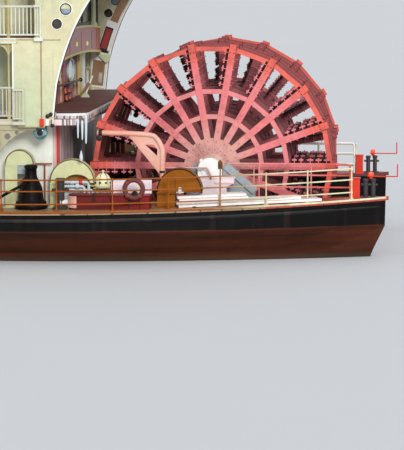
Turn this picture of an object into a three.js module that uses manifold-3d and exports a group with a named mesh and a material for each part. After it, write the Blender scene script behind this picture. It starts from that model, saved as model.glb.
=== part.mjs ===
// A stern-wheel paddle steamer at half size: one metre of the real boat is 500 mm here.
// +X runs aft, +Y to starboard, +Z up. The origin is amidships on the centreline, at the waterline.
// Every length is in millimetres of the half-size boat.
import * as THREE from "three";
import { mergeVertices } from "three/addons/utils/BufferGeometryUtils.js";
import Module from "manifold-3d";

const wasm = await Module();
wasm.setup();

// Driving dimensions of the hull
const AXLE_X = 14200;
const AXLE_Z = 1530;
const BOW_X = -17400;
const STERN_X = AXLE_X + 3100;
const KEEL_Z = -900;
const DECK_Z = 900;
const DECK_HALF = 3960;
const DECK_THICK = 60;
const BOW_TAPER_X = -6500;
const BOW_SHEER_X = -7000;
const BOW_SHEER_RISE = 420;
const STERN_TAPER_X = AXLE_X - 3600;
const STERN_TAPER_LENGTH = 6900;
const STERN_SHEER_RISE = 150;
const STEM_HALF = 150;
const WELL_HALF = 2200;
const WELL_FRONT_X = AXLE_X - 2450;
const SEAT_GAP = 0.3;

// Decks above the main deck: the height of each walking surface
const SLAB = 100;
const BOILER_Z = 2440;
const CABIN_Z = 3820;
const HURRICANE_Z = 5200;
const TEXAS_ROOF_Z = 6330;
const PILOT_ROOF_Z = 7560;
const SLAB_HALF = 3500;
const WALL = 60;

// Paddle wheel
const SPOKES = 18;
const SPOKE_WIDTH = 120;
const SPOKE_TIP = 2170;
const WHEEL_HALF = 2050;
const FRAME_THICK = 80;
const RINGS = { outer: 2123, middle: 1368, inner: 921 };
const RING_BAR = 80;
const HUB_R = 490;
const SHAFT_R = 90;
const FRAMES_A_HALF = 2;

// Guard rails
const RAIL_HEIGHT = 550;
const RAIL_R = 18;
const POST = 40;
const POST_STEP = 950;

const paints = {
  hull: { color: 0x15110f, roughness: 0.45, metalness: 0.2 },
  deck: { color: 0x8d4a3c, roughness: 0.7, metalness: 0.0 },
  cream: { color: 0xe8e2c4, roughness: 0.5, metalness: 0.0 },
  white: { color: 0xf1f0ea, roughness: 0.45, metalness: 0.0 },
  red: { color: 0xc8323c, roughness: 0.5, metalness: 0.0 },
  rust: { color: 0x9a3a22, roughness: 0.6, metalness: 0.1 },
  brown: { color: 0x6b4420, roughness: 0.6, metalness: 0.0 },
  black: { color: 0x17130f, roughness: 0.5, metalness: 0.3 },
  steel: { color: 0x6f747a, roughness: 0.5, metalness: 0.6 },
  rail: { color: 0xd8c8a4, roughness: 0.4, metalness: 0.3 },
  peach: { color: 0xe8a890, roughness: 0.5, metalness: 0.0 },
};

const boat = new THREE.Group();

// A closed three.js geometry as a solid that can be joined and cut.
function solid(geometry) {
  geometry.deleteAttribute("normal");
  geometry.deleteAttribute("uv");
  const merged = mergeVertices(geometry, 1e-3);
  return new wasm.Manifold(
    new wasm.Mesh({
      numProp: 3,
      vertProperties: merged.attributes.position.array,
      triVerts: new Uint32Array(merged.index.array),
    }),
  );
}

// Puts a solid into the boat as one named piece.
function piece(name, shape, paint) {
  const { vertProperties, triVerts } = shape.getMesh();
  const geometry = new THREE.BufferGeometry()
    .setAttribute("position", new THREE.BufferAttribute(vertProperties, 3))
    .setIndex(new THREE.BufferAttribute(triVerts, 1));
  const mesh = new THREE.Mesh(geometry, new THREE.MeshStandardMaterial(paints[paint]));
  mesh.name = name;
  boat.add(mesh);
}

const join = (solids) => solids.reduce((all, one) => all.add(one));
const cut = (body, tools) => tools.reduce((left, tool) => left.subtract(tool), body);

function box(x0, x1, y0, y1, z0, z1) {
  const geometry = new THREE.BoxGeometry(x1 - x0, Math.abs(y1 - y0), z1 - z0);
  return solid(geometry.translate((x0 + x1) / 2, (y0 + y1) / 2, (z0 + z1) / 2));
}

const points2 = (outline) => outline.map(([u, v]) => new THREE.Vector2(u, v));
const shapeOf = (outline) => (outline instanceof THREE.Shape ? outline : new THREE.Shape(points2(outline)));

// An outline in plan, raised from z0 to z1.
function plan(outline, z0, z1) {
  const options = { depth: z1 - z0, bevelEnabled: false, curveSegments: 3 };
  const geometry = new THREE.ExtrudeGeometry(shapeOf(outline), options);
  return solid(geometry.translate(0, 0, z0));
}

// An outline in side view, [x, z], carried across the boat from y0 to y1.
function side(outline, y0, y1, curveSegments = 6) {
  const depth = Math.abs(y1 - y0);
  const geometry = new THREE.ExtrudeGeometry(shapeOf(outline), { depth, bevelEnabled: false, curveSegments });
  return solid(geometry.rotateX(Math.PI / 2).translate(0, Math.max(y0, y1), 0));
}

// An outline across the boat, [y, z], carried along it from x0 to x1.
function across(outline, x0, x1) {
  const geometry = new THREE.ExtrudeGeometry(shapeOf(outline), { depth: x1 - x0, bevelEnabled: false });
  const basis = new THREE.Matrix4().makeBasis(
    new THREE.Vector3(0, 1, 0),
    new THREE.Vector3(0, 0, 1),
    new THREE.Vector3(1, 0, 0),
  );
  return solid(geometry.applyMatrix4(basis).translate(x0, 0, 0));
}

// A profile of [radius, z] pairs turned about an upright axis at x, y.
function turned(profile, x, y, sides = 16) {
  const points = profile.map(([r, z]) => new THREE.Vector2(r, z));
  const geometry = new THREE.LatheGeometry(points, sides).rotateX(Math.PI / 2);
  return solid(geometry.translate(x, y, 0));
}

// A round bar across the boat, from y0 to y1.
function crossBar(radius, x, z, y0, y1, sides = 32) {
  const geometry = new THREE.CylinderGeometry(radius, radius, Math.abs(y1 - y0), sides);
  return solid(geometry.translate(x, (y0 + y1) / 2, z));
}

// A round bar that follows points.
function bar(points, radius, steps, sides = 4) {
  const path = new THREE.CatmullRomCurve3(points.map((p) => new THREE.Vector3(...p)));
  const corners = [];
  for (let i = 0; i < sides; i += 1) {
    const angle = (2 * Math.PI * i) / sides;
    corners.push(new THREE.Vector2(radius * Math.cos(angle), radius * Math.sin(angle)));
  }
  return solid(new THREE.ExtrudeGeometry(new THREE.Shape(corners), { extrudePath: path, steps }));
}

// A straight square bar from a to b, in the plane of the two.
function strut(a, b, width, thick) {
  const from = new THREE.Vector3(...a);
  const to = new THREE.Vector3(...b);
  const geometry = new THREE.BoxGeometry(width, thick, from.distanceTo(to));
  const along = to.clone().sub(from).normalize();
  const across = new THREE.Vector3(0, 1, 0);
  if (Math.abs(along.y) > 0.9) across.set(1, 0, 0);
  const third = new THREE.Vector3().crossVectors(across, along).normalize();
  across.crossVectors(along, third);
  geometry.applyMatrix4(new THREE.Matrix4().makeBasis(third, across, along));
  return solid(geometry.translate(...from.add(to).multiplyScalar(0.5).toArray()));
}

// Evenly spaced numbers from one to the other, both included.
function steps(from, to, count) {
  return Array.from({ length: count + 1 }, (_, i) => from + ((to - from) * i) / count);
}

// A square upright about x, y, and a bar's box whatever the order of its sides.
const upright = (x, y, half, z0, z1) => box(x - half, x + half, y - half, y + half, z0, z1);
const between = (x0, x1, a, b, z0, z1) => box(x0, x1, Math.min(a, b), Math.max(a, b), z0, z1);

// The main deck's height: flat amidships, rising as a parabola to the bow and the stern.
function sheer(x) {
  const fore = Math.max(0, (BOW_SHEER_X - x) / (BOW_SHEER_X - BOW_X));
  const aft = Math.max(0, (x - STERN_TAPER_X) / STERN_TAPER_LENGTH);
  return DECK_Z + BOW_SHEER_RISE * fore ** 2 + STERN_SHEER_RISE * aft ** 2;
}

// Half the breadth of a waterline whose full half breadth is half, at x.
function halfBreadth(x, half, bowX, bowPower) {
  if (x < BOW_TAPER_X) {
    const t = (BOW_TAPER_X - x) / (BOW_TAPER_X - bowX);
    return STEM_HALF + (half - STEM_HALF) * (1 - t ** bowPower);
  }
  const t = Math.max(0, (x - STERN_TAPER_X) / STERN_TAPER_LENGTH);
  return WELL_HALF + (half - WELL_HALF) * (1 - t ** 2);
}

// A waterline's closed outline: down the port side from bow to stern, and back up the starboard side.
function waterline(half, bowX, sternX, bowPower) {
  const fore = steps(0, 1, 9).map((t) => bowX + (BOW_TAPER_X - bowX) * t ** 1.6);
  const aft = steps(STERN_TAPER_X, sternX, 8);
  const port = [...fore, ...aft].map((x) => [x, -halfBreadth(x, half, bowX, bowPower)]);
  const starboard = port.map(([x, y]) => [x, -y]).reverse();
  return [...port, ...starboard];
}

// A closed body through flat outlines at rising heights, all with as many points.
function loft(levels) {
  const count = levels[0].outline.length;
  const vertices = levels.flatMap(({ z, outline }) => outline.flatMap(([x, y]) => [x, y, z]));
  const index = [];
  for (let level = 0; level < levels.length - 1; level += 1) {
    for (let i = 0; i < count; i += 1) {
      const a = level * count + i;
      const b = level * count + ((i + 1) % count);
      index.push(a, b, b + count, a, b + count, a + count);
    }
  }
  const cap = (outline) => THREE.ShapeUtils.triangulateShape(points2(outline), []);
  const top = (levels.length - 1) * count;
  for (const [a, b, c] of cap(levels[0].outline)) index.push(a, c, b);
  for (const [a, b, c] of cap(levels.at(-1).outline)) index.push(top + a, top + b, top + c);
  const geometry = new THREE.BufferGeometry();
  geometry.setAttribute("position", new THREE.Float32BufferAttribute(vertices, 3));
  return solid(geometry.setIndex(index));
}

// The space under the main deck's surface moved up by offset, and the space over it.
const sheerLine = [...steps(BOW_X - 500, BOW_SHEER_X, 12), ...steps(STERN_TAPER_X, STERN_X + 500, 10)];
const WIDE = 6000;
function underDeck(offset) {
  const top = sheerLine.map((x) => [x, sheer(x) + offset]);
  return side([[sheerLine[0], -3000], ...top, [sheerLine.at(-1), -3000]], -WIDE, WIDE);
}
function overDeck(offset) {
  const bottom = sheerLine.map((x) => [x, sheer(x) + offset]);
  return side([[sheerLine[0], 9000], ...bottom, [sheerLine.at(-1), 9000]], -WIDE, WIDE);
}
const belowSeat = underDeck(SEAT_GAP);
const seated = (shape) => shape.subtract(belowSeat);

// Rudders, where their trunks leave the raked bottom
const RUDDER = {
  x: AXLE_X - 3400,
  y: 1300,
  trunkR: 110,
  trunkZ: -560,
  stockR: 70,
  stockTop: -200,
  fore: 420,
  aft: 640,
  bottom: -1000,
};

function hull() {
  const levels = [
    // z, half breadth, bow x, stern x, power of the bow's curve
    [KEEL_Z, 3050, BOW_X + 2600, STERN_X - 900, 1.7],
    [KEEL_Z + 180, 3350, BOW_X + 2200, STERN_X - 600, 1.8],
    [150, 3520, BOW_X + 900, STERN_X - 250, 2.0],
    [540, DECK_HALF - 40, BOW_X + 250, STERN_X - 60, 2.3],
    [1600, DECK_HALF - 40, BOW_X + 40, STERN_X - 40, 2.4],
  ].map(([z, half, bowX, sternX, power]) => ({ z, outline: waterline(half, bowX, sternX, power) }));
  const rake = [
    [AXLE_X - 8200, KEEL_Z - 200],
    [AXLE_X - 8200, KEEL_Z],
    [WELL_FRONT_X, -350],
    [STERN_X + 200, -250],
    [STERN_X + 200, KEEL_Z - 200],
  ];
  const well = box(WELL_FRONT_X, STERN_X + 500, -WELL_HALF, WELL_HALF, -2000, 3000);
  const body = cut(loft(levels), [overDeck(-DECK_THICK - SEAT_GAP), side(rake, -WIDE, WIDE), well]);
  const { trunkR, trunkZ } = RUDDER;
  const trunk = [[0, trunkZ], [trunkR, trunkZ], [trunkR, 0], [0, 0]];
  const trunks = [-1, 1].map((s) => turned(trunk, RUDDER.x, s * RUDDER.y));
  const sockets = [-1, 1].map((s) => {
    const r = RUDDER.stockR + 2;
    return turned([[0, -800], [r, -800], [r, -150], [0, -150]], RUDDER.x, s * RUDDER.y, 32);
  });
  piece("hull", cut(join([body, ...trunks]), sockets), "hull");
}

function mainDeck() {
  const outline = waterline(DECK_HALF, BOW_X, STERN_X, 2.4);
  const well = box(WELL_FRONT_X, STERN_X + 500, -WELL_HALF, WELL_HALF, -2000, 3000);
  const plate = plan(outline, 0, 2500).intersect(underDeck(0)).intersect(overDeck(-DECK_THICK));
  piece("main_deck", cut(plate, [well]), "deck");
}

// A rectangle in plan with round corners.
function roundedPlan(x0, x1, half, corner) {
  const shape = new THREE.Shape();
  shape.moveTo(x0 + corner, -half);
  shape.lineTo(x1 - corner, -half);
  shape.absarc(x1 - corner, -half + corner, corner, -Math.PI / 2, 0);
  shape.lineTo(x1, half - corner);
  shape.absarc(x1 - corner, half - corner, corner, 0, Math.PI / 2);
  shape.lineTo(x0 + corner, half);
  shape.absarc(x0 + corner, half - corner, corner, Math.PI / 2, Math.PI);
  shape.lineTo(x0, -half + corner);
  shape.absarc(x0 + corner, -half + corner, corner, Math.PI, 1.5 * Math.PI);
  return shape;
}

const CABIN_TOP = HURRICANE_Z - SLAB;

// Cabins: four walls each, standing on one deck and carrying the next
const CABINS = {
  main_house: { x0: -10500, x1: AXLE_X - 2580, half: 3000, corner: 250, z0: DECK_Z, z1: BOILER_Z - SLAB },
  boiler_house: { x0: -9800, x1: AXLE_X - 2850, half: 2600, corner: 200, z0: BOILER_Z, z1: CABIN_Z - SLAB },
  cabin_house: { x0: -9300, x1: AXLE_X - 3800, half: 2500, corner: 200, z0: CABIN_Z, z1: CABIN_TOP },
  texas_house: { x0: -7600, x1: 4200, half: 1700, corner: 150, z0: HURRICANE_Z, z1: TEXAS_ROOF_Z - 80 },
  pilothouse: { x0: -7300, x1: -5200, half: 1050, corner: 60, z0: TEXAS_ROOF_Z, z1: PILOT_ROOF_Z - 80 },
};

// Doors hung in the cabins' walls: hinge line, which way the leaf runs from it, and the wall it is in
const SILL = 40;
// The raised landing at the boiler deck's after end, in front of the doors
const LANDING = 110;
const DOOR_GAP = 6;
const DOOR_THICK = 36;
const DOORS = [
  // name, cabin, wall, hinge at, which way the leaf runs, width, height, sill
  ["aft_door_port", "boiler_house", "aft", -1150, 1, 420, 980, LANDING + 40],
  ["aft_door_starboard", "boiler_house", "aft", 1150, -1, 420, 980, LANDING + 40],
  ["pilothouse_door_port", "pilothouse", "port", -6750, 1, 360, 950, SILL],
  ["pilothouse_door_starboard", "pilothouse", "starboard", -6750, 1, 360, 950, SILL],
];
const PIN_R = 12;

// The door's box, its opening in the wall and its hinge's place.
function doorPlace([name, cabinName, wall, hinge, towards, width, height, sill]) {
  const cabin = CABINS[cabinName];
  const z0 = cabin.z0 + sill;
  const a0 = Math.min(hinge, hinge + towards * width);
  const a1 = a0 + width;
  const z1 = z0 + height;
  const g = DOOR_GAP;
  if (wall === "aft") {
    // Flush with the wall's inner face, because it opens inwards, under the cabin deck's low panel
    const x = cabin.x1 - WALL;
    return {
      name,
      cabinName,
      leaf: [x, x + DOOR_THICK, a0, a1, z0, z1],
      opening: [x - WALL, x + 2 * WALL, a0 - g, a1 + g, z0 - g, z1 + g],
      pin: [x + PIN_R, hinge + towards * PIN_R],
    };
  }
  const s = wall === "port" ? -1 : 1;
  const y = s * cabin.half;
  const inner = y - s * DOOR_THICK;
  return {
    name,
    cabinName,
    leaf: [a0, a1, Math.min(y, inner), Math.max(y, inner), z0, z1],
    opening: [a0 - g, a1 + g, y - 2 * WALL, y + 2 * WALL, z0 - g, z1 + g],
    pin: [hinge + towards * PIN_R, y - s * PIN_R],
  };
}
const doorPlaces = DOORS.map(doorPlace);

function cabins() {
  for (const [name, c] of Object.entries(CABINS)) {
    const outer = plan(roundedPlan(c.x0, c.x1, c.half, c.corner), c.z0 - (c.z0 === DECK_Z ? 50 : 0), c.z1);
    const inside = roundedPlan(c.x0 + WALL, c.x1 - WALL, c.half - WALL, Math.max(20, c.corner - WALL));
    const inner = plan(inside, c.z0 - 100, c.z1 + 100);
    let walls = outer.subtract(inner);
    if (c.z0 === DECK_Z) walls = seated(walls);
    const doors = doorPlaces.filter((d) => d.cabinName === name);
    walls = cut(walls, doors.map((d) => box(...d.opening)));
    if (name === "pilothouse") walls = cut(walls, pilothouseWindows(c));
    if (name === "main_house") {
      walls = walls.subtract(box(c.x0 - 50, c.x0 + 200, -450, 450, c.z0 + SILL, c.z0 + 1050));
    }
    const pins = doors.map((d) => {
      const top = d.leaf[4] - SEAT_GAP;
      return turned([[0, top - 32], [PIN_R, top - 32], [PIN_R, top], [0, top]], ...d.pin, 8);
    });
    piece(name, join([walls, ...pins]), name === "main_house" ? "white" : "cream");
  }
}

// Large panes all round the pilothouse, clear of its doors.
function pilothouseWindows(c) {
  const z0 = c.z0 + 480;
  const z1 = c.z1 - 120;
  const ends = [-0.62, 0, 0.62].map((f) => f * c.half);
  const pane = (x, y) => box(x - 100, x + 100, y - 250, y + 250, z0, z1);
  const windows = [c.x0, c.x1].flatMap((x) => ends.map((y) => pane(x, y)));
  const aft = [-6000, -5500].map((x) => box(x - 190, x + 190, -c.half - 100, c.half + 100, z0, z1));
  return [...windows, ...aft, box(-7150, -6830, -c.half - 100, c.half + 100, z0, z1)];
}

function doors() {
  for (const { name, leaf } of doorPlaces) {
    const [x0, x1, y0, y1, z0, z1] = leaf;
    piece(name, box(x0, x1, y0, y1, z0, z1), "red");
  }
}

// Deck slabs: the corners' radius and the two ends
const SLABS = [
  // name, fore end, aft end, half breadth, corner radius, top, thickness, paint
  ["boiler_deck", -12600, AXLE_X - 2090, SLAB_HALF, 350, BOILER_Z, SLAB, "cream"],
  ["cabin_deck", -12300, AXLE_X - 2670, SLAB_HALF, 60, CABIN_Z, SLAB, "cream"],
  ["hurricane_deck", -12000, AXLE_X - 1500, SLAB_HALF, 500, HURRICANE_Z, SLAB, "cream"],
  ["texas_roof", -8000, 4600, 2000, 250, TEXAS_ROOF_Z, 80, "cream"],
  ["pilothouse_roof", -7600, -4900, 1350, 150, PILOT_ROOF_Z, 80, "cream"],
];
// The panel across the cabin deck's after edge, cambered at its top and at its foot.
const FASCIA = { half: 3440, thick: 60, sideTop: 3790, sideFoot: 3280, camber: 110, steps: 8 };
function fascia(x) {
  const { half, thick, sideTop, sideFoot, camber } = FASCIA;
  const arc = (z) => steps(-half, half, FASCIA.steps).map((y) => [y, z + camber * (1 - (y / half) ** 2)]);
  return across([...arc(sideFoot), ...arc(sideTop).reverse()], x - thick, x);
}

function slabs() {
  for (const [name, x0, x1, half, corner, top, thick, paint] of SLABS) {
    let slab = plan(roundedPlan(x0, x1, half, corner), top - thick, top);
    if (name === "boiler_deck") {
      const landing = roundedPlan(AXLE_X - 2850 + SEAT_GAP, AXLE_X - 2050, 3310, 300);
      slab = slab.add(plan(landing, top - 20, top + LANDING));
    }
    if (name === "cabin_deck") slab = slab.add(fascia(x1));
    if (name === "pilothouse_roof") {
      const middle = (x0 + x1) / 2;
      const crown = [[0, -10], [700, -10], [620, 90], [260, 190], [200, 330], [0, 420]];
      slab = slab.add(turned(crown.map(([r, h]) => [r, top + h]), middle, 0, 12));
    }
    piece(name, slab, paint);
  }
}

// The curved side screens that close the decks' after ends, from the boiler deck to the hurricane deck.
const SCREEN = {
  fore: AXLE_X - 2880,
  lowerFore: AXLE_X - 3190,
  footAft: AXLE_X - 2750,
  bottom: 2300,
  step: 3790,
  thick: 60,
  top: HURRICANE_Z,
};
// The after edge as [distance forward of the axle, height], from its foot up
const SCREEN_EDGE = [
  [2580, 2480],
  [2520, 3040],
  [2400, 3490],
  [2210, 3990],
  [1950, 4460],
  [1640, 4880],
  [1400, HURRICANE_Z],
];
// Portholes as [distance forward of the axle, height, radius]
const SCREEN_PORTS = [[2360, 4310, 105], [2510, 4060, 90]];
function screens() {
  for (const [name, s] of [["screen_port", -1], ["screen_starboard", 1]]) {
    const shape = new THREE.Shape();
    shape.moveTo(SCREEN.lowerFore, SCREEN.bottom);
    shape.lineTo(SCREEN.footAft, SCREEN.bottom);
    shape.lineTo(AXLE_X - SCREEN_EDGE[0][0], SCREEN_EDGE[0][1]);
    shape.splineThru(SCREEN_EDGE.slice(1).map(([x, z]) => new THREE.Vector2(AXLE_X - x, z)));
    shape.lineTo(SCREEN.fore, SCREEN.top);
    shape.lineTo(SCREEN.fore, SCREEN.step);
    shape.lineTo(SCREEN.lowerFore, SCREEN.step);
    for (const [x, z, r] of SCREEN_PORTS) {
      const hole = new THREE.Path();
      hole.absarc(AXLE_X - x, z, r, 0, 2 * Math.PI);
      shape.holes.push(hole);
    }
    const y = s * (SLAB_HALF + SEAT_GAP);
    piece(name, side(shape, y, y + s * SCREEN.thick), "cream");
  }
}

// Rails along the main deck's outer edge, from the bow to the stern's tips.
const MAIN_RAILS = [RAIL_HEIGHT - RAIL_R, 340, 120];
const RAIL_INSET = 70;
const RAIL_BOW_X = BOW_X + 700;
const RAIL_STERN_X = AXLE_X + 2460;
// The posts beside the wheel, from the axle
const RAIL_POSTS = [-2500, -1560, -630, 240, 1010, 1710, 2460];
const edgeY = (x) => halfBreadth(x, DECK_HALF, BOW_X, 2.4) - RAIL_INSET;
function mainRails() {
  const aftPosts = RAIL_POSTS.map((x) => AXLE_X + x);
  const forePosts = steps(RAIL_BOW_X, AXLE_X - 2490 - 2 * POST_STEP, 7);
  const posts = [...forePosts, AXLE_X - 2490 - POST_STEP, ...aftPosts];
  for (const [name, s] of [["main_rail_port", -1], ["main_rail_starboard", 1]]) {
    const uprights = posts.map((x) => {
      return upright(x, s * edgeY(x), POST / 2, sheer(x) - 50, sheer(x) + RAIL_HEIGHT);
    });
    const route = [...steps(RAIL_BOW_X, BOW_TAPER_X, 7), ...steps(AXLE_X - 3400, RAIL_STERN_X, 8)];
    const rails = MAIN_RAILS.map((h) => bar(route.map((x) => [x, s * edgeY(x), sheer(x) + h]), RAIL_R, 20));
    piece(name, seated(join([...uprights, ...rails])), "rail");
  }
}

// Level rails beside the wheel well, aft of the bearing, with a small chest at their after post.
const WELL_RAIL = { from: 240, to: 2440, heights: [1595, 1400, 1190], posts: [750, 1750, 2440] };
function wellRails() {
  for (const [name, s] of [["well_rail_port", -1], ["well_rail_starboard", 1]]) {
    const y = s * (WELL_HALF + 60);
    const [top] = WELL_RAIL.heights;
    const posts = WELL_RAIL.posts.map((d) => upright(AXLE_X + d, y, POST / 2, DECK_Z, top));
    const near = AXLE_X + WELL_RAIL.from;
    const far = AXLE_X + WELL_RAIL.to;
    const rails = WELL_RAIL.heights.map((z) => {
      return box(near, far, y - RAIL_R, y + RAIL_R, z - RAIL_R, z + RAIL_R);
    });
    const start = box(near, near + POST, y - RAIL_R, y + RAIL_R, WELL_RAIL.heights[2], top);
    const chest = box(far + 10, far + 170, y - 60, y + 60, DECK_Z, 1370);
    piece(name, seated(join([...posts, ...rails, start, chest])), "red");
  }
}

// Columns and rails of an upper gallery on one side: the columns carry the deck above.
function gallery(name, s, x0, x1, z0, z1, count) {
  const y = s * (SLAB_HALF - 60);
  const columns = steps(x0, x1, count).map((x) => upright(x, y, 30, z0, z1));
  const crossColumns = [900, 2200].map((d) => upright(x0, s * d, 30, z0, z1));
  const rails = [60, RAIL_HEIGHT].flatMap((h) => [
    box(x0, x1, y - 15, y + 15, z0 + h - 30, z0 + h),
    between(x0 - 15, x0 + 15, s * 900, y, z0 + h - 30, z0 + h),
  ]);
  piece(name, join([...columns, ...crossColumns, ...rails]), "white");
}
function galleries() {
  for (const [tag, s] of [["port", -1], ["starboard", 1]]) {
    gallery("boiler_gallery_" + tag, s, -12100, AXLE_X - 2860, BOILER_Z, CABIN_Z - SLAB, 8);
    gallery("cabin_gallery_" + tag, s, -11800, AXLE_X - 2860, CABIN_Z, HURRICANE_Z - SLAB, 8);
  }
}

// The guard posts on the main deck that carry the boiler deck's edge, with the after knee.
function colonnades() {
  for (const [name, s] of [["guard_posts_port", -1], ["guard_posts_starboard", 1]]) {
    const y = s * (SLAB_HALF - 60);
    const top = BOILER_Z - SLAB;
    const posts = steps(-12000, AXLE_X - 3650, 8).map((x) => upright(x, y, 40, DECK_Z - 50, top));
    const beam = box(-12300, AXLE_X - 2900, y - 40, y + 40, top - 90, top);
    const knee = new THREE.Shape();
    const root = AXLE_X - 3650;
    knee.moveTo(root, top - 20);
    knee.lineTo(root, top - 780);
    knee.quadraticCurveTo(root + 120, top - 250, root + 620, top - 80);
    knee.lineTo(root + 620, top - 20);
    for (const [dx, dz, r] of [[260, 200, 55], [110, 330, 45], [420, 130, 35]]) {
      const hole = new THREE.Path();
      hole.absarc(root + dx, top - dz, r, 0, 2 * Math.PI);
      knee.holes.push(hole);
    }
    piece(name, seated(join([...posts, beam, side(knee, y - 20, y + 20, 5)])), "white");
  }
}

const STAFF_R = 28;
function hurricaneRail() {
  const half = SLAB_HALF - 80;
  const x0 = -11900;
  const x1 = AXLE_X - 1700;
  const z = HURRICANE_Z;
  const sides = [-1, 1].flatMap((s) => steps(x0, x1, 5).map((x) => [x, s * half]));
  const ends = [x0, x1].flatMap((x) => [-1140, 1140].map((y) => [x, y]));
  const posts = [...sides, ...ends].map(([x, y]) => upright(x, y, 20, z, z + RAIL_HEIGHT));
  const rails = [RAIL_HEIGHT, 300].flatMap((h) => [
    ...[-1, 1].map((s) => box(x0 - 12, x1 + 12, s * half - 12, s * half + 12, z + h - 25, z + h)),
    ...[x0, x1].map((x) => box(x - 12, x + 12, -half, half, z + h - 25, z + h)),
  ]);
  // The flagstaff stands against the after rail
  const foot = x1 + 12 + STAFF_R;
  const taper = [[0, 0], [STAFF_R + 8, 0], [STAFF_R + 8, 620], [16, 1900], [32, 1930], [0, 1970]];
  const staff = turned(taper.map(([r, h]) => [r, z + h]), foot, 0, 8);
  piece("hurricane_rail", join([...posts, ...rails, staff]), "white");
}

// Twin chimneys with flared, pointed crowns, and the brace between them.
const CHIMNEY = { x: -8900, y: 2050, r: 330, wall: 30, top: 11300, crown: 520 };
function chimneys() {
  const { x, y, r, wall, top, crown } = CHIMNEY;
  for (const [name, s] of [["chimney_port", -1], ["chimney_starboard", 1]]) {
    const profile = [
      [r - wall, HURRICANE_Z],
      [r + 90, HURRICANE_Z],
      [r + 60, HURRICANE_Z + 160],
      [r, HURRICANE_Z + 200],
      [r, top - 520],
      [r + 50, top - 470],
      [r, top - 420],
      [r, top - 260],
      [crown, top],
      [crown - wall, top],
      [r - wall, top - 270],
      [r - wall, HURRICANE_Z],
    ];
    piece(name, turned(profile, x, s * y, 20), "black");
  }
  const reach = y - r - SEAT_GAP;
  const z = top - 1500;
  const flanges = [-1, 1].map((s) => between(x - 60, x + 60, s * reach, s * (reach - 40), z - 60, z + 60));
  piece("chimney_brace", join([crossBar(40, x, z, -reach + 5, reach - 5, 10), ...flanges]), "black");
}

// Bearings of the wheel's shaft: a pedestal, a sloping frame and an arch-topped housing.
const BEARING = { y0: WELL_HALF + 100, y1: WELL_HALF + 480, half: 196, spring: 1507, top: 1383 };
function bearings() {
  for (const [name, s] of [["bearing_port", -1], ["bearing_starboard", 1]]) {
    const y0 = s * BEARING.y0;
    const y1 = s * BEARING.y1;
    const housing = new THREE.Shape();
    housing.moveTo(AXLE_X - BEARING.half, 1250);
    housing.lineTo(AXLE_X + BEARING.half, 1250);
    housing.lineTo(AXLE_X + BEARING.half, BEARING.spring);
    housing.absarc(AXLE_X, BEARING.spring, BEARING.half, 0, Math.PI);
    const top = BEARING.top;
    const block = [[-120, 880], [300, 880], [300, 1230], [425, 1290], [425, top], [-205, top]];
    const plate = [
      [-400, 880], [800, 880], [780, 1130], [260, 1575], [150, 1575], [-150, 1500], [-400, 960],
    ];
    const fromAxle = (outline) => outline.map(([x, z]) => [AXLE_X + x, z]);
    const pedestal = side(fromAxle(block), y0, y1);
    const frame = side(fromAxle(plate), y0 + s * 40, y0 + s * 110);
    const bore = crossBar(HUB_BORE, AXLE_X, AXLE_Z, y0 - s * 50, y1 + s * 50);
    const body = join([side(housing, y0 + s * 60, y1 - s * 60, 8), pedestal, frame]);
    piece(name, seated(body.subtract(bore)), "white");
  }
}

// Where ray and ring cross: a point in the wheel's plane.
const polar = (radius, angle) => [AXLE_X + radius * Math.cos(angle), AXLE_Z + radius * Math.sin(angle)];

const spokeAngles = (turn) => steps(0, SPOKES - 1, SPOKES - 1).map((i) => turn + (2 * Math.PI * i) / SPOKES);

// One ring of a wheel frame: straight bars from spoke to spoke.
function wheelRing(radius, turn, y0, y1) {
  const corners = (r) => points2(spokeAngles(turn).map((angle) => polar(r, angle)));
  const shape = new THREE.Shape(corners(radius));
  shape.holes.push(new THREE.Path(corners(radius - RING_BAR).reverse()));
  return side(shape, y0, y1);
}

// A wheel frame: a hub plate, spokes that run past the rim, and its rings, all as thick as one another.
function wheelFrame(turn, y, rings) {
  const y0 = y - FRAME_THICK / 2;
  const y1 = y + FRAME_THICK / 2;
  const spokes = spokeAngles(turn).map((angle) => {
    const geometry = new THREE.BoxGeometry(SPOKE_TIP - HUB_R / 2, FRAME_THICK, SPOKE_WIDTH);
    geometry.translate((SPOKE_TIP + HUB_R / 2) / 2, 0, 0).rotateY(-angle);
    return solid(geometry.translate(AXLE_X, y, AXLE_Z));
  });
  const hub = crossBar(HUB_R, AXLE_X, AXLE_Z, y0, y1, SPOKES);
  const whole = join([hub, ...spokes, ...rings.map((r) => wheelRing(r, turn, y0, y1))]);
  return whole.subtract(crossBar(HUB_BORE, AXLE_X, AXLE_Z, y0 - 50, y1 + 50));
}

const frameY = steps(-WHEEL_HALF + FRAME_THICK / 2, WHEEL_HALF - FRAME_THICK / 2, 2 * FRAMES_A_HALF - 1);
const HALF_TURN = { port: 0, starboard: Math.PI / SPOKES };
const HUB_BORE = (SHAFT_R + SEAT_GAP) / Math.cos(Math.PI / 32);
// Two boards one over the other make each bucket
const PLANKS = [[1390, 1620], [1655, 2080]];
const PLANK_THICK = 45;

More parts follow.
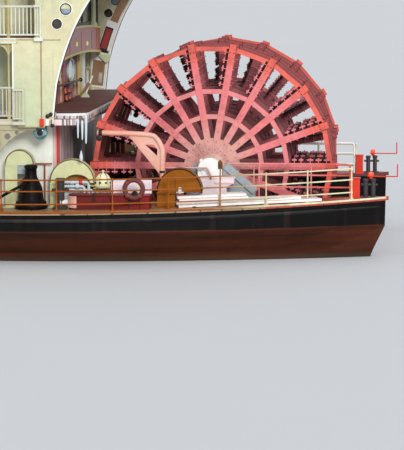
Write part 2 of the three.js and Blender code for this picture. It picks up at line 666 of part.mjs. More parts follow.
function wheel() {
  const all = [RINGS.outer, RINGS.middle, RINGS.inner];
  for (const [tag, s] of [["port", -1], ["starboard", 1]]) {
    const turn = HALF_TURN[tag];
    const outermost = s * frameY.at(-1);
    piece("wheel_frame_" + tag, wheelFrame(turn, outermost, all), "red");
    const inner = frameY.filter((y) => Math.sign(y) === s && y !== outermost);
    const reach = WHEEL_HALF - FRAME_THICK - SEAT_GAP;
    const planks = [];
    for (const angle of spokeAngles(turn)) {
      for (const [r0, r1] of PLANKS) {
        const geometry = new THREE.BoxGeometry(r1 - r0, reach - 40, PLANK_THICK);
        geometry.translate((r0 + r1) / 2, s * (reach + 40) / 2, SPOKE_WIDTH / 2 + PLANK_THICK / 2 - 6);
        geometry.rotateY(-angle).translate(AXLE_X, 0, AXLE_Z);
        planks.push(solid(geometry));
      }
    }
    const frames = inner.map((y) => wheelFrame(turn, y, []));
    piece("wheel_paddles_" + tag, join([...frames, ...planks]), "red");
  }
  const end = BEARING.y1 - 40;
  piece("wheel_shaft", crossBar(SHAFT_R, AXLE_X, AXLE_Z, -end, end), "rust");
}

function rudders() {
  const { x, y, stockR, stockTop, trunkZ, fore, aft, bottom } = RUDDER;
  for (const [name, s] of [["rudder_port", -1], ["rudder_starboard", 1]]) {
    const top = trunkZ - SEAT_GAP;
    const edge = [[x - fore, top], [x - fore + 60, bottom], [x + aft - 40, bottom], [x + aft, top]];
    const blade = side(edge, s * y - 30, s * y + 30);
    const round = [[0, top - 200], [stockR, top - 200], [stockR, stockTop], [0, stockTop]];
    const stock = turned(round, x, s * y, 32);
    piece(name, join([blade, stock]), "black");
  }
}

// Capstans: a flared foot, a waisted drum and a cap
const CAPSTANS = [
  ["capstan_port", AXLE_X - 3000, -3420],
  ["capstan_starboard", AXLE_X - 3000, 3420],
  ["capstan_fore", -16500, 0],
];
const CAPSTAN_FOOT = 250;
// How far the deck's straight lengths stand over its curve, at most
const CHORD_RISE = 0.6;
function capstans() {
  for (const [name, x, y] of CAPSTANS) {
    const z = Math.max(sheer(x - CAPSTAN_FOOT), sheer(x + CAPSTAN_FOOT)) + SEAT_GAP + CHORD_RISE;
    const profile = [
      [0, 0], [CAPSTAN_FOOT, 0], [280, 35], [270, 90], [205, 185], [192, 275], [180, 370],
      [142, 450], [120, 500], [92, 555], [90, 660], [106, 690], [104, 745], [0, 757],
    ];
    piece(name, turned(profile.map(([r, h]) => [r, z + h]), x, y, 12), "black");
  }
}

// Davits beside the wheel: an upright post that bends over to a level arm, with a gusset in the bend.
const DAVIT = { x: AXLE_X - 800, y: 2850, r: 45, top: 2170, reach: 1130 };
function davits() {
  for (const [name, s] of [["davit_port", -1], ["davit_starboard", 1]]) {
    const { x, r, top, reach } = DAVIT;
    const y = s * DAVIT.y;
    const z = sheer(x + 100) + SEAT_GAP;
    const foot = [[0, z], [r + 50, z], [r + 50, z + 60], [r, z + 120], [r, 1860], [0, 1860]];
    const post = turned(foot, x, y, 10);
    const bend = [[x, 1800], [x, 1880], [x - 90, 2060], [x - 280, top - 30], [x - reach, top]];
    const arm = bar(bend.map(([u, w]) => [u, y, w]), r, 12, 8);
    const plate = side([[x, 1440], [x, 1900], [x - 240, top - 30], [x - 575, top - 10]], y - 12, y + 12);
    const hole = side([[x - 85, 1770], [x - 85, 1900], [x - 150, 1970], [x - 300, 1970]], y - 50, y + 50);
    const gusset = plate.subtract(hole);
    const block = box(x - reach - 40, x - reach + 40, y - 30, y + 30, top - 150, top + 10);
    piece(name, join([post, arm, gusset, block]), "peach");
  }
}

// Ventilators: a flat-sided hood over a trunk at its fore side, with its mouth facing down
const VENTS = [
  // name, x, distance off the centreline, hood radius, height of the mouth, width,
  // the trunk's length, arch over the mouth, paint, sides
  ["vent_small", AXLE_X - 3226, 3190, 250, 745, 150, 215, 0, "cream", ["port", "starboard"]],
  ["vent_large", AXLE_X - 2320, 3135, 385, 445, 180, 300, 120, "cream", ["port", "starboard"]],
  ["vent_brown", AXLE_X - 460, 3200, 385, 280, 240, 312, 0, "brown", ["port"]],
];
const VENT_WALL = 18;
function vents() {
  for (const [tag, s] of [["port", -1], ["starboard", 1]]) {
    for (const [name, x, y, r, height, wide, trunkLength, arch, paint, sides] of VENTS) {
      if (!sides.includes(tag)) continue;
      const z = sheer(x) + height;
      const near = s * y - wide / 2;
      const far = s * y + wide / 2;
      const hood = new THREE.Shape();
      hood.moveTo(x - r, z - 20);
      hood.absarc(x, z, r, Math.PI, 0, true);
      hood.lineTo(x + r, z - 20);
      const trunk = box(x - r, x - r + trunkLength, near, far, DECK_Z - 50, z);
      const mouthFrom = x - r + trunkLength + VENT_WALL;
      const mouth = box(mouthFrom, x + r * 0.85, near + VENT_WALL, far - VENT_WALL, z - 100, z + r * 0.35);
      let body = join([side(hood, near, far, 8), trunk]).subtract(mouth);
      if (arch) {
        // The outboard cheek is arched over the mouth
        const middle = (mouthFrom + x + r * 0.8) / 2;
        const reach = (x + r * 0.8 - mouthFrom) / 2;
        const foot = z - 20;
        const curve = steps(Math.PI, 0, 6).map((a) => {
          return [middle + reach * Math.cos(a), foot + (arch + 20) * Math.sin(a)];
        });
        const outline = [[middle - reach, foot - 40], ...curve, [middle + reach, foot - 40]];
        const outboard = s * (y + wide / 2);
        body = body.subtract(side(outline, outboard - s * VENT_WALL, outboard + s * 10));
      }
      piece(name + "_" + tag, seated(body), paint);
    }
  }
}

// Double bitts on a bedplate.
const BITTS = [
  ["bitts_aft_port", AXLE_X - 2490, -3440, 72, 0],
  ["bitts_aft_starboard", AXLE_X - 2490, 3440, 72, 0],
  ["bitts_fore", -15700, 0, 80, 1150],
];
function bitts() {
  for (const [name, x, y, r, spread] of BITTS) {
    const z = sheer(x);
    const head = [[0, -50], [r, -50], [r, 480], [r + 12, 500], [r + 12, 530], [0, 530]];
    const profile = head.map(([radius, h]) => [radius, z + h]);
    const heads = (spread ? [-1, 1] : [0]).map((k) => turned(profile, x, y + k * spread, 12));
    const reach = spread + r + 90;
    const bed = box(x - r - 50, x + r + 50, y - reach, y + reach, z - 50, z + 40);
    piece(name, seated(join([bed, ...heads])), "steel");
  }
}

// A long low locker by the wheel on each side, round at its fore end, with a board that stands behind it.
function lockers() {
  for (const [tag, s] of [["port", -1], ["starboard", 1]]) {
    const x0 = AXLE_X - 2170;
    const x1 = AXLE_X - 950;
    const near = s * 3265;
    const far = s * 3600;
    const chest = box(x0, x1, near, far, DECK_Z - 50, DECK_Z + 265);
    const round = [[0, -50], [165, -50], [165, 265], [0, 265]].map(([r, h]) => [r, DECK_Z + h]);
    const end = turned(round, x0, (near + far) / 2, 12);
    const board = box(AXLE_X - 1630, x1, near, near - s * 30, DECK_Z - 50, 1385);
    piece("locker_" + tag, seated(join([chest, end, board])), "rust");
  }
}

// The cargo derrick on the foredeck and the landing stage that hangs from it.
const DERRICK = { x: -14700, r: 130, top: 5000, heel: 2500, tip: -18650, tipZ: 4700 };
const STAGE = { x0: -21000, x1: -16300, half: 550, z: 2400, deep: 250, pinZ: 4450, pinR: 28 };
function derrick() {
  const { x, r, top, heel, tip, tipZ } = DERRICK;
  const z = sheer(x - 250) + SEAT_GAP;
  const foot = [[0, z], [r + 110, z], [r + 110, z + 80], [r + 20, z + 120], [r, z + 300]];
  const mast = turned([...foot, [r * 0.7, top], [0, top]], x, 0, 12);
  const boom = strut([x, 0, heel], [tip, 0, tipZ], 150, 150);
  const stay = strut([x, 0, top - 60], [tip + 60, 0, tipZ + 60], 40, 40);
  // Two cheeks under the derrick's head hold the pin that the stage hangs from
  const cheeks = [-1, 1].map((k) => box(tip - 70, tip + 70, k * 58.3, k * 105, STAGE.pinZ - 70, tipZ));
  const head = box(tip - 120, tip + 120, -105, 105, tipZ - 60, tipZ + 100);
  const pin = crossBar(STAGE.pinR, tip, STAGE.pinZ, -100, 100, 16);
  piece("derrick", join([mast, boom, stay, head, ...cheeks, pin]), "white");
  // The stage: two side girders on a plank deck, with a hanger frame up to the derrick's head
  const girders = [-1, 1].map((k) => {
    const y = k * STAGE.half;
    return box(STAGE.x0, STAGE.x1, y - 30, y + 30, STAGE.z, STAGE.z + STAGE.deep);
  });
  const deck = box(STAGE.x0, STAGE.x1, -STAGE.half, STAGE.half, STAGE.z, STAGE.z + 60);
  const legs = [-1, 1].flatMap((k) => [
    strut([tip - 1100, k * STAGE.half, STAGE.z + 150], [tip - 10, k * 32, STAGE.pinZ - 125], 45, 45),
    strut([tip + 1100, k * STAGE.half, STAGE.z + 150], [tip + 10, k * 32, STAGE.pinZ - 125], 45, 45),
  ]);
  const bore = crossBar(STAGE.pinR + 2, tip, STAGE.pinZ, -100, 100, 16);
  const eye = crossBar(75, tip, STAGE.pinZ, -58, 58, 16).add(
    box(tip - 65, tip + 65, -58, 58, STAGE.pinZ - 190, STAGE.pinZ - 35),
  );
  piece("landing_stage", join([...girders, deck, ...legs, eye]).subtract(bore), "white");
}

// The wide stair from the foredeck to the boiler deck.
function foreStair() {
  const top = BOILER_Z;
  const x1 = -12600 - SEAT_GAP;
  const x0 = x1 - 1700;
  const treads = 9;
  const rise = (top - DECK_Z) / treads;
  const going = (x1 - x0) / treads;
  const outline = [[x0, DECK_Z - 50]];
  for (let i = 0; i < treads; i += 1) {
    const z = DECK_Z + rise * (i + 1);
    outline.push([x0 + going * i, z], [x0 + going * (i + 1), z]);
  }
  outline.push([x1, top - SLAB - 200], [x0 + 300, DECK_Z - 50]);
  const flight = side(outline, -650, 650);
  const string = [
    [x0 - 60, DECK_Z - 50], [x0 - 60, DECK_Z + 260],
    [x1, top + 200], [x1, top - 320], [x0 + 300, DECK_Z - 50],
  ];
  const strings = [-1, 1].map((s) => side(string, s * 650, s * 700));
  piece("fore_stair", seated(join([flight, ...strings])), "white");
}

function engineRoom() {
  const block = box(AXLE_X - 8200, AXLE_X - 4200, -900, 900, DECK_Z - 50, DECK_Z + 750);
  piece("engine_block", seated(block), "steel");
}

hull();
mainDeck();
cabins();
doors();
slabs();
screens();
mainRails();
wellRails();
galleries();
colonnades();
hurricaneRail();
chimneys();
bearings();
wheel();
rudders();
capstans();
davits();
vents();
bitts();
lockers();
derrick();
foreStair();
engineRoom();

export default boat;
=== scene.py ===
# %% [markdown]
# # A stern-wheel paddle steamer, dressed for its portrait
#
# The boat's solids are already made: hull, decks, cabins, wheel, bearings, rails and gear, each in its
# place. This notebook gives them their skins: painted iron and planks, glass, lamps, balusters and bolts.
# Everything is in metres. +X runs aft, +Y to starboard, +Z up, and z = 0 is the water.

# %% Load the solids
import math

import bpy
import numpy as np
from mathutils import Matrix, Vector


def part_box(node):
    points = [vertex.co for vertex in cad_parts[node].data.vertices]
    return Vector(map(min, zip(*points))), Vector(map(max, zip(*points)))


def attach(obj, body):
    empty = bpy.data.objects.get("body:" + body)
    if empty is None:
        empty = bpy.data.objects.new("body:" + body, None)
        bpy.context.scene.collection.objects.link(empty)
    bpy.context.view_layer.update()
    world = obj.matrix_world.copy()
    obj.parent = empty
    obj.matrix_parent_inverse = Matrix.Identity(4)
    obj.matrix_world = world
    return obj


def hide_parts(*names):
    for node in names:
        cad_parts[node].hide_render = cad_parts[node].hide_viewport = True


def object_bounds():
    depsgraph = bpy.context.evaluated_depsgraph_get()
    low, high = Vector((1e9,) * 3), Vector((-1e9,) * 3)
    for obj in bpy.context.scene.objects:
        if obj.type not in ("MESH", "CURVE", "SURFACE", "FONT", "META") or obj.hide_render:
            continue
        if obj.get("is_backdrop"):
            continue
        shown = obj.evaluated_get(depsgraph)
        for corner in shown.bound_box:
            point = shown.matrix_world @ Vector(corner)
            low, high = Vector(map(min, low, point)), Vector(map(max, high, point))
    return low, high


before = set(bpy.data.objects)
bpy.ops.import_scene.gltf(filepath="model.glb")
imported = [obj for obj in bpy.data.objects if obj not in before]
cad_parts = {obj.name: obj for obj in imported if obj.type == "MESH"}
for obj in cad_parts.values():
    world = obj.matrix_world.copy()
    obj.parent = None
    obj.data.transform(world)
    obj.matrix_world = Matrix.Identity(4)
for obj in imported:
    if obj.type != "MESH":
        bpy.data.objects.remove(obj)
solid_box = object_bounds()

# %% [markdown]
# ## Sizes that everything else is worked out from
#
# A boat is drawn from a few levels and lines: the wheel's axle, the decks, the breadth over the guards.

# %% The boat's levels and lines
wheel_low, wheel_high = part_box("wheel_frame_port")
AXLE_X = (wheel_low.x + wheel_high.x) / 2
AXLE_Z = (wheel_low.z + wheel_high.z) / 2
MAIN_Z, BOILER_Z = 0.9, 2.44
CABIN_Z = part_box("cabin_house")[0].z
HURRICANE_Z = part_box("hurricane_deck")[1].z
TEXAS_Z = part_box("texas_roof")[1].z
DECK_HALF = 3.96
WELL_HALF = 2.2
print(f"axle at x {AXLE_X:.3f}, z {AXLE_Z:.3f}; decks {BOILER_Z}, {CABIN_Z:.2f}, {HURRICANE_Z:.2f}")

# %% [markdown]
# ## The camera
#
# The picture was taken from the port quarter with a long lens, slightly above the deck and looking down at
# it. The lens, the yaw and the pitch were found by setting the wheel's hub, its rim and the deck's edge
# over the picture. A camera looks along its own -Z, so `to_track_quat` turns the direction into a rotation.

# %% Camera
YAW, PITCH = math.radians(4.7), math.radians(6.8)
CAMERA_PLACE = (17.297, -41.871, 5.248)
LENS, FAR = 182.4, 3000
look = Vector((-math.sin(YAW) * math.cos(PITCH), math.cos(YAW) * math.cos(PITCH), -math.sin(PITCH)))
camera = bpy.data.objects.new("port_quarter_camera", bpy.data.cameras.new("port_quarter_camera"))
bpy.context.collection.objects.link(camera)
camera.location = CAMERA_PLACE
camera.rotation_mode = "QUATERNION"
camera.rotation_quaternion = look.to_track_quat("-Z", "Y")
camera.data.sensor_width = 36
camera.data.lens = LENS
camera.data.clip_end = FAR
bpy.context.scene.camera = camera
print("camera looks along", tuple(round(c, 3) for c in look))

# %% [markdown]
# ## Shapes from arrays
#
# A mesh is two things: a table of points and a table of faces. Each helper below works both out as whole
# numpy arrays and returns `(points, faces)`, where `faces` is a list of index tables, one for each number
# of corners. Joining two shapes only shifts the second one's indices. A rivet, a baluster or a bolt is made
# once and copied by adding a table of offsets.

# %% Joining, copying and mirroring
FULL_TURN = 2 * math.pi


def joined(*shapes):
    """All shapes as one: the points end to end, each face table moved up by the points before it."""
    starts = np.cumsum([0] + [len(points) for points, _ in shapes])
    faces = [table + start for (_, tables), start in zip(shapes, starts) for table in tables]
    return np.concatenate([points for points, _ in shapes]), faces


def copies(shape, offsets, turns=None):
    """The shape at each offset: point = turn @ point + offset, worked out for all copies at once."""
    points, tables = shape
    offsets = np.atleast_2d(np.asarray(offsets, float))
    turned_points = points[None] if turns is None else np.einsum("kij,nj->kni", turns, points)
    moved = turned_points + offsets[:, None, :]
    shift = np.arange(len(offsets))[:, None, None] * len(points)
    return moved.reshape(-1, 3), [(t[None] + shift).reshape(-1, t.shape[1]) for t in tables]


def mirrored(shape):
    """The shape's reflection in y = 0; each face is read backwards so that it still points outwards."""
    points, tables = shape
    return points * [1, -1, 1], [t[:, ::-1] for t in tables]


def mirror_x(shape):
    """The shape's reflection in x = 0."""
    points, tables = shape
    return points * [-1, 1, 1], [t[:, ::-1] for t in tables]


def scaled(shape, factors, offset=(0, 0, 0)):
    """The shape stretched along each axis, then moved."""
    return shape[0] * factors + offset, shape[1]


# %% Bars, rods and blocks
CUBE = np.array([[x, y, z] for x in (-1, 1) for y in (-1, 1) for z in (-1, 1)], float)
CUBE_FACES = np.array([[0, 1, 3, 2], [4, 6, 7, 5], [0, 4, 5, 1], [2, 3, 7, 6], [0, 2, 6, 4], [1, 5, 7, 3]])


def xyz(*parts):
    """A table with one column for each part: numbers are repeated to the length of the arrays."""
    return np.stack(np.broadcast_arrays(*parts), axis=1).astype(float)


def blocks(low, high):
    """Upright blocks between corner tables: middle + half size times each corner of the unit block."""
    low, high = np.atleast_2d(np.asarray(low, float)), np.atleast_2d(np.asarray(high, float))
    low, high = np.minimum(low, high), np.maximum(low, high)
    points = (low + high)[:, None] / 2 + (high - low)[:, None] / 2 * CUBE[None]
    shift = np.arange(len(low))[:, None, None] * 8
    return points.reshape(-1, 3), [(CUBE_FACES[None] + shift).reshape(-1, 4)]


def boxes(*rows):
    """Upright blocks again, each given by one row: its low corner, then its high corner."""
    rows = np.array(rows, float)
    return blocks(rows[:, :3], rows[:, 3:])


def frames_along(a, b, up):
    """For each run a to b: its middle, its length and the turn whose columns are along, side and up."""
    a, b = np.broadcast_arrays(np.atleast_2d(np.asarray(a, float)), np.atleast_2d(np.asarray(b, float)))
    run = b - a
    length = np.linalg.norm(run, axis=1, keepdims=True)
    along = run / length
    side = np.cross(np.broadcast_to(up, along.shape), along)
    side /= np.linalg.norm(side, axis=1, keepdims=True)
    return (a + b) / 2, length, np.stack([along, side, np.cross(along, side)], axis=2)


def bars(a, b, width, depth, up=(0, 0, 1)):
    """Square bars from each a to each b: the unit block scaled to length, width and depth, then turned."""
    middle, length, turn = frames_along(a, b, np.asarray(up, float))
    size = np.concatenate([length, np.full_like(length, width), np.full_like(length, depth)], axis=1) / 2
    points = np.einsum("kij,knj->kni", turn, size[:, None] * CUBE[None]) + middle[:, None]
    shift = np.arange(len(middle))[:, None, None] * 8
    return points.reshape(-1, 3), [(CUBE_FACES[None] + shift).reshape(-1, 4)]


def ring_points(sides, start=0.0):
    """The unit circle as sides points, counter-clockwise."""
    angle = start + FULL_TURN * np.arange(sides) / sides
    return np.stack([np.cos(angle), np.sin(angle)], axis=1)


def wall_faces(rings, sides, closed=False):
    """Quads between neighbouring rings of a grid whose rings have sides points each."""
    ring = np.arange(rings if closed else rings - 1)[:, None]
    i = np.arange(sides)[None]
    j = (i + 1) % sides
    after = (ring + 1) % rings
    quads = np.stack([ring * sides + i, ring * sides + j, after * sides + j, after * sides + i], axis=-1)
    return quads.reshape(-1, 4)


def rods(a, b, radius, sides=8, up=(0.31, 0.17, 0.94)):
    """Round rods from each a to each b: a circle at both ends, a wall between and a flat cap on each."""
    middle, length, turn = frames_along(a, b, np.asarray(up, float))
    circle = ring_points(sides) * radius
    ends = np.stack([np.concatenate([np.full((sides, 1), end), circle], axis=1) for end in (-0.5, 0.5)])
    unit = np.repeat(ends.reshape(-1, 3)[None], len(middle), axis=0)
    unit[:, :, 0] *= length
    points = np.einsum("kij,knj->kni", turn, unit) + middle[:, None]
    shift = np.arange(len(middle))[:, None, None] * 2 * sides
    caps = np.stack([np.arange(sides)[::-1], np.arange(sides) + sides])
    tables = [wall_faces(2, sides)[None] + shift, caps[None] + shift]
    return points.reshape(-1, 3), [t.reshape(-1, t.shape[-1]) for t in tables]


# %% Turned, swept and cut-out shapes
AXES = {
    "z": np.array([[1, 0, 0], [0, 1, 0], [0, 0, 1]], float),
    "y": np.array([[1, 0, 0], [0, 0, 1], [0, -1, 0]], float),
    "x": np.array([[0, 0, 1], [1, 0, 0], [0, 1, 0]], float),
}


def turned(profile, centre=(0, 0, 0), sides=32, axis="z", closed=False):
    """A lathe: point = (r cos a, r sin a, h) for each [r, h] of the profile and each angle a.
    An open profile gets a flat cap at each end, and a closed one meets itself, as a ring does."""
    profile = np.asarray(profile, float)
    circle = ring_points(sides)
    radius = np.maximum(profile[:, 0], 1e-4)
    points = np.empty((len(profile), sides, 3))
    points[:, :, :2] = radius[:, None, None] * circle[None]
    points[:, :, 2] = profile[:, 1][:, None]
    walls = wall_faces(len(profile), sides, closed)
    tables = [walls]
    if not closed:
        last = (len(profile) - 1) * sides
        tables.append(np.stack([np.arange(sides)[::-1], last + np.arange(sides)]))
    flat = points.reshape(-1, 3) @ AXES[axis].T + np.asarray(centre, float)
    return flat, tables


def hoop(inner, outer, z, half, centre, sides=40, chamfer=0.004):
    """An upright ring about z: a closed profile with chamfered outer edges, turned."""
    edge = half - chamfer
    return turned([[inner, z - half], [outer, z - edge], [outer, z + edge], [inner, z + half]], centre,
        sides, closed=True)


def facing_port(profile, centre, sides=32):
    """A lathe whose far end points to port."""
    return turned(np.asarray(profile, float)[::-1] * [1, -1], centre, sides, "y")


def swept(path, section, up, closed=False):
    """A section [side, up] carried along a path: point = path + s side + u up, with flat caps at the
    ends."""
    path = np.asarray(path, float)
    section = np.asarray(section, float)
    if closed:
        tangent = np.roll(path, -1, axis=0) - np.roll(path, 1, axis=0)
    else:
        tangent = np.gradient(path, axis=0)
    tangent /= np.linalg.norm(tangent, axis=1, keepdims=True)
    side = np.cross(np.broadcast_to(np.asarray(up, float), tangent.shape), tangent)
    side /= np.linalg.norm(side, axis=1, keepdims=True)
    over = np.cross(tangent, side)
    points = path[:, None] + section[None, :, :1] * side[:, None] + section[None, :, 1:] * over[:, None]
    sides = len(section)
    tables = [wall_faces(len(path), sides, closed)]
    if not closed:
        last = (len(path) - 1) * sides
        tables.append(np.stack([np.arange(sides)[::-1], last + np.arange(sides)]))
    return points.reshape(-1, 3), tables


def tube(path, radius, sides=10, up=(0.05, 0.02, 1), closed=False):
    """A round tube: a circle swept along a path."""
    return swept(path, ring_points(sides) * radius, up, closed)


PLANES = {"y": ([0, 2], 1, -1), "x": ([1, 2], 0, 1), "z": ([0, 1], 2, 1)}


def plate(outline, low, high, normal="y", hole=None):
    """A flat plate: the outline at two depths, a wall between and a face on each. With a hole, which has as
    many points as the outline, each face is a band of quads between the two."""
    outline = np.asarray(outline, float)
    low, high = min(low, high), max(low, high)
    columns, depth_column, sign = PLANES[normal]
    area = np.sum(outline[:, 0] * np.roll(outline[:, 1], -1) - np.roll(outline[:, 0], -1) * outline[:, 1])
    order = 1 if area * sign > 0 else -1
    outline = outline[::order]
    count = len(outline)

    def at(flat, depth):
        points = np.empty((len(flat), 3))
        points[:, columns] = flat
        points[:, depth_column] = depth
        return points

    if hole is None:
        caps = np.stack([np.arange(count)[::-1], count + np.arange(count)])
        points = np.concatenate([at(outline, low), at(outline, high)])
        return points, [wall_faces(2, count), caps]
    hole = np.asarray(hole, float)[::order]
    rings = [at(outline, low), at(outline, high), at(hole, high), at(hole, low)]
    return np.concatenate(rings), [wall_faces(4, count, closed=True)]


def rectangle(u0, v0, u1, v1):
    """A four-cornered outline."""
    return np.array([[u0, v0], [u1, v0], [u1, v1], [u0, v1]])


def circle_outline(u, v, radius, count=48, start=0.0):
    """A round outline about u, v."""
    return ring_points(count, start) * radius + [u, v]


def curve_through(points, each=6):
    """A smooth line through points, each stretch bent by its neighbours: a uniform Catmull-Rom curve."""
    p = np.asarray(points, float)
    p = np.concatenate([p[:1], p, p[-1:]])
    t = np.linspace(0, 1, each, endpoint=False)[None, :, None]
    a, b, c, d = (p[i : len(p) - 3 + i, None] for i in range(4))
    out, leave = (c - a) / 2, (d - b) / 2
    bent = (2 * b - 2 * c + out + leave) * t**3 + (-3 * b + 3 * c - 2 * out - leave) * t**2 + out * t + b
    return np.concatenate([bent.reshape(-1, p.shape[1]), p[-1:]])


# %% Putting a shape into the scene
made = []
ROUNDED_FROM = 35


def put(name, shape, finish, slot=None, body="boat", replaces=(), angle=40, bevel=0.0):
    """Makes the mesh from the two tables, shades it smooth below the angle, gives it the finish of that
    name, and rides it on its body. The slot, the finish's usual one unless another is given, is worked out
    but not used. A bevel is the width of its rounded edges."""
    points, tables = shape
    mesh = bpy.data.meshes.new(name)
    counts = np.concatenate([np.full(len(t), t.shape[1], np.int32) for t in tables])
    corners = np.concatenate([t.ravel() for t in tables]).astype(np.int32)
    mesh.vertices.add(len(points))
    mesh.vertices.foreach_set("co", np.ascontiguousarray(points, np.float32).ravel())
    mesh.loops.add(len(corners))
    mesh.loops.foreach_set("vertex_index", corners)
    mesh.polygons.add(len(counts))
    mesh.polygons.foreach_set("loop_start", np.cumsum(counts, dtype=np.int32) - counts)
    mesh.update(calc_edges=True)
    mesh.validate()
    mesh.shade_smooth()
    mesh.set_sharp_from_angle(angle=math.radians(angle))
    mesh.materials.append(FINISH[finish])
    piece = bpy.data.objects.new(name, mesh)
    bpy.context.collection.objects.link(piece)
    if bevel:
        edge = piece.modifiers.new("rounded_edges", "BEVEL")
        edge.width, edge.segments, edge.limit_method = bevel, 1, "ANGLE"
        edge.angle_limit = math.radians(ROUNDED_FROM)
    slot = slot or SLOT[finish]
    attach(piece, body)
    if replaces:
        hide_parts(*replaces)
    triangles = int((counts - 2).sum())
    made.append(triangles)
    print(f"{name}: {triangles} triangles before its edges are rounded")

# %% [markdown]
# ## Weather, planks and chips: the effects that many finishes share
#
# Paint on a river boat is never one colour. Rain pulls dirt down the walls in streaks, soot settles in
# clouds, and rollers leave a faint orange-peel. These could be painted by hand, but then every piece would
# need its own picture. A node group worked out from the place on the boat fits any piece, whatever its
# shape. The three groups below put out colours, masks and heights only. The shader itself stays in each
# material.

# %% A small helper to write node trees
def give(tree, socket, value):
    """Links the socket to another one or gives it a value. A colour's fourth number is always 1."""
    if isinstance(value, bpy.types.NodeSocket):
        tree.links.new(value, socket)
    else:
        socket.default_value = (*value, 1) if socket.type == "RGBA" else value


def node(tree, kind, inputs=None, **settings):
    """A node of that kind with its settings, each input either linked to a socket or given a value."""
    new = tree.nodes.new(kind)
    for key, value in settings.items():
        setattr(new, key, value)
    for key, value in (inputs or {}).items():
        give(tree, new.inputs[key], value)
    return new


def math_node(tree, operation, a, b=0.0, clamp=False):
    """One sum of two numbers or sockets."""
    return node(tree, "ShaderNodeMath", {0: a, 1: b}, operation=operation, use_clamp=clamp).outputs[0]


def times(tree, a, b):
    """a times b."""
    return math_node(tree, "MULTIPLY", a, b)


def plus(tree, a, b):
    """a plus b."""
    return math_node(tree, "ADD", a, b)


def minus(tree, a, b):
    """a minus b."""
    return math_node(tree, "SUBTRACT", a, b)


def along_axes(tree, vector):
    """The vector's parts, as sockets named X, Y and Z."""
    return node(tree, "ShaderNodeSeparateXYZ", {0: vector}).outputs


def ramp(tree, value, low, high):
    """0 below low, 1 above high and a smooth step between."""
    settings = {"interpolation_type": "SMOOTHSTEP"}
    inputs = {"Value": value, "From Min": low, "From Max": high}
    return node(tree, "ShaderNodeMapRange", inputs, **settings).outputs["Result"]


def mix_colour(tree, share, a, b, blend="MIX"):
    """Colour a turned into colour b by share. The mixer keeps its colours on inputs 6 and 7."""
    settings = {"data_type": "RGBA", "blend_type": blend, "clamp_factor": True}
    mixer = node(tree, "ShaderNodeMix", None, **settings)
    for socket, value in zip((0, 6, 7), (share, a, b)):
        give(tree, mixer.inputs[socket], value)
    return mixer.outputs[2]


def stretched(tree, place, scale, shift=(0, 0, 0), turn=(0, 0, 0)):
    """The place on the boat, stretched, shifted and turned."""
    inputs = {"Vector": place, "Scale": scale, "Location": shift, "Rotation": turn}
    return node(tree, "ShaderNodeMapping", inputs).outputs[0]


def noise(tree, place, scale, detail=4.0, rough=0.55, output="Fac"):
    """Soft noise of about scale clouds a metre."""
    inputs = {"Vector": place, "Scale": scale, "Detail": detail, "Roughness": rough}
    return node(tree, "ShaderNodeTexNoise", inputs).outputs[output]


def new_group(name, inputs, outputs):
    """An empty group with named sockets; returns its tree, its inputs and its output node."""
    tree = bpy.data.node_groups.new(name, "ShaderNodeTree")
    for label, kind in inputs:
        tree.interface.new_socket(label, in_out="INPUT", socket_type="NodeSocket" + kind)
    for label, kind in outputs:
        tree.interface.new_socket(label, in_out="OUTPUT", socket_type="NodeSocket" + kind)
    return tree, tree.nodes.new("NodeGroupInput").outputs, tree.nodes.new("NodeGroupOutput")


def place_group(tree, group, inputs):
    """Puts a group into a material with its own values."""
    return node(tree, "ShaderNodeGroup", inputs, node_tree=group).outputs


# %% Weather: clouds of dirt, rain streaks and the roller's orange-peel
def weather_group():
    """Colour = paint, a little lighter or darker in clouds, turned to dirt where clouds or streaks are.
    Streaks are noise squeezed sideways and drawn out downwards. Height = fine noise plus broad dents."""
    sockets = [("Place", "Vector"), ("Paint", "Color"), ("Dirt", "Color")]
    sockets += [("Clouds", "Float"), ("Streaks", "Float"), ("Size", "Float")]
    tree, given, out = new_group("weather", sockets,
        [("Colour", "Color"), ("Dull", "Float"), ("Height", "Float")])
    place = given["Place"]
    broad = noise(tree, place, given["Size"], 5.0, 0.6)
    clouds = times(tree, ramp(tree, broad, 0.48, 0.72), given["Clouds"])
    drawn = noise(tree, stretched(tree, place, (9, 9, 0.55)), 1.0, 3.0, 0.5)
    breaks = noise(tree, place, 1.3, 2.0)
    streaks = times(tree, ramp(tree, drawn, 0.53, 0.74), ramp(tree, breaks, 0.35, 0.65))
    streaks = times(tree, streaks, given["Streaks"])
    mottle = ramp(tree, noise(tree, place, 7.0, 6.0, 0.65), 0.25, 0.75)
    lighter = mix_colour(tree, mottle, (0.86, 0.85, 0.84), (1.0, 1.0, 1.0))
    toned = mix_colour(tree, 1.0, given["Paint"], lighter, "MULTIPLY")
    dirt = math_node(tree, "ADD", clouds, streaks, clamp=True)
    tree.links.new(mix_colour(tree, dirt, toned, given["Dirt"]), out.inputs["Colour"])
    tree.links.new(dirt, out.inputs["Dull"])
    fine = noise(tree, place, 95.0, 2.0, 0.5)
    dents = noise(tree, place, 3.0, 2.0, 0.5)
    height = plus(tree, times(tree, fine, 0.25), dents)
    tree.links.new(height, out.inputs["Height"])
    return tree


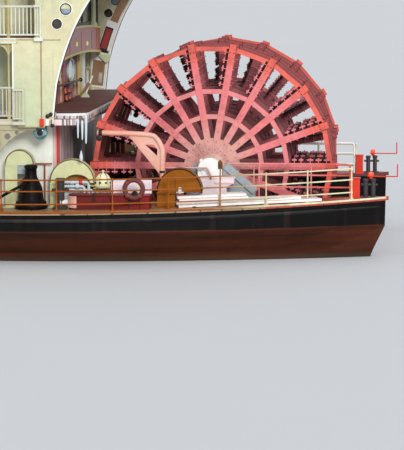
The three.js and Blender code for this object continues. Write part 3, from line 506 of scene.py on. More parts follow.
# %% Planks: seams, a tone for each plank and the grain along it
def plank_group():
    """Across the planks, cell = floor(y / width) numbers each plank and the rest of the sum finds its
    seams. Each plank's number shifts its butt joints, and white noise of plank and length gives its
    tone."""
    sockets = [("Place", "Vector"), ("Width", "Float"), ("Length", "Float")]
    puts = [("Seam", "Float"), ("Tone", "Float"), ("Grain", "Float"), ("Height", "Float")]
    tree, given, out = new_group("planks", sockets, puts)
    split = along_axes(tree, given["Place"])
    across = math_node(tree, "DIVIDE", split["Y"], given["Width"])
    plank = math_node(tree, "FLOOR", across)
    inside = math_node(tree, "FRACT", across)
    slip = math_node(tree, "FRACT", times(tree, plank, 0.377))
    along = plus(tree, math_node(tree, "DIVIDE", split["X"], given["Length"]), slip)
    board = math_node(tree, "FLOOR", along)
    end = math_node(tree, "ABSOLUTE", minus(tree, math_node(tree, "FRACT", along), 0.5))
    edge = math_node(tree, "ABSOLUTE", minus(tree, inside, 0.5))
    seam = math_node(tree, "MAXIMUM", ramp(tree, edge, 0.44, 0.485), ramp(tree, end, 0.4955, 0.499))
    number = node(tree, "ShaderNodeCombineXYZ", {"X": plank, "Y": board}).outputs[0]
    tone = node(tree, "ShaderNodeTexWhiteNoise", {"Vector": number}, noise_dimensions="2D").outputs["Value"]
    drawn = stretched(tree, given["Place"], (1.2, 26, 26))
    grain = noise(tree, node(tree, "ShaderNodeVectorMath", {0: drawn, 1: number}).outputs[0], 2.2, 6.0,
        0.62)
    height = minus(tree, times(tree, grain, 0.25), seam)
    for label, value in (("Seam", seam), ("Tone", tone), ("Grain", grain), ("Height", height)):
        tree.links.new(value, out.inputs[label])
    return tree


# %% Chips: where paint has flaked, with a soft rim
def chip_group():
    """Mask = 1 where two noises, one broad and one fine, together pass the level that the amount sets."""
    sockets = [("Place", "Vector"), ("Size", "Float"), ("Amount", "Float")]
    tree, given, out = new_group("chips", sockets, [("Mask", "Float"), ("Height", "Float")])
    broad = noise(tree, given["Place"], given["Size"], 3.0, 0.6)
    fine = noise(tree, stretched(tree, given["Place"], (1, 1, 1), (3.7, 1.9, 5.3)), 38.0, 5.0, 0.7)
    level = plus(tree, times(tree, broad, 0.6), times(tree, fine, 0.4))
    start = minus(tree, 0.72, times(tree, given["Amount"], 0.25))
    mask = ramp(tree, level, start, plus(tree, start, 0.025))
    tree.links.new(mask, out.inputs["Mask"])
    tree.links.new(times(tree, mask, -1.0), out.inputs["Height"])
    return tree


WEATHER, PLANKS, CHIPS = weather_group(), plank_group(), chip_group()
print("shared effects:", [group.name for group in (WEATHER, PLANKS, CHIPS)])


def weathered(tree, place, paint, dirt, clouds, streaks, size):
    """The weather group over a paint."""
    values = {"Place": place, "Paint": paint, "Dirt": dirt, "Clouds": clouds, "Streaks": streaks,
        "Size": size}
    return place_group(tree, WEATHER, values)


def chipped_off(tree, place, size, amount):
    """The chip group, about size clouds of chips a metre."""
    values = {"Place": place, "Size": size, "Amount": amount}
    return place_group(tree, CHIPS, values)


def planked(tree, place, width, length):
    """The plank group, with planks of that width and length."""
    values = {"Place": place, "Width": width, "Length": length}
    return place_group(tree, PLANKS, values)


# %% [markdown]
# ## Paints
#
# Most of the boat is painted iron or painted boards, so one recipe makes them: weather over the paint's
# colour, chips that show what is under it, and a bump from both. A table gives each paint its own values.
# Colours are linear, so they look darker in numbers than on the boat.

# %% The recipe for a painted surface
def start_material(name):
    """A new node material: its tree, its shader and the place on the boat."""
    material = bpy.data.materials.new(name)
    material.use_nodes = True
    tree = material.node_tree
    shader = tree.nodes["Principled BSDF"]
    place = tree.nodes.new("ShaderNodeTexCoord").outputs["Object"]
    return material, tree, shader, place


def finish_with(tree, shader, colour, rough, height, strength, distance=0.01, shine=0.5):
    """Links a colour, a roughness and a height to the shader. shine is how much of the pale sky the surface
    gives back, and a half is the shader's own."""
    tree.links.new(colour, shader.inputs["Base Color"])
    tree.links.new(rough, shader.inputs["Roughness"])
    inputs = {"Height": height, "Strength": strength, "Distance": distance}
    bump = node(tree, "ShaderNodeBump", inputs)
    tree.links.new(bump.outputs["Normal"], shader.inputs["Normal"])
    shader.inputs["Specular IOR Level"].default_value = shine


def span(tree, value, low, high):
    """A number from low to high as value goes from 0 to 1."""
    return node(tree, "ShaderNodeMapRange",
        {"Value": value, "To Min": low, "To Max": high}).outputs["Result"]


def painted(name, paint, second, dirt, under, clouds, streaks, chips, rough, metal=0.0, shine=0.25):
    """Paint with weather and chips. second is a second tint that the paint drifts to in broad clouds."""
    material, tree, shader, place = start_material(name)
    base = paint
    if second:
        drift = ramp(tree, noise(tree, place, 0.45, 2.0), 0.4, 0.62)
        base = mix_colour(tree, drift, paint, second)
    weather = weathered(tree, place, base, dirt, clouds, streaks, 0.8)
    chipped = chipped_off(tree, place, 3.0, chips)
    colour = mix_colour(tree, chipped["Mask"], weather["Colour"], under)
    dull = math_node(tree, "MAXIMUM", weather["Dull"], chipped["Mask"])
    height = plus(tree, weather["Height"], times(tree, chipped["Height"], 0.4))
    finish_with(tree, shader, colour, span(tree, dull, rough, min(1.0, rough + 0.3)), height, 0.25,
        shine=shine)
    shader.inputs["Metallic"].default_value = metal
    return material


# %% The paints
# A row has the plain colour that the solids wear there, then the paint, its second tint, the dirt and what
# a chip shows. Then come the shares of clouds, streaks and chips, the roughness, and any metal and shine.
PAINTS = {
    "cream_house_paint": ("cream_paint", (0.7, 0.66, 0.42), (0.55, 0.6, 0.39), (0.4, 0.33, 0.17),
        (0.45, 0.4, 0.28), 0.22, 0.42, 0.04, 0.42),
    "white_house_paint": ("white_paint", (0.86, 0.86, 0.8), (0.8, 0.82, 0.72), (0.42, 0.36, 0.25),
        (0.5, 0.47, 0.4), 0.18, 0.35, 0.05, 0.4),
    "trim_white": ("white_paint", (0.9, 0.9, 0.88), None, (0.45, 0.42, 0.36), (0.4, 0.36, 0.3),
        0.12, 0.22, 0.05, 0.35),
    "trim_yellow": ("cream_paint", (0.66, 0.55, 0.16), None, (0.25, 0.17, 0.06), (0.3, 0.24, 0.1),
        0.3, 0.3, 0.1, 0.4),
    "bulkhead_rose": ("door_red", (0.46, 0.15, 0.13), (0.42, 0.21, 0.2), (0.2, 0.07, 0.07),
        (0.5, 0.35, 0.3), 0.35, 0.75, 0.06, 0.45),
    "wheel_shaft_red": ("wheel_red", (0.42, 0.07, 0.05), None, (0.1, 0.03, 0.02), (0.05, 0.03, 0.02),
        0.6, 0.3, 0.35, 0.4, 0.2),
    "locker_oxide_red": ("rust_red", (0.3, 0.016, 0.01), (0.15, 0.018, 0.018), (0.07, 0.02, 0.02),
        (0.35, 0.16, 0.1), 0.5, 0.55, 0.22, 0.45, 0.0, 0.12),
    "ventilator_brown": ("brown_paint", (0.32, 0.1, 0.006), (0.27, 0.085, 0.005), (0.08, 0.035, 0.01),
        (0.4, 0.3, 0.16), 0.3, 0.4, 0.1, 0.42, 0.0, 0.12),
    "ventilator_cream": ("cream_paint", (0.72, 0.68, 0.36), (0.62, 0.64, 0.36), (0.33, 0.26, 0.12),
        (0.4, 0.32, 0.2), 0.25, 0.35, 0.08, 0.38),
    "davit_peach": ("davit_paint", (0.8, 0.36, 0.25), (0.82, 0.46, 0.36), (0.34, 0.12, 0.08),
        (0.3, 0.1, 0.06), 0.25, 0.3, 0.14, 0.4),
    "bearing_white": ("white_paint", (0.9, 0.86, 0.86), (0.88, 0.68, 0.7), (0.42, 0.22, 0.22),
        (0.2, 0.12, 0.1), 0.2, 0.3, 0.12, 0.35),
    "bearing_blue_grey": ("grey_iron", (0.28, 0.36, 0.4), (0.36, 0.42, 0.44), (0.1, 0.1, 0.1),
        (0.2, 0.08, 0.05), 0.35, 0.4, 0.2, 0.42),
    "capstan_black": ("black_iron", (0.005, 0.004, 0.003), None, (0.025, 0.012, 0.006), (0.06, 0.022, 0.01),
        0.3, 0.3, 0.16, 0.46, 0.0, 0.1),
    "bitt_grey": ("grey_iron", (0.055, 0.05, 0.055), None, (0.1, 0.06, 0.04), (0.12, 0.05, 0.03),
        0.4, 0.5, 0.3, 0.45, 0.3),
    "chimney_black": ("black_iron", (0.02, 0.018, 0.017), None, (0.07, 0.055, 0.045), (0.12, 0.05, 0.03),
        0.45, 0.8, 0.15, 0.5, 0.1, 0.15),
    "rudder_black": ("hull_black", (0.02, 0.018, 0.016), None, (0.06, 0.05, 0.03), (0.16, 0.06, 0.03),
        0.6, 0.4, 0.4, 0.6, 0.1),
    "engine_grey": ("grey_iron", (0.16, 0.17, 0.18), None, (0.05, 0.04, 0.03), (0.2, 0.1, 0.06),
        0.6, 0.5, 0.2, 0.5, 0.4),
    "pipe_blue_white": ("white_paint", (0.62, 0.7, 0.72), None, (0.25, 0.26, 0.24), (0.2, 0.12, 0.08),
        0.35, 0.3, 0.15, 0.35),
    "door_red_paint": ("door_red", (0.36, 0.055, 0.045), None, (0.12, 0.03, 0.02), (0.4, 0.25, 0.15),
        0.4, 0.5, 0.12, 0.38),
    "signal_red": ("wheel_red", (0.72, 0.045, 0.02), None, (0.25, 0.03, 0.02), (0.3, 0.1, 0.06),
        0.3, 0.3, 0.14, 0.35),
    "edge_band_white": ("white_paint", (0.95, 0.95, 0.93), None, (0.6, 0.58, 0.5), (0.45, 0.4, 0.32),
        0.1, 0.15, 0.04, 0.3),
    "tan_trim": ("brown_paint", (0.36, 0.23, 0.13), (0.3, 0.17, 0.09), (0.12, 0.07, 0.04), (0.5, 0.4, 0.3),
        0.4, 0.5, 0.12, 0.42),
    "batten_brown": ("brown_paint", (0.34, 0.24, 0.11), None, (0.16, 0.1, 0.05), (0.5, 0.45, 0.3),
        0.4, 0.4, 0.1, 0.5),
    "lamp_teal_paint": ("grey_iron", (0.13, 0.26, 0.28), None, (0.05, 0.07, 0.07), (0.15, 0.1, 0.07),
        0.4, 0.3, 0.15, 0.35, 0.3),
    "ladder_orange": ("rail_paint", (0.72, 0.16, 0.08), None, (0.3, 0.08, 0.05), (0.3, 0.15, 0.1),
        0.3, 0.3, 0.15, 0.42),
    "board_pale_pink": ("cream_paint", (0.74, 0.56, 0.55), None, (0.35, 0.2, 0.2), (0.4, 0.3, 0.3),
        0.35, 0.7, 0.08, 0.45),
    "board_grey_mauve": ("cream_paint", (0.36, 0.3, 0.31), None, (0.15, 0.1, 0.11), (0.5, 0.4, 0.4),
        0.4, 0.8, 0.08, 0.45),
    "board_brown": ("cream_paint", (0.24, 0.17, 0.14), None, (0.1, 0.06, 0.06), (0.45, 0.35, 0.3),
        0.4, 0.8, 0.08, 0.5),
    "board_pale_grey": ("white_paint", (0.58, 0.54, 0.54), None, (0.28, 0.2, 0.2), (0.4, 0.3, 0.3),
        0.4, 0.8, 0.08, 0.45),
    "board_mauve_dark": ("brown_paint", (0.13, 0.085, 0.095), (0.18, 0.12, 0.12), (0.06, 0.04, 0.04),
        (0.3, 0.2, 0.2), 0.4, 0.5, 0.08, 0.42),
    "column_ochre": ("white_paint", (0.46, 0.38, 0.15), (0.52, 0.46, 0.24), (0.2, 0.14, 0.06),
        (0.6, 0.55, 0.4), 0.3, 0.4, 0.08, 0.4),
    "gallery_pale": ("white_paint", (0.78, 0.8, 0.7), (0.6, 0.58, 0.46), (0.35, 0.3, 0.2),
        (0.4, 0.35, 0.25), 0.25, 0.3, 0.08, 0.4),
    "lifebuoy_brown_red": ("brown_paint", (0.16, 0.03, 0.024), (0.12, 0.035, 0.03), (0.06, 0.02, 0.02),
        (0.35, 0.2, 0.15), 0.4, 0.3, 0.1, 0.5),
    "lifebuoy_band_red": ("rust_red", (0.22, 0.05, 0.035), None, (0.08, 0.03, 0.02), (0.35, 0.2, 0.15),
        0.4, 0.3, 0.1, 0.6),
    "dome_pale_yellow": ("cream_paint", (0.8, 0.75, 0.4), (0.84, 0.82, 0.62), (0.35, 0.28, 0.12),
        (0.3, 0.22, 0.1), 0.25, 0.3, 0.12, 0.3),
    # The hood lining's tan is lighter than the hoods' own brown: painted light for the inside of the mouth,
    # which lies in shade.
    "hood_lining_lit_tan": ("brown_paint", (0.55, 0.27, 0.05), (0.36, 0.19, 0.04), (0.15, 0.08, 0.02),
        (0.4, 0.3, 0.16), 0.3, 0.4, 0.1, 0.4),
    "shutter_green": ("brown_paint", (0.045, 0.085, 0.055), (0.06, 0.1, 0.065), (0.03, 0.035, 0.02),
        (0.4, 0.36, 0.25), 0.3, 0.5, 0.14, 0.4),
    "bell_brass": ("brown_paint", (0.5, 0.34, 0.1), None, (0.16, 0.11, 0.04), (0.12, 0.16, 0.1),
        0.45, 0.4, 0.15, 0.28, 0.9),
    "plank_pale_rose": ("white_paint", (0.9, 0.78, 0.74), (0.92, 0.88, 0.84), (0.5, 0.28, 0.22),
        (0.45, 0.3, 0.22), 0.25, 0.2, 0.15, 0.5),
    "roof_grey": ("white_paint", (0.33, 0.32, 0.29), (0.27, 0.27, 0.25), (0.12, 0.11, 0.09),
        (0.4, 0.36, 0.3), 0.6, 0.1, 0.1, 0.75),
    "fitting_iron": ("black_iron", (0.035, 0.032, 0.03), None, (0.09, 0.045, 0.025), (0.15, 0.06, 0.03),
        0.4, 0.3, 0.2, 0.42, 0.5),
}
FINISH = {name: painted(name, *row[1:]) for name, row in PAINTS.items()}
SLOT = {name: row[0] for name, row in PAINTS.items()}
print("paints:", len(FINISH))

# %% [markdown]
# ## Finishes that follow the boat's own lines
#
# Some surfaces need more than the recipe. The hull is black above the water and oxide red at the boot-top,
# with plate seams, and turns lighter and greyer just above the water as a painted reflection. The wheel's
# arms go from pale salmon at the hub to orange-red at the tips, and darken inside the wheel as painted
# shade. Its boards are near-black wood whose darkness is partly painted shade. The deck is planked forward
# and painted red over the stern.

# %% Hull: black topsides, boot-top and plate seams
BOOT_TOP_Z = 0.56


def hull_material():
    """Boot-top below its line, black above, both weathered, and turned lighter and greyer just above the
    water as a painted reflection of the water's light. Seams are where x or z comes near a multiple of the
    plate's length or depth."""
    material, tree, shader, place = start_material("hull_black_and_boot_top")
    split = along_axes(tree, place)
    wobble = times(tree, noise(tree, place, 1.7, 3.0), 0.05)
    level = plus(tree, split["Z"], wobble)
    above = ramp(tree, level, BOOT_TOP_Z + 0.02, BOOT_TOP_Z + 0.035)
    fading = ramp(tree, noise(tree, stretched(tree, place, (0.3, 1, 5)), 1.0, 4.0), 0.35, 0.7)
    red = mix_colour(tree, fading, (0.075, 0.017, 0.006), (0.03, 0.009, 0.005))
    paint = mix_colour(tree, above, red, (0.0022, 0.0018, 0.0018))
    weather = weathered(tree, place, paint, (0.04, 0.024, 0.016), 0.15, 0.25, 0.5)
    # Painted reflection: over the last 16 cm above the water the colour turns lighter and greyer, as if lit
    # from the water.
    waterline_reflection = minus(tree, 1.0, ramp(tree, level, 0.03, 0.16))
    colour = mix_colour(tree, times(tree, waterline_reflection, 0.55), weather["Colour"], (0.05, 0.045, 0.03))
    seams = []
    for axis, pitch, width in (("X", 2.4, 0.0035), ("Z", 0.48, 0.02)):
        part = math_node(tree, "FRACT", math_node(tree, "DIVIDE", split[axis], pitch))
        gap = math_node(tree, "ABSOLUTE", minus(tree, part, 0.5))
        seams.append(ramp(tree, gap, 0.5 - 2 * width, 0.5 - width))
    seam = math_node(tree, "MAXIMUM", *seams)
    height = minus(tree, weather["Height"], seam)
    finish_with(tree, shader, colour, span(tree, weather["Dull"], 0.42, 0.65), height, 0.3, 0.02,
        shine=0.12)
    return material


# %% Wheel: painted arms with painted shade inside the wheel, and boards of near-black wood, partly painted shade, with worn paint
def from_axle(tree, place):
    """How far a point is from the axle, in the wheel's own plane."""
    split = along_axes(tree, place)
    x = minus(tree, split["X"], AXLE_X)
    z = minus(tree, split["Z"], AXLE_Z)
    squares = plus(tree, times(tree, x, x), times(tree, z, z))
    return math_node(tree, "SQRT", squares), split["Y"]


def wheel_material(name, hub, arm, tip, shade, chips):
    """Hub colour to arm colour to tip colour by distance from the axle. Each is darkened away from the
    wheel's port and starboard faces as painted shade inside the wheel, then weather and chips are added."""
    material, tree, shader, place = start_material(name)
    radius, y = from_axle(tree, place)
    uneven = plus(tree, radius, times(tree, noise(tree, place, 1.4, 3.0), 0.5))
    colour = mix_colour(tree, ramp(tree, uneven, 0.5, 1.3), hub, arm)
    colour = mix_colour(tree, ramp(tree, uneven, 1.85, 2.35), colour, tip)
    # Painted shade: towards the wheel's middle, away from its faces, the colour turns to a dark rose by the
    # shade share, as shade falls inside the wheel.
    depth = minus(tree, 1.0, ramp(tree, math_node(tree, "ABSOLUTE", y), 1.1, 1.95))
    colour = mix_colour(tree, times(tree, depth, shade), colour, (0.17, 0.05, 0.062))
    weather = weathered(tree, place, colour, (0.2, 0.04, 0.05), 0.4, 0.2, 2.2)
    chipped = chipped_off(tree, place, 6.0, chips)
    base = mix_colour(tree, chipped["Mask"], weather["Colour"], (0.11, 0.035, 0.03))
    dull = math_node(tree, "MAXIMUM", weather["Dull"], chipped["Mask"])
    height = plus(tree, weather["Height"], times(tree, chipped["Height"], 0.5))
    finish_with(tree, shader, base, span(tree, dull, 0.36, 0.7), height, 0.3, shine=0.2)
    return material


def board_material():
    """Wood with grain along the wheel's breadth, wet and painted near black as shade inside the wheel; rose
    paint is left where the chip mask is low.
    """
    material, tree, shader, place = start_material("paddle_board_wet_wood")
    drawn = stretched(tree, place, (24, 0.9, 24))
    grain = noise(tree, drawn, 2.0, 6.0, 0.65)
    # Painted shade: the wood is near black, darker than wet wood alone, standing in for the shade inside
    # the wheel.
    wood = mix_colour(tree, ramp(tree, grain, 0.3, 0.7), (0.006, 0.003, 0.003), (0.03, 0.011, 0.012))
    chipped = chipped_off(tree, place, 2.2, 1.05)
    left = minus(tree, 1.0, chipped["Mask"])
    colour = mix_colour(tree, times(tree, left, 0.14), wood, (0.42, 0.085, 0.1))
    height = plus(tree, grain, times(tree, left, 0.3))
    finish_with(tree, shader, colour, span(tree, left, 0.36, 0.5), height, 0.4, shine=0.12)
    return material


# %% Decks: planks forward, red paint over the stern
RED_DECK_X = AXLE_X + 0.95


def deck_material():
    """Planks across the deck's breadth of tan and brown tones, under red paint aft of its line."""
    material, tree, shader, place = start_material("main_deck_planks_and_red")
    planks = planked(tree, place, 0.1, 2.6)
    wood = mix_colour(tree, planks["Tone"], (0.34, 0.225, 0.12), (0.5, 0.36, 0.22))
    wood = mix_colour(tree, times(tree, planks["Grain"], 0.5), wood, (0.2, 0.11, 0.055))
    x = along_axes(tree, place)["X"]
    uneven = plus(tree, x, times(tree, noise(tree, place, 2.5, 4.0), 0.5))
    red = ramp(tree, uneven, RED_DECK_X + 0.2, RED_DECK_X + 0.4)
    paint = mix_colour(tree, noise(tree, place, 1.5, 5.0), (0.62, 0.045, 0.025), (0.4, 0.05, 0.035))
    colour = mix_colour(tree, red, wood, paint)
    colour = mix_colour(tree, times(tree, planks["Seam"], 0.8), colour, (0.03, 0.02, 0.015))
    weather = weathered(tree, place, colour, (0.12, 0.07, 0.045), 0.4, 0.0, 0.9)
    height = plus(tree, planks["Height"], times(tree, weather["Height"], 0.3))
    finish_with(tree, shader, weather["Colour"], span(tree, weather["Dull"], 0.42, 0.8), height, 0.5)
    return material


# %% Slabs: cream edges and undersides, oxide planks where people walk
EDGE_STEP = 0.002
SIDE_BOARDS, END_BOARDS = 32, 11
LIP_Z, SHADOW_LINE_Z = 2.487, 2.528


def slab_material(name, top, edge, red_panel_x=None, striped_x=None):
    """The top colour where the surface faces up, and the edge colour elsewhere. red_panel_x marks the panel
    across the slab's after end, which is rose. Aft of striped_x the edges are boarded in pale and dark, so
    many boards a metre on the sides and on the end, under a white lip with a shadow line above it."""
    material, tree, shader, place = start_material(name)
    facing = along_axes(tree, tree.nodes.new("ShaderNodeNewGeometry").outputs["Normal"])
    flat = ramp(tree, facing["Z"], 0.75, 0.9)
    planks = planked(tree, place, 0.075, 2.0)
    wood = mix_colour(tree, times(tree, planks["Tone"], 0.6), top, (0.22, 0.1, 0.08))
    wood = mix_colour(tree, times(tree, planks["Seam"], 0.8), wood, (0.03, 0.015, 0.01))
    side = edge
    if red_panel_x is not None:
        at = along_axes(tree, place)
        band = ramp(tree, noise(tree, stretched(tree, place, (5, 5, 0.3)), 1.0, 3.0), 0.42, 0.62)
        rose = mix_colour(tree, band, (0.5, 0.13, 0.115), (0.4, 0.21, 0.2))
        panel = ramp(tree, at["X"], red_panel_x - EDGE_STEP, red_panel_x)
        panel = times(tree, panel, ramp(tree, at["Z"], 3.0, 3.1))
        side = mix_colour(tree, panel, edge, rose)
    if striped_x is not None:
        split = along_axes(tree, place)
        run = [times(tree, split[way], times(tree, math_node(tree, "ABSOLUTE", facing[wall]), boards))
               for way, wall, boards in (("X", "Y", SIDE_BOARDS), ("Y", "X", END_BOARDS))]
        run = math_node(tree, "ADD", *run)
        number = node(tree, "ShaderNodeCombineXYZ", {"X": math_node(tree, "FLOOR", run)}).outputs[0]
        tone = node(tree, "ShaderNodeTexWhiteNoise", {"Vector": number},
            noise_dimensions="3D").outputs["Value"]
        stripe = mix_colour(tree, ramp(tree, tone, 0.35, 0.65), (0.2, 0.14, 0.14), (0.8, 0.68, 0.67))
        lip = ramp(tree, split["Z"], LIP_Z, LIP_Z + 0.005)
        stripe = mix_colour(tree, lip, stripe, (0.92, 0.92, 0.9))
        shadow_line = ramp(tree, split["Z"], SHADOW_LINE_Z, SHADOW_LINE_Z + 0.004)
        stripe = mix_colour(tree, shadow_line, stripe, (0.045, 0.018, 0.018))
        side = mix_colour(tree, ramp(tree, split["X"], striped_x - EDGE_STEP, striped_x), side, stripe)
    weather = weathered(tree, place, side, (0.38, 0.31, 0.18), 0.25, 0.3, 0.9)
    colour = mix_colour(tree, flat, weather["Colour"], wood)
    height = plus(tree, times(tree, planks["Height"], flat), weather["Height"])
    finish_with(tree, shader, colour, span(tree, flat, 0.42, 0.65), height, 0.3)
    return material


# %% Rails: orange-brown forward, pale yellow over the stern
def rail_material():
    """The rails' colour runs from rust orange forward of the wheel to pale yellow-white aft of it."""
    material, tree, shader, place = start_material("rail_rust_to_pale")
    x = along_axes(tree, place)["X"]
    aft = ramp(tree, x, AXLE_X - 0.2, AXLE_X + 1.6)
    fore_tone = mix_colour(tree, noise(tree, place, 3.0, 4.0), (0.23, 0.052, 0.005), (0.42, 0.115, 0.008))
    paint = mix_colour(tree, aft, fore_tone, (0.78, 0.72, 0.46))
    weather = weathered(tree, place, paint, (0.12, 0.05, 0.03), 0.4, 0.3, 3.0)
    chipped = chipped_off(tree, place, 9.0, 0.2)
    colour = mix_colour(tree, chipped["Mask"], weather["Colour"], (0.16, 0.05, 0.03))
    finish_with(tree, shader, colour, span(tree, weather["Dull"], 0.32, 0.6), weather["Height"], 0.25,
        shine=0.15)
    return material


KNEE_X = 10.515


def post_material():
    """The guard posts are cream, and the big knee at their after end is tan."""
    material, tree, shader, place = start_material("guard_posts_cream_and_tan")
    split = along_axes(tree, place)
    knee = ramp(tree, split["X"], KNEE_X, KNEE_X + 0.01)
    tan = mix_colour(tree, noise(tree, place, 2.2, 4.0), (0.4, 0.34, 0.2), (0.5, 0.45, 0.29))
    paint = mix_colour(tree, knee, (0.7, 0.66, 0.42), tan)
    weather = weathered(tree, place, paint, (0.24, 0.17, 0.09), 0.3, 0.45, 1.2)
    chipped = chipped_off(tree, place, 4.0, 0.12)
    colour = mix_colour(tree, chipped["Mask"], weather["Colour"], (0.3, 0.24, 0.15))
    height = plus(tree, weather["Height"], times(tree, chipped["Height"], 0.4))
    finish_with(tree, shader, colour, span(tree, weather["Dull"], 0.42, 0.7), height, 0.25)
    return material


# %% Glass and lamps
def glass_material(name, deep, pale, level):
    """A pane seen against dark rooms: a deep tint painted in place of the rooms' shade, with paler clouds
    as a painted reflection of the sky."""
    material, tree, shader, place = start_material(name)
    # Painted reflection: the sky mask lays paler clouds of reflected sky over the deep tint, which is
    # painted shade of the rooms behind.
    sky = ramp(tree, noise(tree, stretched(tree, place, (1.2, 1.2, 2.6)), 1.6, 3.0), level - 0.1,
        level + 0.12)
    smear = noise(tree, place, 22.0, 4.0)
    colour = mix_colour(tree, sky, deep, pale)
    finish_with(tree, shader, colour, span(tree, smear, 0.08, 0.2), smear, 0.02, shine=0.7)
    shader.inputs["Coat Weight"].default_value = 0.5
    return material


def lit_material(name, glow, rim, strength):
    """Frosted lamp glass: a glow that is stronger in its clouds."""
    material, tree, shader, place = start_material(name)
    cloud = noise(tree, place, 18.0, 3.0)
    colour = mix_colour(tree, ramp(tree, cloud, 0.35, 0.65), rim, glow)
    finish_with(tree, shader, colour, span(tree, cloud, 0.15, 0.35), cloud, 0.05)
    tree.links.new(colour, shader.inputs["Emission Color"])
    shader.inputs["Emission Strength"].default_value = strength
    return material


WHEEL_PAINTS = {
    # name: hub, arm and tip colours, the shade away from the faces, the chips
    "wheel_arm_paint": ((0.72, 0.38, 0.33), (0.8, 0.22, 0.225), (0.82, 0.11, 0.06), 0.75, 0.22),
    "wheel_ring_paint": ((0.64, 0.4, 0.33), (0.8, 0.25, 0.25), (0.8, 0.14, 0.1), 0.75, 0.3),
    "wheel_cleat_paint": ((0.5, 0.2, 0.2), (0.78, 0.24, 0.27), (0.8, 0.19, 0.17), 0.25, 0.35),
}
GLASSES = {
    # name: the slot, the deep tint, the pale tint of the painted sky reflection and the level where one
    # turns into the other
    "cabin_window_glass": ("grey_iron", (0.02, 0.028, 0.03), (0.18, 0.22, 0.22), 0.55),
    "porthole_blue_glass": ("grey_iron", (0.12, 0.17, 0.21), (0.3, 0.37, 0.42), 0.5),
    "porthole_brown_glass": ("brown_paint", (0.03, 0.018, 0.006), (0.11, 0.065, 0.018), 0.5),
    "lamp_teal_glass": ("grey_iron", (0.05, 0.13, 0.14), (0.25, 0.42, 0.44), 0.5),
    "oval_pale_glass": ("white_paint", (0.52, 0.6, 0.55), (0.74, 0.8, 0.74), 0.5),
    "windbreak_green_glass": ("black_iron", (0.03, 0.042, 0.036), (0.13, 0.165, 0.145), 0.5),
}
own = [hull_material(), *[wheel_material(name, *row) for name, row in WHEEL_PAINTS.items()]]
own += [board_material(), deck_material(), rail_material(), post_material()]
own += [glass_material(name, *row[1:]) for name, row in GLASSES.items()]
own.append(lit_material("yellow_lamp_glass", (0.85, 0.8, 0.25), (0.62, 0.58, 0.2), 0.25))
own.append(lit_material("red_lamp_glass", (0.95, 0.1, 0.04), (0.6, 0.03, 0.02), 0.5))
FINISH.update({material.name: material for material in own})
SLOT.update({name: row[0] for name, row in GLASSES.items()})
SLOT.update(dict.fromkeys([*WHEEL_PAINTS, "paddle_board_wet_wood", "red_lamp_glass"], "wheel_red"))
SLOT.update({"rail_rust_to_pale": "rail_paint", "yellow_lamp_glass": "cream_paint"})
print("materials:", len(bpy.data.materials))

# %% [markdown]
# ## Dressing the solids that keep their own shape
#
# Decks, walls, the derrick and the stage are right as they are, so they only change clothes.

# %% Three slabs of their own
FASCIA_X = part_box("cabin_deck")[1].x
PANEL_DEPTH, STRIPED_X = 0.065, 11.63
CREAM_EDGE = (0.66, 0.62, 0.42)
slabs = (
    slab_material("boiler_deck_oxide_and_cream", (0.1, 0.022, 0.02), CREAM_EDGE, striped_x=STRIPED_X),
    slab_material("cabin_deck_with_rose_panel", (0.13, 0.03, 0.025), CREAM_EDGE, FASCIA_X - PANEL_DEPTH),
    slab_material("roof_grey_and_cream", (0.3, 0.29, 0.26), (0.7, 0.68, 0.5)),
)
FINISH.update({slab.name: slab for slab in slabs})

# %% A finish for each solid that stays
WORN_BY = {
    "hull_black_and_boot_top": ["hull"],
    "main_deck_planks_and_red": ["main_deck"],
    "white_house_paint": ["main_house", "derrick", "landing_stage", "fore_stair"],
    "cream_house_paint": ["boiler_house", "cabin_house", "texas_house", "pilothouse", "screen*"],
    "boiler_deck_oxide_and_cream": ["boiler_deck"],
    "cabin_deck_with_rose_panel": ["cabin_deck"],
    "roof_grey_and_cream": ["hurricane_deck", "texas_roof", "pilothouse_roof"],
    "trim_white": ["boiler_gallery*", "cabin_gallery*", "hurricane_rail"],
    "guard_posts_cream_and_tan": ["guard_posts*"],
    "chimney_black": ["chimney*", "chimney_brace"],
    "bearing_white": ["bearing*"],
    "wheel_shaft_red": ["wheel_shaft"],
    "rudder_black": ["rudder*"],
    "capstan_black": ["capstan*", "capstan_fore"],
    "davit_peach": ["davit*"],
    "ventilator_cream": ["vent_small*", "vent_large*"],
    "ventilator_brown": ["vent_brown_port"],
    "bitt_grey": ["bitts_aft*", "bitts_fore"],
    "locker_oxide_red": ["locker*"],
    "door_red_paint": ["aft_door*", "pilothouse_door*"],
    "engine_grey": ["engine_block"],
    "rail_rust_to_pale": ["main_rail*"],
    "wheel_ring_paint": ["well_rail*", "wheel_frame*", "wheel_paddles*"],
}


def dress(name, material):
    """Gives the solid a material in place of the one it came with."""
    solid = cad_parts[name]
    if not solid.material_slots:
        solid.data.materials.append(material)
    for slot in solid.material_slots:
        slot.material = material


def named(solid):
    """The name itself, or for one with a star the names of the port solid and the starboard one."""
    return [solid.replace("*", f"_{side}") for side in ("port", "starboard")] if "*" in solid else [solid]


for finish, solids in WORN_BY.items():
    for solid in solids:
        for name in named(solid):
            dress(name, FINISH[finish])
print("dressed:", sum(1 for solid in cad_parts.values() if solid.material_slots))

# %% [markdown]
# ## The paddle wheel
#
# A stern wheel is a shaft with a row of frames: each has eighteen timber arms in an iron flange, tied by
# three polygons of flat bar. Boards lie on one side of the arms, held by cleats and bolts. The halves are
# staggered by half a pitch, so that one board after the other enters the water. Modelling one arm and
# turning copies of it by matrices is exact and quick. Each arm is drawn in its own frame: x out along the
# arm, y along the shaft, z the way the angle grows.

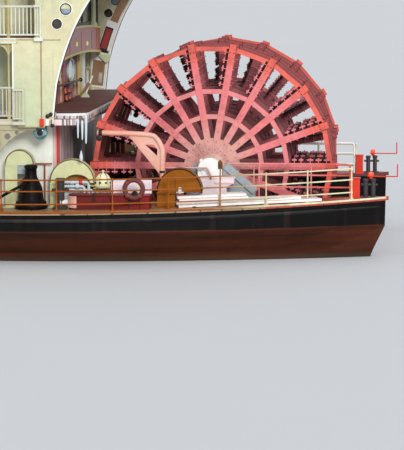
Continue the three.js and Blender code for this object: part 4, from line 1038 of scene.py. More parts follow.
# %% Turning a shape into the wheel
ARMS = 18
ARM_TIP = wheel_high.z - AXLE_Z
FRAME_OFF = np.array([2.01, 1.206, 0.402])
HALF_TURN = {"port": 0.0, "starboard": math.pi / ARMS}
SIDE = {"port": -1, "starboard": 1}


def round_the_wheel(shape, side, offs=(0.0,)):
    """Copies of a shape at each arm and each distance off the centreline: turn, then move to the axle."""
    angle = HALF_TURN[side] + FULL_TURN * np.arange(ARMS) / ARMS
    c, s, o, l = np.cos(angle), np.sin(angle), np.zeros(ARMS), np.ones(ARMS)
    turn = np.stack([np.stack([c, o, -s], 1), np.stack([o, l, o], 1), np.stack([s, o, c], 1)], axis=1)
    offs = np.asarray(offs, float)
    turns = np.repeat(turn, len(offs), axis=0)
    places = np.tile(xyz(AXLE_X, offs, AXLE_Z), (ARMS, 1))
    return copies(shape, places, turns)


# %% Arms, rings, flanges and bosses
ARM_HALF, ARM_THICK = 0.06, 0.04
RINGS = (2.123, 1.368, 0.921)
RING_BAR = 0.08
FLANGE_R = 0.49


def wheel_arms(side):
    """A tapered arm for each angle, with an iron strap folded round its tip."""
    arm = [[0.18, -0.03], [0.35, -0.056], [1.2, -ARM_HALF], [ARM_TIP, -ARM_HALF]]
    outline = np.array(arm + [[r, -t] for r, t in arm[::-1]])
    timber = plate(outline, -ARM_THICK, ARM_THICK, "y")
    return round_the_wheel(timber, side, SIDE[side] * FRAME_OFF)


def wheel_rings(side):
    """Each ring is a band between two eighteen-cornered outlines, with its corners on the arms."""
    parts = []
    for off in SIDE[side] * FRAME_OFF:
        for radius in RINGS:
            outer = circle_outline(AXLE_X, AXLE_Z, radius, ARMS, HALF_TURN[side])
            inner = circle_outline(AXLE_X, AXLE_Z, radius - RING_BAR, ARMS, HALF_TURN[side])
            parts.append(plate(outer, off - 0.03, off + 0.03, "y", inner))
    strap = boxes((1.93, -0.047, -0.067, 2.16, 0.047, -ARM_HALF),
        (1.93, -0.047, ARM_HALF, 2.16, 0.047, 0.067), (1.93, -0.047, -0.067, 2.16, -ARM_THICK, 0.067),
        (1.93, ARM_THICK, -0.067, 2.16, 0.047, 0.067))
    return joined(*parts, round_the_wheel(strap, side, SIDE[side] * FRAME_OFF))


def wheel_hubs(side):
    """A flange plate behind the arms, and a stepped boss turned about the shaft."""
    parts = []
    for off in SIDE[side] * FRAME_OFF:
        hole = circle_outline(AXLE_X, AXLE_Z, 0.1, 72)
        parts.append(plate(circle_outline(AXLE_X, AXLE_Z, FLANGE_R, 72), off - 0.034, off + 0.034, "y",
            hole))
        boss = [[0.1, -0.075], [0.15, -0.075], [0.158, -0.066], [0.205, -0.056], [0.225, -0.046],
            [0.225, 0.046], [0.205, 0.056], [0.158, 0.066], [0.15, 0.075], [0.1, 0.075]]
        parts.append(turned(boss, (AXLE_X, off, AXLE_Z), 48, "y", closed=True))
    return joined(*parts)


# %% Boards, cleats and bolts
BOARD_ROWS = np.array([[1.395, 1.498], [1.512, 1.615], [1.66, 1.79], [1.805, 1.935], [1.95, 2.075]])
BOARD_FACE, BOARD_THICK = ARM_HALF, 0.042
BOARD_ENDS = (0.055, 2.045)


def wheel_boards(side):
    """Five boards to an arm, each from beside the centreline to the outer frame."""
    s = SIDE[side]
    low = [[r0, s * BOARD_ENDS[0], BOARD_FACE] for r0, _ in BOARD_ROWS]
    high = [[r1, s * BOARD_ENDS[1], BOARD_FACE + BOARD_THICK] for _, r1 in BOARD_ROWS]
    return round_the_wheel(blocks(low, high), side)


def wheel_cleats(side):
    """A cleat over each board at each frame, on the board's face."""
    s = SIDE[side]
    face = BOARD_FACE + BOARD_THICK
    low = [[r0 + 0.012, s * (off - 0.045), face] for r0, _ in BOARD_ROWS
        for off in FRAME_OFF - [0.012, 0, 0]]
    high = [[r1 - 0.012, s * (off + 0.045), face + 0.026] for _, r1 in BOARD_ROWS
        for off in FRAME_OFF - [0.012, 0, 0]]
    return round_the_wheel(blocks(low, high), side)


def wheel_bolts(side):
    """Bolts along the shaft through arms, rings and flanges, and stirrup bolts round the arms."""
    s = SIDE[side]
    by_ring = ((-0.07, 0.03), (-0.07, -0.03), (0.03, 0.0))
    spots = [(radius - 0.04 + dr, dt) for radius in RINGS for dr, dt in by_ring]
    spots = [spot for spot in spots if spot[0] < 2.14]
    spots += [(0.44, 0.0), (0.3, 0.0), (2.02, 0.032), (2.02, -0.032)]
    spots = np.array(spots + [(r, 0.0) for r in (0.62, 0.78, 1.05, 1.2, 1.5, 1.62, 1.76, 1.88)])
    ends = xyz(spots[:, 0], 0.0, spots[:, 1])
    reach = np.where((spots[:, 0] > 1.93) & (spots[:, 0] < 2.16), 0.06, 0.053)[:, None] * [0, 1, 0]
    through = rods(ends - reach, ends + reach, 0.0135, 6)
    parts = [round_the_wheel(through, side, s * FRAME_OFF)]
    r = BOARD_ROWS.mean(axis=1)
    foot = np.array([[radius, s * (off + k), -0.078] for radius in r for off in FRAME_OFF
        for k in (-0.05, 0.034)])
    head = foot + [0, 0, 0.078 + BOARD_FACE + BOARD_THICK + 0.045]
    parts.append(round_the_wheel(rods(foot, head, 0.0085, 6), side))
    return joined(*parts)


# name: what makes it, its finish, the solid it takes the place of and the width of its rounded edges
WHEEL_PIECES = {
    "wheel_arms": (wheel_arms, "wheel_arm_paint", "wheel_frame", 0.006),
    "wheel_rings": (wheel_rings, "wheel_ring_paint", None, 0.0),
    "wheel_hubs": (wheel_hubs, "wheel_ring_paint", None, 0.0),
    "wheel_boards": (wheel_boards, "paddle_board_wet_wood", "wheel_paddles", 0.004),
    "wheel_cleats": (wheel_cleats, "wheel_cleat_paint", None, 0.003),
    "wheel_bolts": (wheel_bolts, "wheel_cleat_paint", None, 0.0),
}
for side in SIDE:
    for name, (make, finish, solid, bevel) in WHEEL_PIECES.items():
        replaces = [f"{solid}_{side}"] if solid else []
        put(f"{name}_{side}", make(side), finish, body="paddle_wheel", replaces=replaces, bevel=bevel)

# %% [markdown]
# ## The deck's own lines
#
# Rails and gear follow two curves: the deck's half breadth and its sheer. Both bend as parabolas from where
# the straight middle body ends. Written once as functions of x, they let whole arrays of points ride on the
# deck.

# %% Sheer and breadth
def sheer(x):
    """The deck's height: 0.90, plus 0.42 t^2 towards the bow and 0.15 t^2 towards the stern."""
    fore = np.clip((-7.0 - x) / 10.4, 0, None)
    aft = np.clip((x - 10.6) / 6.9, 0, None)
    return MAIN_Z + 0.42 * fore**2 + 0.15 * aft**2


def half_breadth(x, half=DECK_HALF):
    """Half the breadth at x: 0.15 + (half - 0.15)(1 - t^2.4) forward, and a parabola down to the well
    aft."""
    fore = np.clip((-6.5 - x) / 10.9, 0, 1)
    aft = np.clip((x - 10.6) / 6.9, 0, 1)
    bow = 0.15 + (half - 0.15) * (1 - fore**2.4)
    stern = WELL_HALF + (half - WELL_HALF) * (1 - aft**2)
    return np.where(x < -6.5, bow, stern)


def along_edge(x, inset, height):
    """Points over the port edge of the deck."""
    return xyz(x, -(half_breadth(x) - inset), sheer(x) + height)


def rounded(points, radius, each=6):
    """Straight runs from point to point, with a short parabola in place of each corner."""
    p = np.asarray(points, float)
    run = p[1:] - p[:-1]
    run /= np.linalg.norm(run, axis=1, keepdims=True)
    t = np.linspace(0, 1, each)[None, :, None]
    a, b, c = p[1:-1] - run[:-1] * radius, p[1:-1], p[1:-1] + run[1:] * radius
    bend = (1 - t) ** 2 * a[:, None] + 2 * t * (1 - t) * b[:, None] + t**2 * c[:, None]
    return np.concatenate([p[:1], bend.reshape(-1, 3), p[-1:]])


def put_pair(name, shape, finish, slot=None, body="boat", replaced=None, **options):
    """The port piece and its mirror image on the starboard side. In a body's name a star stands for the
    side."""
    for side, own in zip(SIDE, (shape, mirrored(shape))):
        replaces = [f"{replaced}_{side}"] if replaced else []
        put(f"{name}_{side}", own, finish, slot, body.replace("*", side), replaces=replaces, **options)


# %% [markdown]
# ## Rails
#
# Ships' rails are round bars threaded through the balls of turned stanchions. A square bar would catch the
# light in one flat stripe. Sweeping a small circle along the edge's curve costs little and gives the soft
# highlight.

# %% Edge rails with turned stanchions
RAIL_STEPS = (0.532, 0.34, 0.12)
EDGE_X = np.concatenate([np.linspace(-16.7, -6.6, 54), np.linspace(-6, 10.4, 16),
    np.linspace(10.7, AXLE_X + 2.46, 30)])
POST_X = np.concatenate([np.linspace(-16.7, 9.81, 29),
    AXLE_X + np.array([-3.44, -2.5, -1.56, -0.63, 0.24, 1.01, 1.71, 2.46])])


def stanchions(x):
    """One turned post, with a flange at its foot and a ball at each rail, copied along the edge."""
    ball = ((0.0135, -0.026), (0.021, -0.014), (0.021, 0.01), (0.0135, 0.02))
    profile = [[r, h + dh] for h in RAIL_STEPS[::-1] for r, dh in ball]
    post = turned([[0.046, -0.004], [0.046, 0.01], [0.02, 0.018], *profile, [0.008, 0.556]], sides=12)
    return copies(post, along_edge(x, 0.07, 0.0))


edge_rails = joined(*[tube(along_edge(EDGE_X, 0.07, h), 0.0125, 8) for h in RAIL_STEPS], stanchions(POST_X))
put_pair("edge_rails", edge_rails, "rail_rust_to_pale", replaced="main_rail")

# %% The nosing round the deck's edge
NOSING = [[0.01, -0.03], [0.01, 0.004], [-0.01, 0.004], [-0.016, -0.004], [-0.016, -0.022], [-0.01, -0.03]]
nosing_x = np.concatenate([np.linspace(-17.35, -6.6, 60), np.linspace(-6, 10.4, 12),
    np.linspace(10.7, 17.25, 40)])
put_pair("deck_nosing", swept(along_edge(nosing_x, 0.0, 0.0), NOSING, (0, 0, 1)), "rail_rust_to_pale")

# %% Rails beside the wheel well, bent down at their after end
WELL_Y = -2.26
well_top = rounded(
    [[14.46, WELL_Y, 1.1], [14.46, WELL_Y, 1.595], [16.63, WELL_Y, 1.595], [16.63, WELL_Y, 1.0]], 0.07)
well_mid = [np.linspace([14.46, WELL_Y, z], [16.63, WELL_Y, z], 3) for z in (1.4, 1.19)]
well_posts = np.array([[x, WELL_Y, 0.94] for x in (14.95, 15.04, 15.95)])
well_rails = joined(tube(well_top, 0.017, 10, up=(0, 1, 0)), *[tube(path, 0.015, 8) for path in well_mid],
    rods(well_posts, well_posts + [0, 0, 0.655], 0.014, 10),
    rods(well_posts, well_posts + [0, 0, 0.03], 0.04, 12))
put("well_guard_port", well_rails, "wheel_ring_paint", replaces=["well_rail_port"])
put("well_guard_starboard", mirrored(well_rails), "trim_white", "wheel_red",
    replaces=["well_rail_starboard"])
chest = boxes((16.66, -2.32, 1.0, 16.8, -2.2, 1.345), (16.65, -2.33, 1.345, 16.81, -2.19, 1.37),
    (16.655, -2.325, 1.0, 16.805, -2.195, 1.04))
put_pair("stern_chest", chest, "signal_red", bevel=0.004)
low_rail = rounded([[13.42, -2.75, 1.56], [14.17, -2.75, 1.56], [14.23, -2.75, 1.42], [14.23, -2.68, 1.36]],
    0.03)
put_pair("bearing_grab_rail", tube(low_rail, 0.016, 10, up=(0.3, 0.9, 0.2)), "wheel_ring_paint")

# %% [markdown]
# ## The shaft's bearings
#
# Each end of the shaft turns in a white pillow block with a round cap, on a stepped pedestal between
# sloping frames of grey plate. The cap is a plate with an arch for an outline and a bore round the shaft's
# end.

# %% Bearings
def arch_outline(x, half, foot, spring, count=40):
    """Up one side, over a half circle and down the other."""
    a = np.linspace(0, np.pi, count)
    curve = np.stack([x + half * np.cos(a), spring + half * np.sin(a)], axis=1)
    return np.concatenate([[[x + half, foot]], curve, [[x - half, foot]]])


def bolt_heads(points, radius, height, axis="y", sides=6):
    """Hexagon heads standing out along the axis, port side for y."""
    way = {"y": [0, -1, 0], "z": [0, 0, 1], "x": [1, 0, 0]}[axis]
    points = np.atleast_2d(np.asarray(points, float))
    return rods(points, points + np.array(way) * height, radius, sides)


cap_outline = arch_outline(AXLE_X, 0.2, 1.255, 1.507)
bore = ring_points(len(cap_outline), -1.0) * 0.096 + [AXLE_X, AXLE_Z]
cap_rim = arch_outline(AXLE_X, 0.212, 1.384, 1.507)
cap_gap = arch_outline(AXLE_X, 0.18, 1.384, 1.507)
cap = joined(plate(cap_outline, -2.36, -2.652, "y", bore),
    plate(circle_outline(AXLE_X, AXLE_Z, 0.15, 40), -2.652, -2.666),
    plate(cap_rim, -2.56, -2.6, "y", cap_gap), plate(circle_outline(14.05, 1.676, 0.026, 20), -2.5, -2.58))
put_pair("bearing_cap", cap, "trim_white", replaced="bearing", bevel=0.004)
block_outline = np.array([[-0.12, 0.9], [0.3, 0.9], [0.3, 1.225], [0.43, 1.285], [0.43, 1.383],
    [-0.21, 1.383], [-0.12, 1.29]])
pedestal = joined(plate(block_outline + [AXLE_X, 0], -2.3, -2.68),
    boxes((14.0, -2.71, 0.9, 14.58, -2.28, 0.945), (14.3, -2.705, 1.285, 14.62, -2.66, 1.33),
        (13.985, -2.692, 1.368, 14.64, -2.29, 1.39)))
put_pair("bearing_pedestal", pedestal, "bearing_white", bevel=0.005)
frame_outline = np.array([[-0.42, 0.9], [0.8, 0.9], [0.78, 1.13], [0.27, 1.575], [0.225, 1.575],
    [0.21, 1.395], [-0.22, 1.395], [-0.22, 1.6], [-0.27, 1.6], [-0.42, 1.1]])
ribs = bars([[14.54, -2.42, 0.92], [14.72, -2.42, 0.92], [13.86, -2.42, 0.92]],
            [[14.54, -2.42, 1.31], [14.72, -2.42, 1.15], [13.86, -2.42, 1.2]], 0.022, 0.03, up=(0, 1, 0))
slope = bars([14.47, -2.44, 1.572], [14.985, -2.44, 1.128], 0.13, 0.016, up=(0, 1, 0))
slope = joined(slope, bars([13.925, -2.44, 1.6], [13.785, -2.44, 1.1], 0.016, 0.12, up=(0, 1, 0)))
foot = blocks([13.76, -2.53, 0.9], [15.02, -2.33, 0.925])
put_pair("bearing_frame", joined(plate(frame_outline + [AXLE_X, 0], -2.34, -2.41), ribs, slope, foot),
    "bearing_blue_grey", bevel=0.003)
turn_angle = FULL_TURN * np.arange(8) / 8
foot_bolts = [[x, -2.695, 0.945] for x in (14.03, 14.15, 14.43, 14.55)]
frame_bolts = [[x, -2.41, z] for x, z in ((14.49, 0.98), (14.49, 1.1), (14.66, 0.98), (14.66, 1.1),
        (14.9, 0.98), (13.92, 0.98), (13.92, 1.1), (13.92, 1.24))]
heads = joined(bolt_heads(foot_bolts, 0.01, 0.016, "z"), bolt_heads(frame_bolts, 0.01, 0.012))
put_pair("bearing_bolts", heads, "fitting_iron")

# %% [markdown]
# ## Davits
#
# A davit is one thick bent bar. Its path is the same smooth curve as the solid's, swept with a round
# section, with a web plate in the bend, a block at the tip and a bolted flange at the foot. The davits
# turn, so they ride on bodies of their own.

# %% Davits
DAVIT_X, DAVIT_Y = AXLE_X - 0.8, -2.85
davit_foot = float(sheer(DAVIT_X + 0.1)) + 0.002
bend = np.array([[0, 1.8], [0, 1.88], [-0.09, 2.06], [-0.28, 2.14], [-1.13, 2.17]])
bend = curve_through(xyz(DAVIT_X + bend[:, 0], DAVIT_Y, bend[:, 1]), 10)
post_profile = [[0.094, 0], [0.094, 0.03], [0.062, 0.045], [0.056, 0.12], [0.046, 0.14], [0.046, 0.95],
    [0.02, 0.95]]
web = np.array([[0, 1.44], [0, 1.9], [-0.09, 2.06], [-0.24, 2.14], [-0.575, 2.16]])
web_inside = np.array([[-0.085, 1.77], [-0.085, 1.9], [-0.15, 1.97], [-0.22, 1.97], [-0.3, 1.97]])
gusset = plate(web + [DAVIT_X, 0], DAVIT_Y - 0.014, DAVIT_Y + 0.014, "y", web_inside + [DAVIT_X, 0])
lips = bars([[DAVIT_X, DAVIT_Y, 1.44]], [[DAVIT_X - 0.575, DAVIT_Y, 2.155]], 0.05, 0.018, up=(0, 1, 0))
davit = joined(turned(post_profile, (DAVIT_X, DAVIT_Y, davit_foot), 24),
    tube(bend, 0.045, 16, up=(0, 1, 0)), gusset, lips)
put_pair("davit_bar", davit, "davit_peach", body="*_davit", replaced="davit", bevel=0.003)
tip_x = DAVIT_X - 1.09
fittings = joined(
    turned([[0.052, -0.03], [0.056, 0], [0.052, 0.03]], (tip_x + 0.02, DAVIT_Y, 2.17), 20, "x"),
    blocks([tip_x - 0.028, DAVIT_Y - 0.03, 2.03], [tip_x + 0.028, DAVIT_Y + 0.03, 2.125]),
    turned([[0.04, -0.034], [0.052, -0.03], [0.052, 0.03], [0.04, 0.034]], (tip_x, DAVIT_Y, 2.075), 20,
        "y"),
    turned([[0.05, 0], [0.05, 0.04]], (DAVIT_X, DAVIT_Y, davit_foot + 0.55), 20),
    tube(xyz(DAVIT_X - 0.62 + 0.03 * np.cos(turn_angle), DAVIT_Y, 2.105 + 0.03 * np.sin(turn_angle)), 0.008,
        6, up=(0, 1, 0), closed=True),
    bolt_heads(
        xyz(DAVIT_X + 0.076 * np.cos(turn_angle), DAVIT_Y + 0.076 * np.sin(turn_angle), davit_foot + 0.028),
        0.009, 0.012, "z"))
put_pair("davit_fittings", fittings, "fitting_iron", body="*_davit")

# %% [markdown]
# ## Capstans and bitts
#
# A capstan's drum is a lathe shape, and its whelps are ribs that keep the rope from slipping. Each rib is a
# thin plate cut to the drum's own waist, copied round by turns. The head has sockets for the bars.

# %% Capstans
CAPSTAN_PROFILE = np.array([
    [0.02, 0.0], [0.25, 0.0], [0.276, 0.012], [0.28, 0.035], [0.278, 0.065], [0.262, 0.095], [0.232, 0.13],
    [0.205, 0.185], [0.196, 0.23], [0.192, 0.275], [0.188, 0.3], [0.18, 0.37], [0.16, 0.415], [0.142, 0.45],
    [0.128, 0.48], [0.112, 0.515], [0.094, 0.555], [0.088, 0.6], [0.09, 0.66], [0.1, 0.675], [0.106, 0.69],
    [0.108, 0.72], [0.104, 0.745], [0.08, 0.755], [0.02, 0.757],
])


def turns_about_z(count, start=0.0):
    """count turn matrices round the upright axis."""
    a = start + FULL_TURN * np.arange(count) / count
    c, s, o, l = np.cos(a), np.sin(a), np.zeros(count), np.ones(count)
    return np.stack([np.stack([c, -s, o], 1), np.stack([s, c, o], 1), np.stack([o, o, l], 1)], axis=1)


def capstan(x, y):
    """The drum, eight whelps up its waist, a ring of pawl teeth at its foot and four sockets in its
    head."""
    z = float(np.maximum(sheer(x - 0.25), sheer(x + 0.25))) + 0.001
    place = [x, y, z]
    waist = CAPSTAN_PROFILE[7:19]
    rib = np.concatenate([waist + [0.01, 0], waist[::-1] - [0.03, 0]])
    whelps = copies(plate(rib, -0.016, 0.016, "y"), [place] * 8, turns_about_z(8, 0.2))
    teeth = copies(blocks([0.235, -0.018, 0.1], [0.262, 0.018, 0.125]), [place] * 20, turns_about_z(20))
    collar = turned([[0.2, 0.3], [0.204, 0.306], [0.204, 0.322], [0.198, 0.33]], place, 48)
    sockets = copies(blocks([0.098, -0.018, 0.7], [0.114, 0.018, 0.732]), [place] * 6, turns_about_z(6))
    return joined(turned(CAPSTAN_PROFILE, place, 48), whelps, teeth, collar, sockets)


put_pair("capstan_drum", capstan(AXLE_X - 3.0, -3.42), "capstan_black", body="*_capstan",
    replaced="capstan", bevel=0.002)
put("capstan_drum_fore", capstan(-16.5, 0.0), "capstan_black", body="fore_capstan",
    replaces=["capstan_fore"], bevel=0.002)
lever = joined(bars([10.62, -3.745, 1.075], [11.19, -3.745, 1.385], 0.03, 0.05),
    boxes((10.6, -3.77, 0.9, 10.7, -3.72, 1.1), (10.54, -3.8, 0.9, 10.76, -3.69, 0.925)),
    rods([10.65, -3.78, 1.06], [10.65, -3.71, 1.06], 0.03, 14),
    rods([11.14, -3.745, 1.358], [11.24, -3.745, 1.412], 0.03, 12))
put_pair("capstan_brake_lever", lever, "capstan_black", bevel=0.003)
pipe_frame = rounded([[10.87, -3.06, 1.642], [11.385, -3.06, 1.642], [11.385, -3.06, 0.9]], 0.03)
pipe_frame = joined(tube(pipe_frame, 0.013, 10, up=(0, 1, 0)),
    rods([11.3, -3.06, 1.642], [11.515, -3.06, 1.642], 0.013),
    rods([11.385, -3.06, 0.9], [11.385, -3.06, 0.93], 0.05, 14))
put_pair("hood_pipe_frame", pipe_frame, "rail_rust_to_pale", "rust_red")

# %% Bitts
def bitt_head(radius):
    """A turned post with a mushroom cap and a bead at its foot."""
    return turned([[radius + 0.018, -0.01], [radius + 0.018, 0.02], [radius, 0.035], [radius, 0.455],
            [radius + 0.004, 0.47], [radius + 0.014, 0.484], [radius + 0.014, 0.52], [radius + 0.006, 0.53],
            [0.01, 0.532]], sides=32)


aft_bitt = [AXLE_X - 2.49, -3.44, float(sheer(AXLE_X - 2.49))]
aft_bitts = joined(copies(bitt_head(0.07), aft_bitt),
    blocks(np.array([-0.122, -0.162, -0.02]) + aft_bitt, np.array([0.122, 0.162, 0.04]) + aft_bitt),
    rods(np.array([-0.15, 0, 0.33]) + aft_bitt, np.array([0.15, 0, 0.33]) + aft_bitt, 0.022, 14))
put_pair("mooring_bitt", aft_bitts, "bitt_grey", replaced="bitts_aft", bevel=0.004)
fore_z = float(sheer(-15.7))
fore_bitts = joined(copies(bitt_head(0.078), [[-15.7, -1.15, fore_z], [-15.7, 1.15, fore_z]]),
    blocks([-15.83, -1.32, fore_z - 0.02], [-15.57, 1.32, fore_z + 0.04]),
    rods([[-15.88, y, fore_z + 0.33] for y in (-1.15, 1.15)],
        [[-15.52, y, fore_z + 0.33] for y in (-1.15, 1.15)], 0.024, 14))
put("fore_bitts", fore_bitts, "bitt_grey", replaces=["bitts_fore"], bevel=0.004)
stern_x = np.array([16.9, 17.03])
stern_z = sheer(stern_x)
stern_posts = xyz(stern_x, -2.3, stern_z - 0.01)
stern_bitts = joined(copies(turned([[0.052, 0], [0.052, 0.02], [0.04, 0.03], [0.04, 0.29], [0.05, 0.3],
                [0.05, 0.33], [0.01, 0.34]], sides=24), stern_posts),
    blocks([16.82, -2.37, 1.0], [17.11, -2.23, 1.045]),
    rods([16.82, -2.3, 1.25], [17.11, -2.3, 1.25], 0.02, 12))
put_pair("stern_bitts", stern_bitts, "bitt_grey", "black_iron", bevel=0.003)
staff = joined(rods([16.93, -2.3, 1.395], [17.46, -2.3, 1.395], 0.011, 8),
    rods([17.45, -2.3, 1.39], [17.45, -2.3, 1.61], 0.011, 8),
    turned([[0.03, 0], [0.03, 0.02], [0.036, 0.03], [0.036, 0.05]], (16.99, -2.3, 1.352), 20))
put_pair("stern_light_bracket", staff, "signal_red", "rust_red")
put_pair("stern_light", turned(
        [[0.034, 0], [0.046, 0.008], [0.05, 0.035], [0.044, 0.058], [0.02, 0.072], [0.005, 0.075]],
        (16.99, -2.3, 1.4), 24), "red_lamp_glass")

# %% [markdown]
# ## Ventilators
#
# Each ventilator is a flat-sided hood: a strip bent over a half circle, two cheeks, and a square trunk to
# the deck. The strip is one closed outline pushed sideways. The large one's outboard cheek is arched over
# its mouth, and shows the lining inside. The lining is a lighter tan than the hood's brown: painted light
# inside the shaded mouth.

# %% Hoods, rims and linings
SHEET, PROUD = 0.018, 0.001


def half_disc(x, z, radius, count=44):
    """A half circle over a short straight skirt, as an open line from its fore foot to its after foot."""
    a = np.linspace(np.pi, 0, count)
    curve = np.stack([x + radius * np.cos(a), z + radius * np.sin(a)], axis=1)
    return np.concatenate([[[x - radius, z - 0.02]], curve, [[x + radius, z - 0.02]]])


def hood(x, y, radius, height, wide, trunk, arch):
    """The strip is the space between two half discs. The cheeks close it, and the trunk stands in its fore
    end."""
    z = float(sheer(x)) + height
    out, inboard = -y - wide / 2, -y + wide / 2
    outer = half_disc(x, z, radius)
    strip = plate(np.concatenate([outer, half_disc(x, z, radius - SHEET)[::-1]]), out, inboard)
    cheek = outer
    if arch:
        a = np.linspace(0, np.pi, 16)
        reach = (1.8 * radius - trunk - SHEET) / 2
        middle = x - radius + trunk + SHEET + reach
        notch = np.stack([middle + reach * np.cos(a), z - 0.02 + (arch + 0.02) * np.sin(a)], axis=1)
        cheek = np.concatenate([outer, notch])
    inner_wall = x - radius + trunk
    rise = math.sqrt(max(0.0, (radius - 0.01) ** 2 - (inner_wall - x) ** 2))
    shell = joined(strip, plate(cheek, out, out + SHEET), plate(outer, inboard - SHEET, inboard),
        boxes((x - radius, out, MAIN_Z - 0.01, inner_wall, inboard, z - 0.02),
            (inner_wall - SHEET, out + 0.01, z - 0.05, inner_wall, inboard - 0.01, z + rise)))
    over = np.linspace(np.pi, 0, 40)
    arc = xyz(x + (radius + PROUD) * np.cos(over), 0.0, z + (radius + PROUD) * np.sin(over))
    beads = joined(*[tube(arc + [0, edge, 0], 0.0045, 6, up=(0, 1, 0))
        for edge in (out + 0.004, inboard - 0.004)])
    deck = float(sheer(x - radius + trunk / 2))
    flange = boxes(
        (x - radius - 0.028, out - 0.028, deck - 0.01, inner_wall + 0.028, inboard + 0.028, deck + 0.018),
        (x - radius - 0.007, out - 0.007, z - 0.045, inner_wall + 0.007, inboard + 0.007, z - 0.02))
    lining = plate(half_disc(x, z, radius - SHEET - PROUD), inboard - SHEET - 0.004, inboard - SHEET)
    return joined(shell, flange), beads, lining


# name: x, distance off the centreline, radius, height over the deck, breadth, trunk, arch over the mouth
VENTS = {
    "small": (AXLE_X - 3.226, 3.19, 0.25, 0.745, 0.15, 0.215, 0.0),
    "large": (AXLE_X - 2.32, 3.135, 0.385, 0.445, 0.18, 0.225, 0.125),
    "brown": (AXLE_X - 0.46, 3.2, 0.385, 0.28, 0.24, 0.312, 0.0),
}
for vent in ("small", "large"):
    shell, beads, lining = hood(*VENTS[vent])
    put_pair(f"{vent}_hood", shell, "ventilator_cream", replaced=f"vent_{vent}", bevel=0.003)
    put_pair(f"{vent}_hood_beads", beads, "batten_brown")
    put_pair(f"{vent}_hood_lining", lining, "hood_lining_lit_tan")
shell, beads, lining = hood(*VENTS["brown"])
put("brown_hood", shell, "ventilator_brown", replaces=["vent_brown_port"], bevel=0.003)
put("brown_hood_beads", beads, "fitting_iron")
put("brown_hood_seam",
    boxes((13.664, -3.325, 1.16, 13.672, -3.318, 1.42), (13.36, -3.325, 1.155, 13.67, -3.318, 1.163)),
    "fitting_iron")
put("brown_hood_damper", joined(turned([[0.03, -0.03], [0.055, -0.02], [0.055, 0.02], [0.03, 0.03]],
            (13.75, -3.34, 1.225), 20, "x"),
        blocks([13.69, -3.37, 1.19], [13.82, -3.31, 1.205])), "trim_white", bevel=0.002)
collar_x0, collar_x1 = 10.93, 11.22
collar = boxes((collar_x0, -3.24, 1.485, collar_x1, -3.13, 1.62),
    (collar_x0 - 0.01, -3.25, 1.478, collar_x1 + 0.01, -3.12, 1.492))
put_pair("small_hood_collar", collar, "bearing_blue_grey", bevel=0.003)
scoop = np.array([[10.95, 1.3], [11.22, 1.3], [11.22, 1.47], [11.14, 1.455], [11.06, 1.42], [10.99, 1.37],
    [10.95, 1.33]])
put_pair("small_hood_scoop", plate(scoop, -3.215, -3.12), "ventilator_brown", bevel=0.003)

# %% [markdown]
# ## The small gear along the side deck
#
# The picture is full of small things between the rail and the wheel: lockers, a lifebuoy, a dome lamp on
# its bracket, pipes, a lantern and a stack of planks. Each is a few turned, swept and flat shapes.

# %% Lockers with lids, straps and a round end
def locker_plan(x0, x1, out, inboard, grow=0.0, count=18):
    """A rectangle in plan whose fore end is a half circle."""
    a = np.linspace(np.pi / 2, 3 * np.pi / 2, count)
    middle, radius = (out + inboard) / 2, (inboard - out) / 2 + grow
    end = np.stack([x0 + radius * np.cos(a), middle + radius * np.sin(a)], axis=1)
    return np.concatenate([end, [[x1 + grow, out - grow], [x1 + grow, inboard + grow]]])


lock = (12.03, 13.25, -3.6, -3.265)
straps = np.array([12.3, 12.62, 12.94])
chest = joined(plate(locker_plan(*lock), 0.89, 1.14, "z"),
    plate(locker_plan(*lock, 0.014), 1.14, 1.165, "z"), plate(locker_plan(*lock, 0.01), 0.89, 0.935, "z"),
    blocks([12.568, -3.272, 0.9], [13.252, -3.238, 1.15]))
put_pair("side_locker", chest, "locker_oxide_red", replaced="locker", bevel=0.006)
board = boxes((12.57, -3.262, 1.15, 13.25, -3.238, 1.385), (12.56, -3.266, 1.375, 13.26, -3.234, 1.395),
    (12.56, -3.268, 1.16, 12.585, -3.232, 1.39), (13.225, -3.268, 1.16, 13.26, -3.232, 1.39))
put_pair("locker_back_board", board, "bearing_white", bevel=0.003)
strap_shape = joined(blocks(xyz(straps - 0.018, -3.62, 1.05), xyz(straps + 0.018, -3.612, 1.172)),
    blocks(xyz(straps - 0.018, -3.62, 1.164), xyz(straps + 0.018, -3.4, 1.172)),
    tube(rounded([[12.42, -3.605, 1.03], [12.42, -3.65, 1.03], [12.52, -3.65, 1.03], [12.52, -3.605, 1.03]],
            0.015), 0.007, 8,
        up=(0, 0, 1)),
    tube(rounded([[12.8, -3.605, 1.03], [12.8, -3.65, 1.03], [12.9, -3.65, 1.03], [12.9, -3.605, 1.03]],
            0.015), 0.007, 8,
        up=(0, 0, 1)))
put_pair("locker_straps", strap_shape, "fitting_iron")
end_band = locker_plan(12.0, 12.002, -3.6, -3.265, 0.004)
put_pair("locker_pale_end", plate(end_band, 0.937, 1.139, "z"), "davit_peach")
winch = joined(turned([[0.055, -0.07], [0.075, -0.065], [0.055, -0.05], [0.045, 0], [0.055, 0.05],
            [0.075, 0.065], [0.055, 0.07]],
        (11.78, -3.45, 1.02), 24, "x"),
    boxes((11.7, -3.48, 0.9, 11.715, -3.42, 1.04), (11.84, -3.48, 0.9, 11.855, -3.42, 1.04)))
put_pair("small_warping_drum", winch, "trim_white", bevel=0.002)
coaming = boxes((11.66, -3.03, 0.9, 12.52, -2.98, 1.185), (11.65, -3.04, 1.18, 12.53, -2.97, 1.2))
put_pair("engine_hatch_coaming", coaming, "pipe_blue_white", bevel=0.004)

# %% Lifebuoy with its bands and hooks
BUOY = np.array([12.995, -3.665, 1.279])
ring_angle = FULL_TURN * np.arange(48) / 48


